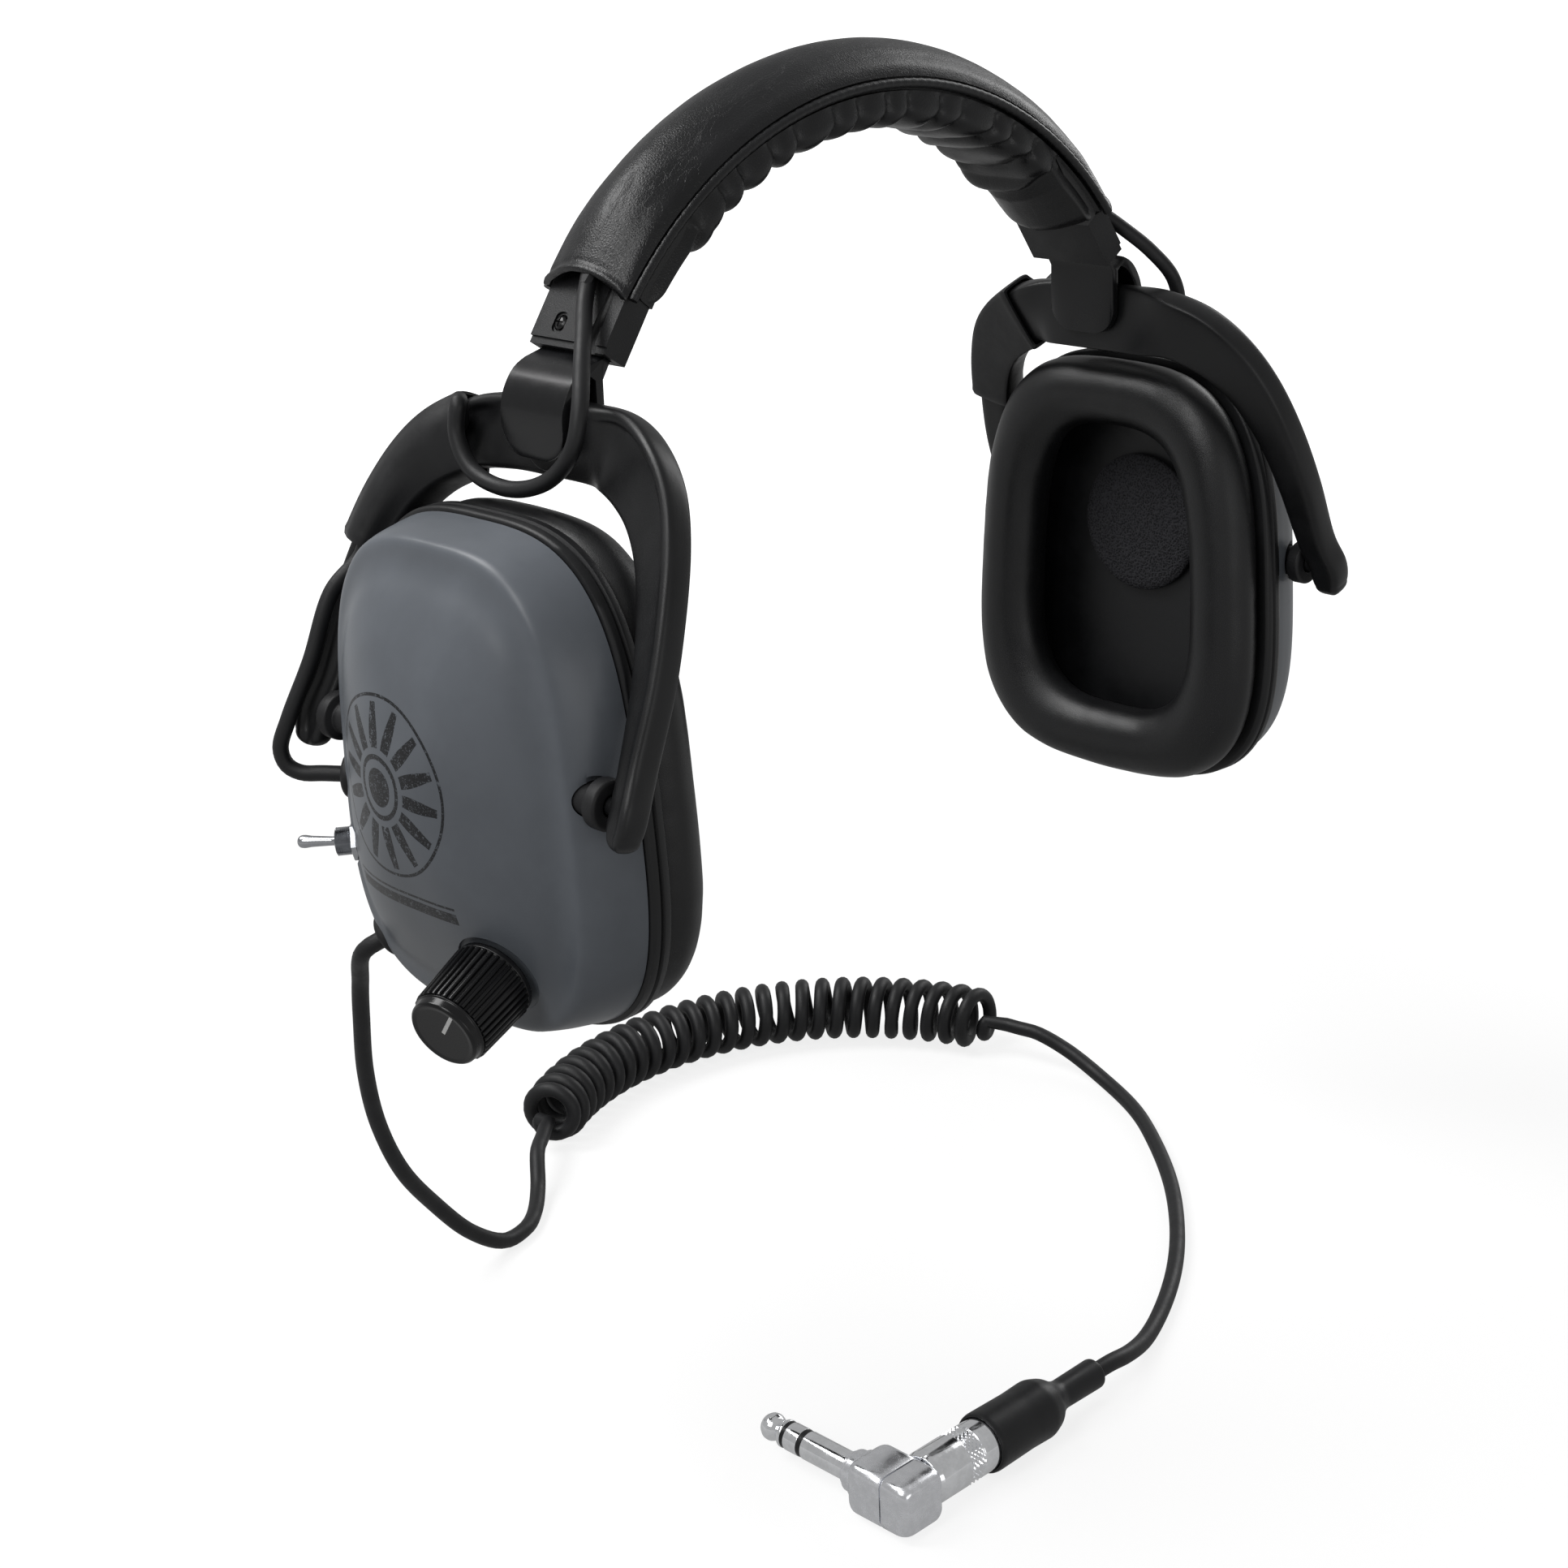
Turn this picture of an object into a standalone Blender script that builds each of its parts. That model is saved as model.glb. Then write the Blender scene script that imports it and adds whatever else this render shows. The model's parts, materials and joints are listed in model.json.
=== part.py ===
"""Wired over-ear headphones: leather-covered headband, two hinged ear cups, a volume knob,
a toggle switch and a coiled lead that ends in a right-angle 6.35 mm stereo plug.

Metres, +Z up. +X is the wearer's left, -Y the wearer's front. The origin is the middle of
the line between the two cups' pivots, where the centre of the head is.
Side pieces are built in (u, y, z), where u points outboard, and are mirrored for each side.
"""

import math

import bpy
import numpy as np
from mathutils import Matrix, Vector
from mathutils.bvhtree import BVHTree

# ---- driving dimensions ---------------------------------------------------------------

SEAT_GAP = 0.0003  # between pieces that touch
RUN_GAP = 0.0004  # between pieces that slide or turn on each other

# ear cup, measured from its pivot axis
CUP_LEAN = math.radians(2.0)  # the top leans outboard
SEAM_INBOARD = 0.009  # pivot axis to the seam between dome and rim
CUP_HALF_WIDTH = 0.0433
CUP_HALF_HEIGHT = 0.0543
CUP_CENTRE_Z = -0.0048
CUP_TAPER = 0.07  # narrower at the top, wider at the bottom
CUP_SQUARENESS = 3.2  # exponent of the outline
CUP_SIDES = 32
RIDGE_DEPTH = 0.012  # depth of the dome's side wall
RIDGE_INSET_Y = 0.0050
RIDGE_INSET_Z = 0.0024
CROWN_HEIGHT = 0.016
DOME_WALL = 0.0024
RIM_THICKNESS = 0.0056
RIM_PROUD = 0.0010
RIM_LAND = 0.0075  # width of the rim's flat ring
RIM_GROOVE = 0.0007
CUSHION_THICKNESS = 0.0135
CUSHION_BAND = 0.0170  # width of the padded ring
CUSHION_DRAW_IN = 0.0022
BAFFLE_THICKNESS = 0.0018
SLOT_WIDTH = 0.0030
SLOT_PITCH = 0.0058
SPEAKER_RADIUS = 0.0180
SPEAKER_DEPTH = 0.0110
SPEAKER_RISE = 0.0100  # above the cup's centre
FOAM_THICKNESS = 0.0030

# stirrup yoke
PIN_INSIDE_BAND = 0.0102  # inboard of the piping's arc, at its widest
PIN_ABOVE_ARC_CENTRE = 0.0324
PIVOT_OUTBOARD_OF_PIN = 0.0292
YOKE_WEB = 0.0050
YOKE_BEAD = 0.0020
YOKE_BEAD_WIDTH = 0.0036
YOKE_EDGE = 0.0008
PIN_RADIUS = 0.0024
FORK_BESIDE_CUP = 0.0079  # from the cup's seam to the middle of each fork tip
FORK_TIP_WIDTH = 0.0084
FORK_TIP_DROP = 0.0070
STUD_RADIUS = 0.0020
BUSH_RADIUS = 0.0054
BUSH_BODY_RADIUS = 0.0040
BUSH_FLANGE = 0.0052
SLEEVE_WALL = 0.0011

# headband
ARC_CENTRE_Z = 0.0306
PIPING_RADIUS_OF_ARC = 0.0980
COVER_HALF_ANGLE = math.radians(51.6)
COVER_HALF_WIDTH = 0.0134
COVER_CROWN = 0.0094  # crown of the cover above the piping
COVER_WALL = 0.0016
COVER_STEPS = 16
PIPING_RADIUS = 0.0012
SPRING_ABOVE_PIPING = 0.0021
SPRING_THICKNESS = 0.0008
SPRING_HALF_WIDTH = 0.0075
SPRING_HALF_ANGLE = math.radians(45.0)
PAD_DEPTH = 0.0085  # below the piping
PAD_HALF_WIDTH = 0.0132
PAD_PLEATS = 14
PLEAT_DEPTH = 0.0026
LINK_CABLE_RADIUS = 0.0013

# slider housing and strap
MOUTH_BELOW_SPRING = 0.0050  # from the spring's arc in to the middle of the housing's mouth
MOUTH_ANGLE = math.radians(59.0)
SLIDE_ANGLE = math.radians(34.0)  # from the vertical
HOUSING_LENGTH = 0.0250
HOUSING_HALF_WIDTH = 0.0120
HOUSING_THICKNESS = 0.0070
STRAP_THICKNESS = 0.0020
STRAP_HALF_WIDTH = 0.0100
STRAP_TAIL = 0.0300
HOOD_THICKNESS = 0.0024
HOOD_DROP = 0.0035  # below the swivel pin
SCREW_RADIUS = 0.0016

# fittings in the right cup
GROMMET_RADIUS = 0.0052
GROMMET_NECK = 0.0036
GROMMET_FLANGE = 0.0026
CABLE_RADIUS = 0.0018
CORD_RADIUS = 0.0020
CABLE_ENTRY = (0.0005, 0.0415, -0.0130)  # near each fitting, from the pivot: (u, y, z)
SWITCH_PLACE = (0.0028, 0.0400, -0.0275)
CORD_ENTRY = (0.0010, 0.0345, -0.0500)
KNOB_PLACE = (0.0095, -0.0165, -0.0410)
KNOB_TURN = math.radians(-12.0)  # towards the front
KNOB_DROOP = math.radians(17.0)
KNOB_RADIUS = 0.0095
KNOB_HEIGHT = 0.0190
KNOB_RIBS = 32
KNOB_RIB_DEPTH = 0.0006
SHAFT_RADIUS = 0.0030
POT_RADIUS = 0.0080
POT_DEPTH = 0.0080
BUSHING_RADIUS = 0.0032
NUT_ACROSS_FLATS = 0.0080
NUT_THICKNESS = 0.0020
LEVER_LENGTH = 0.0115
SWITCH_DEPTH = 0.0045
SWITCH_RADIUS = 0.0040
LEVER_TILT = math.radians(12.5)

# cord and plug
TABLE_Z = -0.160
COIL_RADIUS = 0.0090
COIL_ARC_CENTRE = (0.025, 0.035)
COIL_ARC_RADIUS = 0.0806
COIL_START = math.radians(127.0)
COIL_END = math.radians(12.0)
COIL_TURNS = 28
COIL_POINTS_PER_TURN = 8
PLUG_Y = -0.0885
PLUG_AXIS_X = -0.0840
BOOT_RADIUS = 0.0069
BOOT_NECK_RADIUS = 0.0035
BOOT_MOUTH_X = -0.0205
BOOT_NECK_LENGTH = 0.0140
BOOT_END_X = -0.0590
BARREL_RADIUS = 0.0060
BARREL_LENGTH = 0.0190
PLUG_SHAFT_RADIUS = 0.003175
PLUG_SHAFT_LENGTH = 0.0265
PLUG_BOX = (0.0125, 0.0180, 0.0122)  # along X, Y and Z
PLUG_COLLAR_RADIUS = 0.0047
PLUG_COLLAR_LENGTH = 0.0035

# sizes that follow from the ones above
SPRING_RADIUS = PIPING_RADIUS_OF_ARC + SPRING_ABOVE_PIPING
MOUTH_RADIUS = SPRING_RADIUS - MOUTH_BELOW_SPRING
PIN_U = PIPING_RADIUS_OF_ARC - PIN_INSIDE_BAND
PIN_Z = ARC_CENTRE_Z + PIN_ABOVE_ARC_CENTRE
PIVOT_U = PIN_U + PIVOT_OUTBOARD_OF_PIN
FORK_Y = CUP_HALF_WIDTH + FORK_BESIDE_CUP

RIGHT, LEFT = -1, 1
SIDE_NAMES = {RIGHT: "right", LEFT: "left"}

# ---- scene and materials ---------------------------------------------------------------

for old in list(bpy.data.objects):
    bpy.data.objects.remove(old, do_unlink=True)


def finish(name, colour, roughness, metallic=0.0):
    """A Principled material of one colour."""
    material = bpy.data.materials.new(name)
    material.use_nodes = True
    shader = material.node_tree.nodes["Principled BSDF"]
    shader.inputs["Base Color"].default_value = (*colour, 1.0)
    shader.inputs["Roughness"].default_value = roughness
    shader.inputs["Metallic"].default_value = metallic
    return material


DOME_GREY = finish("dome_grey", (0.105, 0.115, 0.130), 0.38)
BLACK_PLASTIC = finish("black_plastic", (0.012, 0.012, 0.014), 0.42)
KNOB_BLACK = finish("knob_black", (0.008, 0.008, 0.009), 0.25)
LEATHER = finish("black_leather", (0.010, 0.010, 0.011), 0.50)
CUSHION_VINYL = finish("cushion_vinyl", (0.009, 0.009, 0.010), 0.45)
RUBBER = finish("black_rubber", (0.018, 0.018, 0.020), 0.60)
CHROME = finish("chrome", (0.70, 0.70, 0.72), 0.15, 1.0)
SPRING_STEEL = finish("spring_steel", (0.45, 0.45, 0.47), 0.35, 1.0)
FOAM = finish("grey_foam", (0.060, 0.060, 0.065), 0.95)
CONE_PAPER = finish("cone_paper", (0.030, 0.028, 0.025), 0.85)

# ---- mesh tools ------------------------------------------------------------------------


def pivot(name, location, parent=None):
    """An empty on a joint's axis, which carries the pieces that move about it."""
    empty = bpy.data.objects.new(name, None)
    empty.empty_display_size = 0.01
    empty.matrix_world = Matrix.Translation(Vector(location))
    bpy.context.collection.objects.link(empty)
    carry(empty, parent)
    return empty


def carry(piece, parent):
    """Parents a piece where it stands."""
    if parent:
        piece.parent = parent
        bpy.context.view_layer.update()
        piece.matrix_parent_inverse = parent.matrix_world.inverted()


def mesh_piece(name, points, faces, material, parent=None, matrix=None, flip=False):
    """An object from points and faces; flip turns the faces of a mirrored shape round."""
    mesh = bpy.data.meshes.new(name)
    if flip:
        faces = [tuple(reversed(face)) for face in faces]
    mesh.from_pydata([tuple(map(float, point)) for point in points], [], faces)
    mesh.shade_smooth()
    mesh.set_sharp_from_angle(angle=math.radians(35))
    mesh.materials.append(material)
    piece = bpy.data.objects.new(name, mesh)
    bpy.context.collection.objects.link(piece)
    if matrix is not None:
        piece.matrix_world = matrix
    carry(piece, parent)
    return piece


def skin(rings, closed_path=False, caps=True):
    """Points and faces of a surface through rings of equal point counts."""
    count = len(rings[0])
    points = [point for ring in rings for point in ring]
    faces = []
    spans = len(rings) if closed_path else len(rings) - 1
    for i in range(spans):
        a, b = i * count, ((i + 1) % len(rings)) * count
        for k in range(count):
            n = (k + 1) % count
            faces.append((a + k, a + n, b + n, b + k))
    if caps and not closed_path:
        faces.append(tuple(reversed(range(count))))
        faces.append(tuple(range(len(points) - count, len(points))))
    return points, faces


def facing_out(points, faces):
    """The same faces, turned round if they enclose a negative volume."""
    volume = 0.0
    for face in faces:
        first = Vector(points[face[0]])
        for i in range(1, len(face) - 1):
            volume += first.dot(Vector(points[face[i]]).cross(Vector(points[face[i + 1]])))
    return faces if volume > 0 else [tuple(reversed(face)) for face in faces]


def solid(name, rings, material, side=LEFT, closed_path=False, **place):
    """A closed piece through rings given as (u, y, z), mirrored to its side."""
    points, faces = skin(rings, closed_path)
    points = [(side * point[0], point[1], point[2]) for point in points]
    return mesh_piece(name, points, facing_out(points, faces), material, **place)


def turned(profile, steps):
    """Rings about local Z from (radius, z) pairs; the first and last close flat."""
    rings = []
    for radius, z in profile:
        angles = [2 * math.pi * i / steps for i in range(steps)]
        rings.append([(radius * math.cos(a), radius * math.sin(a), z) for a in angles])
    return rings


def bored(profile, bore, steps):
    """Rings of a turned piece with a bore right through it, as one closed path."""
    low, high = profile[0][1], profile[-1][1]
    return turned([*profile, (bore, high), (bore, low)], steps)


def prism(outline, low, high):
    """Rings of an outline in (u, z) extruded along Y."""
    return [[(u, y, z) for u, z in outline] for y in (low, high)]


def cutter(piece, name, rings, matrix=None, operation="DIFFERENCE"):
    """A hidden helper that a Boolean takes from a piece or adds to it."""
    points, faces = skin(rings)
    tool = mesh_piece(name, points, facing_out(points, faces), BLACK_PLASTIC)
    if matrix is not None:
        tool.matrix_world = matrix
    tool.hide_render = True
    tool.display_type = "WIRE"
    carry(tool, piece)
    step = piece.modifiers.new(name, "BOOLEAN")
    step.operation = operation
    step.solver = "EXACT"
    step.object = tool
    return tool


def smooth_route(route, spacing):
    """Points at an even spacing on a smooth curve through a route's own points."""
    route = np.array(route, float)
    knots = np.concatenate([[0], np.cumsum(np.linalg.norm(np.diff(route, axis=0), axis=1) ** 0.5)])
    slopes = np.gradient(route, knots, axis=0)
    fine = []
    for i in range(len(route) - 1):
        width = knots[i + 1] - knots[i]
        for t in np.linspace(0, 1, 24, endpoint=False):
            h = (2 * t**3 - 3 * t**2 + 1, t**3 - 2 * t**2 + t, -2 * t**3 + 3 * t**2, t**3 - t**2)
            fine.append(
                h[0] * route[i] + h[1] * width * slopes[i] + h[2] * route[i + 1] + h[3] * width * slopes[i + 1]
            )
    fine = np.array([*fine, route[-1]])
    along = np.concatenate([[0], np.cumsum(np.linalg.norm(np.diff(fine, axis=0), axis=1))])
    wanted = np.linspace(0, along[-1], max(3, round(along[-1] / spacing)) + 1)
    return np.stack([np.interp(wanted, along, fine[:, k]) for k in range(3)], axis=1)


def tube(name, points, radius, material, resolution=2, parent=None):
    """A round tube along points, with its ends closed."""
    curve = bpy.data.curves.new(name, "CURVE")
    curve.dimensions = "3D"
    curve.bevel_depth = radius
    curve.bevel_resolution = resolution
    curve.use_fill_caps = True
    spline = curve.splines.new("POLY")
    spline.points.add(len(points) - 1)
    for spot, point in zip(spline.points, points):
        spot.co = (*map(float, point), 1.0)
    curve.materials.append(material)
    piece = bpy.data.objects.new(name, curve)
    bpy.context.collection.objects.link(piece)
    carry(piece, parent)
    return piece


def least_self_gap(points, radius, skip):
    """The least gap between parts of a tube that are skip or more points apart."""
    points = np.array(points)
    least = math.inf
    for i in range(len(points) - skip):
        apart = np.linalg.norm(points[i + skip :] - points[i], axis=1)
        least = min(least, float(apart.min()) - 2 * radius)
    return least


# ---- headband --------------------------------------------------------------------------

COVER_EDGE_RADIUS = PIPING_RADIUS_OF_ARC + PIPING_RADIUS + SEAT_GAP
PAD_TOP_RADIUS = PIPING_RADIUS_OF_ARC - PIPING_RADIUS - SEAT_GAP
TANG_RADIUS = SPRING_RADIUS - SPRING_THICKNESS / 2 - SEAT_GAP
COVER_CROWN_RADIUS = PIPING_RADIUS_OF_ARC + COVER_CROWN
LINK_CABLE_ARC = SPRING_RADIUS + SPRING_THICKNESS / 2 + LINK_CABLE_RADIUS + 0.0007


def on_arc(angle, radius, y=0.0):
    """A point of the headband at an angle from the top, positive to the wearer's left."""
    return (radius * math.sin(angle), y, ARC_CENTRE_Z + radius * math.cos(angle))


def arc_rings(half_angle, steps, section):
    """Rings along the headband; section gives (y, radius) pairs at an angle."""
    rings = []
    for i in range(steps + 1):
        angle = half_angle * (2 * i / steps - 1)
        rings.append([on_arc(angle, radius, y) for y, radius in section(angle)])
    return rings


def cover_section(_angle):
    """The leather cover: an arched channel, open towards the head."""
    w, low, rise, t = COVER_HALF_WIDTH, COVER_EDGE_RADIUS, COVER_CROWN_RADIUS - COVER_EDGE_RADIUS, COVER_WALL
    arch = [(1.0, 0.0), (0.985, 0.07), (0.90, 0.30), (0.71, 0.54), (0.45, 0.80)]
    half = [(-w * y, low + rise * r) for y, r in arch]
    outside = [*half, (0, low + rise), *[(-y, r) for y, r in half[::-1]]]
    half = [(w - t, low), (0.90 * w - 0.62 * t, low + rise * 0.30 - 0.8 * t)]
    half += [(0.71 * w - 0.5 * t, low + rise * 0.54 - 0.85 * t), (0.45 * w - 0.3 * t, low + rise * 0.80 - 0.95 * t)]
    return outside + [*half, (0, low + rise - t), *[(-y, r) for y, r in half[::-1]]]


def pad_section(angle):
    """The gathered pad: pinched between pleats at its edges, full between them."""
    phase = (angle / (2 * COVER_HALF_ANGLE) + 0.5) * PAD_PLEATS * math.pi
    pinch = 1 - abs(math.sin(phase)) ** 0.6
    w = PAD_HALF_WIDTH - 0.35 * PLEAT_DEPTH * pinch
    low = PIPING_RADIUS_OF_ARC - PAD_DEPTH
    over_strap = abs(angle) > SPRING_HALF_ANGLE - math.radians(7)
    face = (MOUTH_RADIUS * math.cos(MOUTH_ANGLE - FACE_ANGLE) - HOUSING_THICKNESS / 2) / math.cos(abs(angle) - FACE_ANGLE)
    top = face - 0.0005 if over_strap else SPRING_RADIUS - SPRING_THICKNESS / 2 - SEAT_GAP
    neck = COVER_HALF_WIDTH - COVER_WALL - SEAT_GAP
    shoulder = min(top, PAD_TOP_RADIUS) - 0.0002
    half = [(neck, top), (neck, shoulder), (w, shoulder - 0.0015)]
    half += [(w, low + 0.0012 + 0.7 * PLEAT_DEPTH * pinch), (0.62 * w, low + 0.0004 + 0.5 * PLEAT_DEPTH * pinch)]
    return [(-y, radius) for y, radius in half] + [(0, low + 0.3 * PLEAT_DEPTH * pinch)] + half[::-1]


FACE_ANGLE = math.radians(90.0) - SLIDE_ANGLE  # where the housing lies square to the band's radius


def spring_section(_angle):
    """The steel strip, flat across the band."""
    half, inner, outer = SPRING_HALF_WIDTH, SPRING_RADIUS - SPRING_THICKNESS / 2, SPRING_RADIUS + SPRING_THICKNESS / 2
    return [(-half, inner), (half, inner), (half, outer), (-half, outer)]


def build_headband():
    """The steel strip with its cover, pad, piping and the cable that links the cups."""
    root = pivot("headband_frame", (0, 0, 0))
    solid("headband_spring", arc_rings(SPRING_HALF_ANGLE, COVER_STEPS, spring_section), SPRING_STEEL, parent=root)
    solid("headband_cover", arc_rings(COVER_HALF_ANGLE, COVER_STEPS, cover_section), LEATHER, parent=root)
    pad_angle = COVER_HALF_ANGLE - math.radians(1.0)
    solid("headband_pad", arc_rings(pad_angle, 3 * PAD_PLEATS, pad_section), LEATHER, parent=root)
    steps = [COVER_HALF_ANGLE * (2 * i / COVER_STEPS - 1) for i in range(COVER_STEPS + 1)]
    for name, y in (("front", -1), ("rear", 1)):
        points = [on_arc(a, PIPING_RADIUS_OF_ARC, y * (COVER_HALF_WIDTH + SEAT_GAP)) for a in steps]
        tube(f"piping_{name}", points, PIPING_RADIUS, LEATHER, resolution=1, parent=root)
    points = [on_arc(a, LINK_CABLE_ARC, CABLE_HEM_Y) for a in steps]
    tube("link_cable", points, LINK_CABLE_RADIUS, RUBBER, resolution=1, parent=root)
    return root


# ---- slider housing and strap ------------------------------------------------------------

CABLE_HEM_Y = -0.0030
DOWN = Vector((math.sin(SLIDE_ANGLE), 0, -math.cos(SLIDE_ANGLE)))  # the way the strap slides out
OUT = Vector((math.cos(SLIDE_ANGLE), 0, math.sin(SLIDE_ANGLE)))  # square to the housing's face
MOUTH = Vector(on_arc(MOUTH_ANGLE, MOUTH_RADIUS))


def housing_outline():
    """The housing's side view in (u, z): a flat block whose tang follows the band."""
    half = HOUSING_THICKNESS / 2
    low_out, low_in = MOUTH + half * OUT, MOUTH - half * OUT
    tang = MOUTH - HOUSING_LENGTH * DOWN
    turn = math.atan2(tang.x, tang.z - ARC_CENTRE_Z)
    points = [low_in, low_out, low_out - 0.6 * HOUSING_LENGTH * DOWN]
    for share in (0.45, 0.0):
        points.append(Vector(on_arc(turn + share * (MOUTH_ANGLE - turn), TANG_RADIUS)))
    points += [MOUTH - HOUSING_LENGTH * DOWN - 0.5 * half * OUT, low_in - 0.62 * HOUSING_LENGTH * DOWN]
    return [(point.x, point.z) for point in points]


def along_strap(side):
    """Local X outboard from the strap, local Y across it, local Z up the strap."""
    turn = Matrix.Rotation(-SLIDE_ANGLE, 4, "Y")
    mirror = Matrix.Rotation(math.pi, 4, "Z") if side == RIGHT else Matrix.Identity(4)
    return mirror @ Matrix.Translation(MOUTH) @ turn


def build_housing(side, root):
    """The moulded housing at a band end, slotted for the strap, with its screw."""
    name = SIDE_NAMES[side]
    rings = prism(housing_outline(), -HOUSING_HALF_WIDTH, HOUSING_HALF_WIDTH)
    housing = solid(f"slider_housing_{name}", rings, BLACK_PLASTIC, side, parent=root)
    wide, thick = STRAP_HALF_WIDTH + RUN_GAP, STRAP_THICKNESS / 2 + RUN_GAP
    section = [(-thick, -wide), (thick, -wide), (thick, wide), (-thick, wide)]
    slot = [[(x, y, z) for x, y in section] for z in (-0.01, HOUSING_LENGTH + 0.01)]
    cutter(housing, f"strap_slot_{name}", slot, along_strap(side))
    face = HOUSING_THICKNESS / 2
    at = along_strap(side) @ Matrix.Translation((face, 0.001, 0.006)) @ Matrix.Rotation(math.pi / 2, 4, "Y")
    hole = turned([(0.0010 + SEAT_GAP, -0.0016), (0.0010 + SEAT_GAP, 0.001)], 10)
    cutter(housing, f"screw_hole_{name}", hole, at)
    shank = [(0.0010, -0.0013), (0.0010, SEAT_GAP), (SCREW_RADIUS, SEAT_GAP), (SCREW_RADIUS, 0.0007), (0.0009, 0.0010)]
    screw = turned(shank, 10)
    solid(f"housing_screw_{name}", screw, BLACK_PLASTIC, parent=root, matrix=at)


def thick_line(points, thickness):
    """Both sides of a line in (u, z), offset by half a thickness: (left side, right side)."""
    points = np.array(points, float)
    way = np.gradient(points, axis=0)
    way /= np.linalg.norm(way, axis=1)[:, None]
    normal = np.stack([-way[:, 1], way[:, 0]], axis=1) * thickness / 2
    return points + normal, points - normal


def strap_outline():
    """The strap in (u, z): a flat tail, an outer hood and an inner leaf that hold the yoke."""
    hood_u = PIN_U + YOKE_WEB / 2 + YOKE_BOSS + RUN_GAP + HOOD_THICKNESS / 2
    leaf_u = PIN_U - YOKE_WEB / 2 - RUN_GAP - STRAP_THICKNESS / 2
    low = PIN_Z - HOOD_DROP
    half = STRAP_THICKNESS / 2
    tail = MOUTH - STRAP_TAIL * DOWN
    hood = [(hood_u - 0.0078, PIN_Z + 0.0152), (hood_u - 0.0038, PIN_Z + 0.0132), (hood_u - 0.0012, PIN_Z + 0.0098)]
    hood += [(hood_u - 0.0001, PIN_Z + 0.0055), (hood_u, low)]
    outer, inner = thick_line(hood, HOOD_THICKNESS)
    top_out, top_in = tail + half * OUT, tail - half * OUT
    root_out = MOUTH + half * OUT + 0.0002 * DOWN
    root_in = MOUTH - half * OUT + 0.0010 * DOWN
    points = [(top_in.x, top_in.z), (top_out.x, top_out.z), (root_out.x, root_out.z)]
    points += [tuple(point) for point in outer[1:]]
    points += [tuple(point) for point in inner[:0:-1]]
    points += [(leaf_u + half, PIN_Z + 0.0126), (leaf_u + half, low), (leaf_u - half, low)]
    points += [(leaf_u - half, PIN_Z + 0.0125), (root_in.x, root_in.z)]
    return points


YOKE_BOSS = 0.0014  # the disc on the crossbar that the hood bears on


def build_strap(side, root):
    """The sliding strap and the pin through its hood, crossbar and leaf."""
    name = SIDE_NAMES[side]
    mover = pivot(f"slider_{name}", (side * MOUTH.x, 0, MOUTH.z), root)
    rings = prism(strap_outline(), -STRAP_HALF_WIDTH, STRAP_HALF_WIDTH)
    strap = solid(f"slider_strap_{name}", rings, BLACK_PLASTIC, side, parent=mover)
    outer = PIN_U + YOKE_WEB / 2 + YOKE_BOSS + RUN_GAP + HOOD_THICKNESS
    inner = PIN_U - YOKE_WEB / 2 - RUN_GAP - STRAP_THICKNESS
    at = Matrix.Translation((0, 0, PIN_Z)) @ Matrix.Rotation(side * math.pi / 2, 4, "Y")
    hole = turned([(PIN_RADIUS + SEAT_GAP, inner - 0.002), (PIN_RADIUS + SEAT_GAP, outer - 0.0010)], 16)
    cutter(strap, f"pin_hole_{name}", hole, at)
    pin = turned([(PIN_RADIUS, inner + 0.0002), (PIN_RADIUS, outer - 0.0013)], 16)
    solid(f"swivel_pin_{name}", pin, SPRING_STEEL, matrix=at, parent=mover)
    return mover


# ---- yoke --------------------------------------------------------------------------------

# Stations along half of the stirrup: u, y, z of the web's middle, its width, and its bead's share.
YOKE_STATIONS = (
    (PIN_U, 0.0, PIN_Z, 0.0170, 0.0),
    (PIN_U + 0.0002, 0.0125, PIN_Z, 0.0172, 0.0),
    (PIN_U + 0.0012, 0.0215, PIN_Z - 0.0006, 0.0176, 0.7),
    (PIN_U + 0.0034, FORK_Y - 0.0212, PIN_Z - 0.0036, 0.0172, 1.0),
    (PIN_U + 0.0062, FORK_Y - 0.0140, PIN_Z - 0.0090, 0.0156, 1.0),
    (PIN_U + 0.0100, FORK_Y - 0.0085, PIN_Z - 0.0170, 0.0132, 1.0),
    (PIN_U + 0.0146, FORK_Y - 0.0046, PIN_Z - 0.0280, 0.0112, 1.0),
    (PIN_U + 0.0196, FORK_Y - 0.0022, PIN_Z - 0.0410, 0.0098, 1.0),
    (PIN_U + 0.0254, FORK_Y - 0.0012, 0.0075, 0.0084, 1.0),
    (PIVOT_U, FORK_Y, 0.0, FORK_TIP_WIDTH, 1.0),
    (PIVOT_U + 0.0016, FORK_Y, -0.62 * FORK_TIP_DROP, 0.9 * FORK_TIP_WIDTH, 0.8),
    (PIVOT_U + 0.0024, FORK_Y, -FORK_TIP_DROP, 0.5 * FORK_TIP_WIDTH, 0.5),
)
REAR_TRIM = (0.0, 0.0006, 0.0020, 0.0030, 0.0030, 0.0026, 0.0018, 0.0008, 0.0, 0.0, 0.0, 0.0)
FORK_INNER_Y = FORK_Y - FORK_TIP_WIDTH / 2
CABLE_SEAT = YOKE_BEAD_WIDTH + CABLE_RADIUS + 0.0004  # the cable's middle from the web's outer edge


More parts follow.
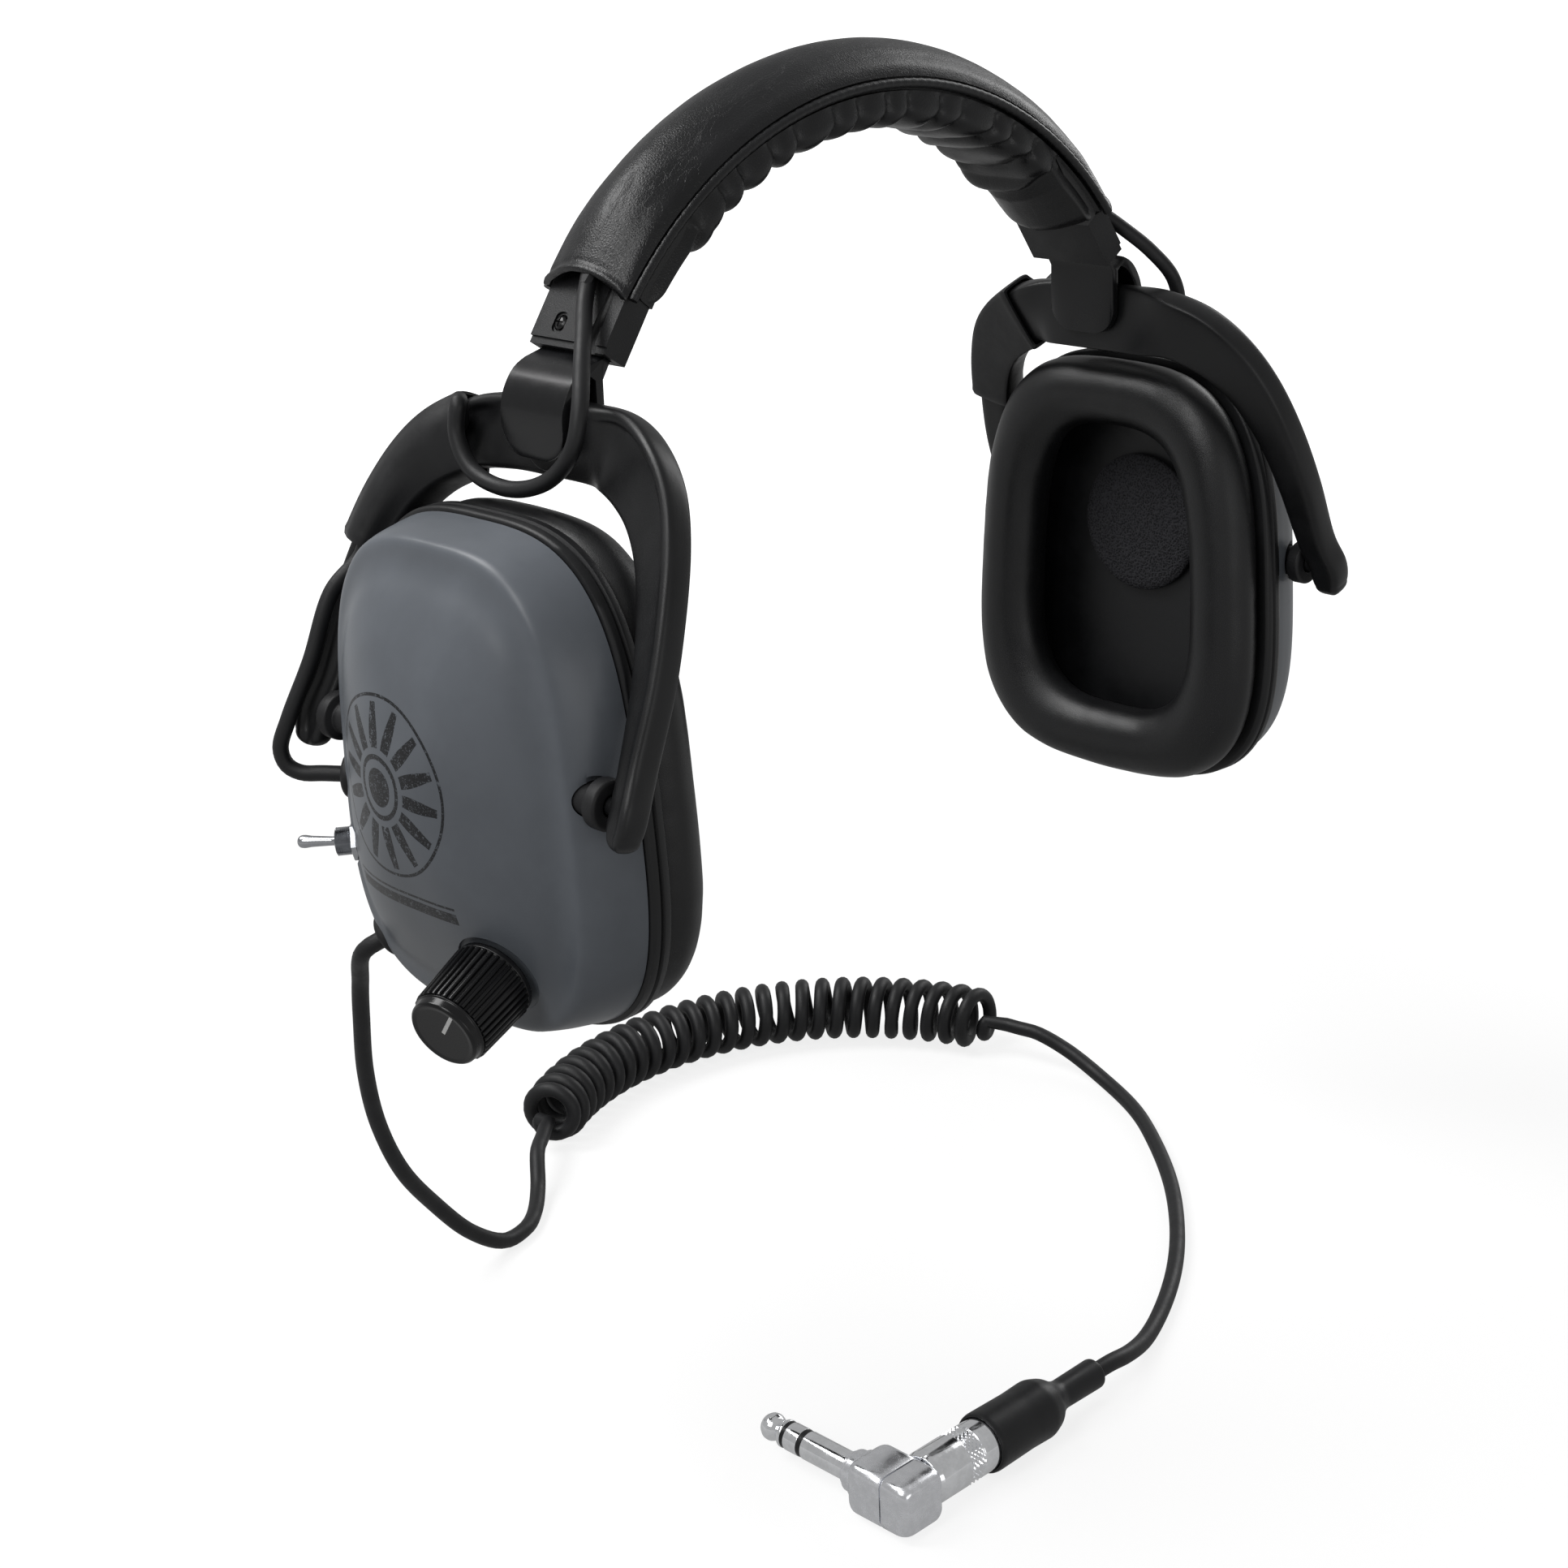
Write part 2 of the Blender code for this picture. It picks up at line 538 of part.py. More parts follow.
def yoke_frames():
    """(middle, outward, normal, width, bead) at each station from front tip to rear tip."""
    line = [(Vector((u, -y, z)), width, bead * YOKE_BEAD) for u, y, z, width, bead in YOKE_STATIONS[:0:-1]]
    line += [(Vector((u, y, z)), width, bead * YOKE_BEAD) for u, y, z, width, bead in YOKE_STATIONS]
    straight = YOKE_STATIONS[1][1] + 0.001
    frames = []
    for i, (middle, width, bead) in enumerate(line):
        before, after = line[max(i - 1, 0)][0], line[min(i + 1, len(line) - 1)][0]
        way = (after - before).normalized()
        lean = Vector((1.0, 0.0, 0.36)) if abs(middle.y) > straight else Vector((1.0, 0.0, 0.0))
        if abs(middle.y) < straight:
            way = Vector((0.0, 1.0, 0.0))
        outward = lean.cross(way).normalized()
        station = i - len(YOKE_STATIONS) + 1
        trim = REAR_TRIM[station] if station > 0 else 0.0
        frames.append((middle - 0.5 * trim * outward, outward, way.cross(outward).normalized(), width - trim, bead))
    return frames


def yoke_ring(frame, grow=0.0):
    """The yoke's section: a flat web with a raised bead along its outer edge."""
    middle, outward, normal, width, bead = frame
    w, t, e = width / 2 + grow, YOKE_WEB / 2 + grow, YOKE_EDGE
    inner_bead = w - YOKE_BEAD_WIDTH - 2 * grow
    section = [(-w, -t + e), (-w + e, -t), (w - e, -t), (w, -t + e), (w, t + bead - e), (w - e, t + bead)]
    section += [(inner_bead + e, t + bead), (inner_bead - e, t), (-w + e, t), (-w, t - e)]
    return [middle + a * outward + c * normal for a, c in section]


def sleeve_ring(frame, grow):
    """The heat-shrink sleeve's section: round the arm and the cable that lies on its web."""
    middle, outward, normal, width, bead = frame
    w, t = width / 2 + SEAT_GAP + grow, YOKE_WEB / 2 + SEAT_GAP + grow
    high = YOKE_WEB / 2 + 2 * CABLE_RADIUS + 3 * SEAT_GAP + grow
    cable = width / 2 - CABLE_SEAT
    reach = CABLE_RADIUS + SEAT_GAP + grow
    e = YOKE_EDGE
    section = [(-w, -t + e), (-w + e, -t), (w - e, -t), (w, -t + e), (w, t + bead), (w - 0.0014, t + bead + 0.0006)]
    section += [(cable + 0.8 * reach, high), (cable - 0.6 * reach, high), (cable - reach - 0.001, t), (-w + e, t), (-w, t - e)]
    return [middle + a * outward + c * normal for a, c in section]


def between(frames, i, share):
    """A frame part of the way from one station to the next."""
    a, b = frames[i], frames[i + 1]
    mixed = [a[k].lerp(b[k], share) for k in range(3)]
    return (mixed[0], mixed[1].normalized(), mixed[2].normalized(), a[3] + share * (b[3] - a[3]), max(a[4], b[4]))


def build_yoke(side, mover):
    """The stirrup with its fork studs, and the sleeve on its rear arm."""
    name = SIDE_NAMES[side]
    swing = pivot(f"yoke_swing_{name}", (side * PIN_U, 0, PIN_Z), mover)
    frames = yoke_frames()
    rings = [yoke_ring(frame) for frame in frames]
    yoke = solid(f"yoke_{name}", rings, BLACK_PLASTIC, side, parent=swing)
    across = Matrix.Translation((0, 0, PIN_Z)) @ Matrix.Rotation(side * math.pi / 2, 4, "Y")
    face = PIN_U + YOKE_WEB / 2
    disc = turned([(0.0065, face - 0.001), (0.0065, face + YOKE_BOSS - 0.0004), (0.0060, face + YOKE_BOSS)], 20)
    cutter(yoke, f"crossbar_boss_{name}", disc, across, "UNION")
    for end, sign in (("front", -1), ("rear", 1)):
        at = Matrix.Translation((side * PIVOT_U, 0, 0)) @ Matrix.Rotation(-sign * math.pi / 2, 4, "X")
        inner = DOME_SIDE_Y + SEAT_GAP
        stud = turned([(STUD_RADIUS, inner), (STUD_RADIUS, FORK_Y)], 12)
        cutter(yoke, f"fork_stud_{end}_{name}", stud, at, "UNION")
    hole = turned([(PIN_RADIUS + RUN_GAP, PIN_U - 0.01), (PIN_RADIUS + RUN_GAP, PIN_U + 0.01)], 16)
    cutter(yoke, f"crossbar_hole_{name}", hole, across)
    middle = len(YOKE_STATIONS) - 1
    covered = frames[middle + 2 : middle + 7]
    outside = [sleeve_ring(frame, SLEEVE_WALL) for frame in covered]
    inside = [sleeve_ring(frame, 0.0) for frame in covered]
    solid(f"yoke_sleeve_{name}", outside + inside[::-1], RUBBER, side, closed_path=True, parent=swing)
    return swing


# ---- ear cup -----------------------------------------------------------------------------


def outline(grow_y, grow_z, u):
    """The cup's outline at depth u, grown or drawn in; u is outboard of the pivot axis."""
    ring = []
    for i in range(CUP_SIDES):
        angle = 2 * math.pi * i / CUP_SIDES
        c, s = math.cos(angle), math.sin(angle)
        y = math.copysign(abs(c) ** (2 / CUP_SQUARENESS), c)
        z = math.copysign(abs(s) ** (2 / CUP_SQUARENESS), s)
        y *= (CUP_HALF_WIDTH + grow_y) * (1 - CUP_TAPER * z)
        ring.append((u, y, CUP_CENTRE_Z + (CUP_HALF_HEIGHT + grow_z) * z))
    return ring


def crown_ring(scale, wall=0.0):
    """A ring of the dome's crowned face, from 1 at the ridge to 0 at its middle."""
    u = -SEAM_INBOARD + RIDGE_DEPTH + CROWN_HEIGHT * (1 - scale**2) - wall
    grow_y = scale * (CUP_HALF_WIDTH - RIDGE_INSET_Y - wall) - CUP_HALF_WIDTH
    grow_z = scale * (CUP_HALF_HEIGHT - RIDGE_INSET_Z - wall) - CUP_HALF_HEIGHT
    return outline(grow_y, grow_z, u)


# The side wall from seam to ridge: (share of the ridge's depth, share of its inset).
WALL_SHAPE = ((0.0, 0.0), (0.34, 0.13), (0.62, 0.29), (0.80, 0.50), (0.92, 0.76))
CROWN_SCALES = (1.0, 0.93, 0.80, 0.62, 0.40, 0.16)
SIDE_FLAT_U = 0.0012  # how far the pivots' flat seats are cut into the side wall
RIM_OUTBOARD = -SEAM_INBOARD - SEAT_GAP
RIM_INBOARD = RIM_OUTBOARD - RIM_THICKNESS


def wall_ring(shape, wall=0.0):
    """A ring of the dome's side wall, or of its inner face one wall thickness in."""
    depth, inset = shape
    return outline(-RIDGE_INSET_Y * inset - wall, -RIDGE_INSET_Z * inset - wall, RIDGE_DEPTH * depth - SEAM_INBOARD)


def wall_inset(depth):
    """How far the side wall is drawn in at a depth from the seam."""
    return RIDGE_INSET_Y * float(np.interp(depth / RIDGE_DEPTH, *zip(*WALL_SHAPE)))


DOME_SIDE_Y = CUP_HALF_WIDTH - wall_inset(SEAM_INBOARD) - SIDE_FLAT_U
DOME_SKIN = [wall_ring(shape) for shape in WALL_SHAPE] + [crown_ring(scale) for scale in CROWN_SCALES]
DOME_TREE = BVHTree.FromPolygons(*skin(DOME_SKIN))


def on_dome(place, way=None):
    """A matrix where a fitting sits on the dome's skin, local Z pointing out of it."""
    spot, _, _, _ = DOME_TREE.find_nearest(Vector(place))
    if way is None:
        way = Vector((0, 0, 0))
        for i in range(12):
            around = Vector((0, math.cos(i * math.pi / 6), math.sin(i * math.pi / 6)))
            near, normal, _, _ = DOME_TREE.find_nearest(spot + 0.0045 * around)
            way += normal if normal.dot(near - Vector((-0.01, 0, CUP_CENTRE_Z))) > 0 else -normal
    way = way.normalized()
    upright = (Vector((0, 0, 1)) - way * way.z).normalized()
    turn = Matrix((upright.cross(way), upright, way)).transposed().to_4x4()
    return Matrix.Translation(spot) @ turn


def cup_matrix(side):
    """From a cup's own frame, whose origin is on its pivot axis, to the world."""
    return Matrix.Translation((side * PIVOT_U, 0, 0)) @ Matrix.Rotation(side * CUP_LEAN, 4, "Y")


def mirrored_matrix(matrix, side):
    """A fitting's matrix on this side's cup: the same place, mirrored for the right."""
    if side == LEFT:
        return matrix
    flip = Matrix.Scale(-1, 4, Vector((1, 0, 0)))
    return flip @ matrix @ flip


def fitting_matrix(place, side, way=None):
    """A place on this side's dome, in the world, local Z pointing out of the dome."""
    return cup_matrix(side) @ mirrored_matrix(on_dome(place, way), side)


def knob_way():
    """The way the volume knob points, outboard with a turn and a droop."""
    flat = math.cos(KNOB_DROOP)
    return Vector((flat * math.cos(KNOB_TURN), flat * math.sin(KNOB_TURN), -math.sin(KNOB_DROOP)))


def build_dome(side, cup):
    """The moulded shell: side wall, soft ridge, crowned face, holes and flat seats."""
    name = SIDE_NAMES[side]
    inside = [wall_ring(WALL_SHAPE[i], DOME_WALL) for i in (0, 2)]
    inside += [crown_ring(scale, DOME_WALL) for scale in (0.96, 0.72, 0.42, 0.15)]
    rings = inside[::-1] + DOME_SKIN
    dome = solid(f"dome_{name}", rings, DOME_GREY, side, parent=cup, matrix=cup_matrix(side))
    for end, sign in (("front", -1), ("rear", 1)):
        at = Matrix.Translation((side * PIVOT_U, 0, 0)) @ Matrix.Rotation(-sign * math.pi / 2, 4, "X")
        radius, body = BUSH_RADIUS + 0.0008, BUSH_BODY_RADIUS + SEAT_GAP
        profile = [(body, DOME_SIDE_Y - 0.010), (body, DOME_SIDE_Y), (radius, DOME_SIDE_Y), (radius, DOME_SIDE_Y + 0.01)]
        cutter(dome, f"bush_seat_{end}_{name}", turned(profile, 20), at)
    seats = [("cable", CABLE_ENTRY, None, GROMMET_RADIUS, GROMMET_NECK)]
    if side == RIGHT:
        seats.append(("switch", SWITCH_PLACE, None, NUT_ACROSS_FLATS / math.sqrt(3), BUSHING_RADIUS))
        seats.append(("cord", CORD_ENTRY, None, GROMMET_RADIUS, GROMMET_NECK))
        seats.append(("knob", KNOB_PLACE, knob_way(), KNOB_RADIUS, POT_NECK))
    for label, place, way, radius, neck in seats:
        hole = neck + SEAT_GAP
        profile = [(hole, -0.014), (hole, -SEAT_SINK), (radius + 0.0005, -SEAT_SINK), (radius + 0.0005, 0.006)]
        cutter(dome, f"{label}_seat_{name}", turned(profile, 18), fitting_matrix(place, side, way))
    return dome


SEAT_SINK = 0.0011  # how far the flat seats of fittings are sunk
POT_NECK = BUSHING_RADIUS + 0.0006


def build_rim_and_cushion(side, cup):
    """The black rim, the ear cushion on it, and the baffle, foam and speaker behind it."""
    name = SIDE_NAMES[side]
    place = {"parent": cup, "matrix": cup_matrix(side)}
    mid = (RIM_OUTBOARD + RIM_INBOARD) / 2
    proud = RIM_PROUD
    profile = [(proud - 0.0006, RIM_OUTBOARD), (proud, RIM_OUTBOARD - 0.0008), (proud, mid + 0.0006)]
    profile += [(proud - RIM_GROOVE, mid), (proud, mid - 0.0006), (proud - 0.0006, RIM_INBOARD)]
    profile += [(-RIM_LAND, RIM_INBOARD), (-RIM_LAND, RIM_OUTBOARD)]
    solid(f"rim_{name}", [outline(g, g, u) for g, u in profile], BLACK_PLASTIC, side, closed_path=True, **place)

    back = RIM_INBOARD - SEAT_GAP
    t, band, draw = CUSHION_THICKNESS, CUSHION_BAND, CUSHION_DRAW_IN
    profile = [(-draw, back), (-0.0006, back - 0.20 * t), (0.0, back - 0.45 * t), (-0.0016, back - 0.76 * t)]
    profile += [(-0.0052, back - 0.95 * t), (-0.5 * band, back - t), (0.0048 - band, back - 0.94 * t)]
    profile += [(0.0010 - band, back - 0.70 * t), (-band, back - 0.40 * t), (draw - band, back)]
    rings = [outline(g, g, u) for g, u in profile]
    solid(f"ear_cushion_{name}", rings, CUSHION_VINYL, side, closed_path=True, **place)

    baffle_low = RIM_OUTBOARD + SEAT_GAP
    inner = -DOME_WALL - wall_inset(BAFFLE_THICKNESS + 2 * SEAT_GAP) - SEAT_GAP - 0.0001
    rings = [outline(inner, inner, u) for u in (baffle_low, baffle_low + BAFFLE_THICKNESS)]
    baffle = solid(f"baffle_{name}", rings, BLACK_PLASTIC, side, **place)
    centre_z = CUP_CENTRE_Z + SPEAKER_RISE
    for i in range(-2, 3):
        half = math.sqrt(max((SPEAKER_RADIUS - 0.004) ** 2 - (i * SLOT_PITCH) ** 2, 1e-6))
        across = [(y, z) for y in (-SLOT_WIDTH / 2, SLOT_WIDTH / 2) for z in (-half, half)]
        square = [across[0], across[1], across[3], across[2]]
        reach = (baffle_low - 0.002, baffle_low + BAFFLE_THICKNESS + 0.002)
        slot = [[(side * u, i * SLOT_PITCH + y, centre_z + z) for y, z in square] for u in reach]
        cutter(baffle, f"sound_slot_{i + 2}_{name}", slot, cup_matrix(side))

    def facing(u):
        return cup_matrix(side) @ Matrix.Translation((side * u, 0, centre_z)) @ Matrix.Rotation(side * math.pi / 2, 4, "Y")

    r, d = SPEAKER_RADIUS, SPEAKER_DEPTH
    profile = [(r, 0.0), (r, 0.0020), (0.80 * r, 0.42 * d), (0.52 * r, 0.60 * d), (0.52 * r, d), (0.25 * r, d)]
    profile += [(0.25 * r, 0.40 * d), (0.55 * r, 0.22 * d), (0.88 * r, 0.0)]
    rings = turned(profile, 20)
    top = baffle_low + BAFFLE_THICKNESS + SEAT_GAP
    solid(f"speaker_{name}", rings, CONE_PAPER, closed_path=True, parent=cup, matrix=facing(top))
    disc = turned([(r, 0.0), (r, FOAM_THICKNESS)], 20)
    low = baffle_low - SEAT_GAP - FOAM_THICKNESS
    solid(f"ear_foam_{name}", disc, FOAM, parent=cup, matrix=facing(low))


def build_bushes(side, cup):
    """The two bushes that the fork studs turn in, pressed into the dome's side walls."""
    for end, sign in (("front", -1), ("rear", 1)):
        at = Matrix.Translation((side * PIVOT_U, 0, 0)) @ Matrix.Rotation(-sign * math.pi / 2, 4, "X")
        low = DOME_SIDE_Y + SEAT_GAP
        tip = FORK_INNER_Y - 2 * RUN_GAP
        profile = [(BUSH_BODY_RADIUS, low - 0.0036), (BUSH_BODY_RADIUS, low), (BUSH_RADIUS, low)]
        profile += [(BUSH_RADIUS, tip - 0.0006), (BUSH_RADIUS - 0.0006, tip)]
        rings = bored(profile, STUD_RADIUS + RUN_GAP, 12)
        solid(f"pivot_bush_{end}_{SIDE_NAMES[side]}", rings, RUBBER, closed_path=True, parent=cup, matrix=at)


def build_grommet(name, place, side, cup, bore):
    """A rubber grommet: outer flange, neck through the wall, inner lip."""
    base = -SEAT_SINK + SEAT_GAP
    lip = -DOME_WALL - 0.0016
    profile = [(GROMMET_NECK, lip - 0.0012), (GROMMET_NECK, base), (GROMMET_RADIUS, base)]
    profile += [(GROMMET_RADIUS, base + 0.7 * GROMMET_FLANGE), (0.8 * GROMMET_RADIUS, base + GROMMET_FLANGE)]
    rings = bored(profile, bore + SEAT_GAP, 14)
    solid(name, rings, RUBBER, closed_path=True, parent=cup, matrix=fitting_matrix(place, side))


def build_switch(cup):
    """The toggle switch: body with its bushing, nut and bat lever."""
    at = fitting_matrix(SWITCH_PLACE, RIGHT)
    base = -SEAT_SINK - DOME_WALL - 0.0014
    collar = [(SWITCH_RADIUS, base - SWITCH_DEPTH), (SWITCH_RADIUS, base - 0.0003), (BUSHING_RADIUS, base), (BUSHING_RADIUS, 0.0048)]
    collar = turned(collar, 12)
    body = solid("switch_body", collar, CHROME, parent=cup, matrix=at)
    well = turned([(0.0022, 0.0005), (0.0026, 0.0058)], 12)
    cutter(body, "switch_well", well, at)
    nut_low = -SEAT_SINK + SEAT_GAP
    flats = NUT_ACROSS_FLATS / math.sqrt(3)
    nut = turned([(flats, nut_low), (flats, nut_low + NUT_THICKNESS)], 6)
    ring = solid("switch_nut", nut, CHROME, parent=cup, matrix=at)
    hole = turned([(BUSHING_RADIUS + SEAT_GAP, -0.01), (BUSHING_RADIUS + SEAT_GAP, 0.01)], 16)
    cutter(ring, "nut_hole", hole, at)
    hinge = pivot("switch_pivot", at @ Vector((0, 0, 0.0026)), cup)
    tilt = at @ Matrix.Translation((0, 0, 0.0026)) @ Matrix.Rotation(-LEVER_TILT, 4, "Y")
    length = LEVER_LENGTH
    profile = [(0.0008, -0.0011), (0.0013, -0.0004), (0.0013, 0.0015), (0.0011, 0.0030), (0.00145, length - 0.0012)]
    profile += [(0.00125, length - 0.0004), (0.0006, length)]
    solid("switch_lever", turned(profile, 14), CHROME, parent=hinge, matrix=tilt)


def build_volume(cup):
    """The potentiometer behind the dome, its shaft, and the ribbed knob."""
    at = fitting_matrix(KNOB_PLACE, RIGHT, knob_way())
    base = -SEAT_SINK - DOME_WALL - 0.0022
    profile = [(POT_RADIUS, base - POT_DEPTH), (POT_RADIUS, base), (POT_NECK, base), (POT_NECK, 0.0022)]
    rings = turned([*profile, (SHAFT_RADIUS + SEAT_GAP, 0.0022), (SHAFT_RADIUS + SEAT_GAP, base - 0.0040)], 16)
    solid("volume_pot", rings, SPRING_STEEL, parent=cup, matrix=at)
    axis = pivot("volume_axis", at @ Vector((0, 0, 0)), cup)
    shaft = turned([(SHAFT_RADIUS, base - 0.0034), (SHAFT_RADIUS, 0.0120)], 12)
    solid("volume_shaft", shaft, CHROME, parent=axis, matrix=at)
    low, high = 0.0006, KNOB_HEIGHT
    count = 2 * KNOB_RIBS
    rings = []
    for radius, z, rib in (
        (KNOB_RADIUS - 0.0004, low, 1.0),
        (KNOB_RADIUS, low + 0.0005, 1.0),
        (KNOB_RADIUS - 0.0006, high - 0.0026, 1.0),
        (KNOB_RADIUS - 0.0014, high - 0.0020, 0.0),
        (KNOB_RADIUS - 0.0016, high - 0.0005, 0.0),
        (KNOB_RADIUS - 0.0022, high, 0.0),
    ):
        ring = []
        for i in range(count):
            turn = 2 * math.pi * i / count
            r = radius - rib * KNOB_RIB_DEPTH * (i % 2)
            ring.append((r * math.cos(turn), r * math.sin(turn), z))
        rings.append(ring)
    knob = solid("volume_knob", rings, KNOB_BLACK, parent=axis, matrix=at)
    bore = [(0.0055, low - 0.001), (0.0055, 0.0032), (SHAFT_RADIUS + SEAT_GAP, 0.0032), (SHAFT_RADIUS + SEAT_GAP, 0.0124)]
    cutter(knob, "knob_bore", turned(bore, 16), at)
    line = [(-0.0005, 0.0005), (0.0005, 0.0005), (0.0005, 0.0070), (-0.0005, 0.0070)]
    groove = [[(x, y, z) for x, y in line] for z in (high - 0.0004, high + 0.001)]
    cutter(knob, "knob_line", groove, at)


# ---- cables of the cups ----------------------------------------------------------------------

# Routes in (u, y, z): from the band's hem round to the sleeve, and from the sleeve to the grommet.
LOOP_ROUTE = (
    (PIN_U - 0.0018, -0.0080, PIN_Z + 0.0278),
    (PIN_U + 0.0034, -0.0138, PIN_Z + 0.0208),
    (PIN_U + 0.0084, -0.0186, PIN_Z + 0.0115),
    (PIN_U + 0.0096, -0.0180, PIN_Z + 0.0010),
    (PIN_U + 0.0096, -0.0105, PIN_Z - 0.0075),
    (PIN_U + 0.0096, 0.0015, PIN_Z - 0.0110),
    (PIN_U + 0.0098, 0.0118, PIN_Z - 0.0085),
    (PIN_U + 0.0097, 0.0146, PIN_Z - 0.0020),
    (PIN_U + 0.0077, 0.0166, PIN_Z + 0.0030),
)
DROP_ROUTE = (
    (PIVOT_U - 0.0030, FORK_Y - 0.0034, 0.0270),
    (PIVOT_U + 0.0025, FORK_Y - 0.0020, 0.0120),
    (PIVOT_U + 0.0076, FORK_Y + 0.0010, -0.0010),
    (PIVOT_U + 0.0084, FORK_Y + 0.0018, -0.0100),
    (PIVOT_U + 0.0058, FORK_Y - 0.0007, -0.0148),
)


def in_sleeve(frames, i, share):
    """Where the cable lies on the yoke's web inside the sleeve."""
    middle, outward, normal, width, _ = between(frames, i, share)
    return middle + (width / 2 - CABLE_SEAT) * outward + (YOKE_WEB / 2 + CABLE_RADIUS + SEAT_GAP) * normal


def build_cables(side, root, mover, swing):
    """The cable's free lengths: a loop from hem to sleeve in two halves, and sleeve to cup."""
    name = SIDE_NAMES[side]
    frames = yoke_frames()
    middle = len(YOKE_STATIONS) - 1
    hem_out = COVER_HALF_ANGLE + math.radians(0.2)
    hem = Vector(on_arc(hem_out, LINK_CABLE_ARC, CABLE_HEM_Y))
    onward = Vector(on_arc(hem_out + math.radians(2.5), LINK_CABLE_ARC + 0.0006, CABLE_HEM_Y - 0.0008))
    entry = [in_sleeve(frames, middle + 1, 0.85), in_sleeve(frames, middle + 2, 0.15), in_sleeve(frames, middle + 2, 0.7)]
    route = [hem, onward, *map(Vector, LOOP_ROUTE), *entry]
    points = [Vector((side * p[0], p[1], p[2])) for p in smooth_route(route, 0.0052)]
    low = min(range(len(points)), key=lambda i: points[i].z)
    gap = SEAT_GAP * (points[low + 1] - points[low - 1]).normalized()
    upper = [*points[:low], points[low] - gap]
    lower = [points[low] + gap, *points[low + 1 :]]
    tube(f"cable_loop_upper_{name}", upper, CABLE_RADIUS, RUBBER, parent=root)
    tube(f"cable_loop_lower_{name}", lower, CABLE_RADIUS, RUBBER, parent=mover)

    at = cup_matrix(LEFT) @ on_dome(CABLE_ENTRY)
    way_in = [at @ Vector((0, 0, lift)) for lift in (0.0070, 0.0020, -0.0030)]
    leave = [in_sleeve(frames, middle + 5, 0.3), in_sleeve(frames, middle + 5, 0.9), in_sleeve(frames, middle + 6, 0.2)]
    route = [*leave, *map(Vector, DROP_ROUTE), *way_in]
    points = [(side * p[0], p[1], p[2]) for p in smooth_route(route, 0.0052)]
    tube(f"cable_drop_{name}", points, CABLE_RADIUS, RUBBER, parent=swing)


# ---- lead and plug ---------------------------------------------------------------------------

CORD_LIE = TABLE_Z + CORD_RADIUS
COIL_Z = TABLE_Z + COIL_RADIUS
DROP_TO_COIL = (
    (-0.1150, 0.0480, -0.0650),
    (-0.1128, 0.0520, -0.0760),
    (-0.1095, 0.0570, -0.0920),
    (-0.1040, 0.0615, -0.1090),
    (-0.0965, 0.0640, -0.1250),
    (-0.0870, 0.0655, -0.1380),
    (-0.0765, 0.0655, -0.1500),
    (-0.0660, 0.0660, -0.1570),
    (-0.0570, 0.0685, CORD_LIE),
    (-0.0500, 0.0735, CORD_LIE),
    (-0.0420, 0.0810, CORD_LIE),
    (-0.0365, 0.0870, -0.1560),
)
LEAD_ROUTE = (
    (0.1068, 0.0260, -0.1550),
    (0.1045, 0.0110, CORD_LIE),
    (0.0970, -0.0060, CORD_LIE),
    (0.0850, -0.0225, CORD_LIE),
    (0.0690, -0.0405, CORD_LIE),
    (0.0510, -0.0565, CORD_LIE),
    (0.0350, -0.0680, CORD_LIE),
    (0.0190, -0.0770, CORD_LIE),
    (0.0030, -0.0840, -0.1575),
    (-0.0080, -0.0875, -0.1552),
)


def on_coil_arc(angle, inward=0.0, z=COIL_Z):
    """A point of the coil's axis, which lies on a round arc on the table."""
    radius = COIL_ARC_RADIUS - inward
    return Vector((COIL_ARC_CENTRE[0] + radius * math.cos(angle), COIL_ARC_CENTRE[1] + radius * math.sin(angle), z))


def coil_points():
    """The curls of the coiled lead, which open from its axis and close to it again."""
    mean = COIL_RADIUS - CORD_RADIUS
    count = COIL_TURNS * COIL_POINTS_PER_TURN
    ramp = 1.1 * COIL_POINTS_PER_TURN
    ahead = 2.2 * CORD_RADIUS / COIL_ARC_RADIUS
    points = [on_coil_arc(COIL_START + 2 * ahead), on_coil_arc(COIL_START + ahead)]
    for i in range(count + 1):
        angle = COIL_START + (COIL_END - COIL_START) * i / count
        swell = min(1.0, i / ramp, (count - i) / ramp)
        turn = 2 * math.pi * i / COIL_POINTS_PER_TURN + math.pi / 2
        radius = mean * math.sin(swell * math.pi / 2)
        points.append(on_coil_arc(angle, radius * math.cos(turn), COIL_Z + radius * math.sin(turn)))
    points += [on_coil_arc(COIL_END - ahead), on_coil_arc(COIL_END - 2 * ahead)]
    return points


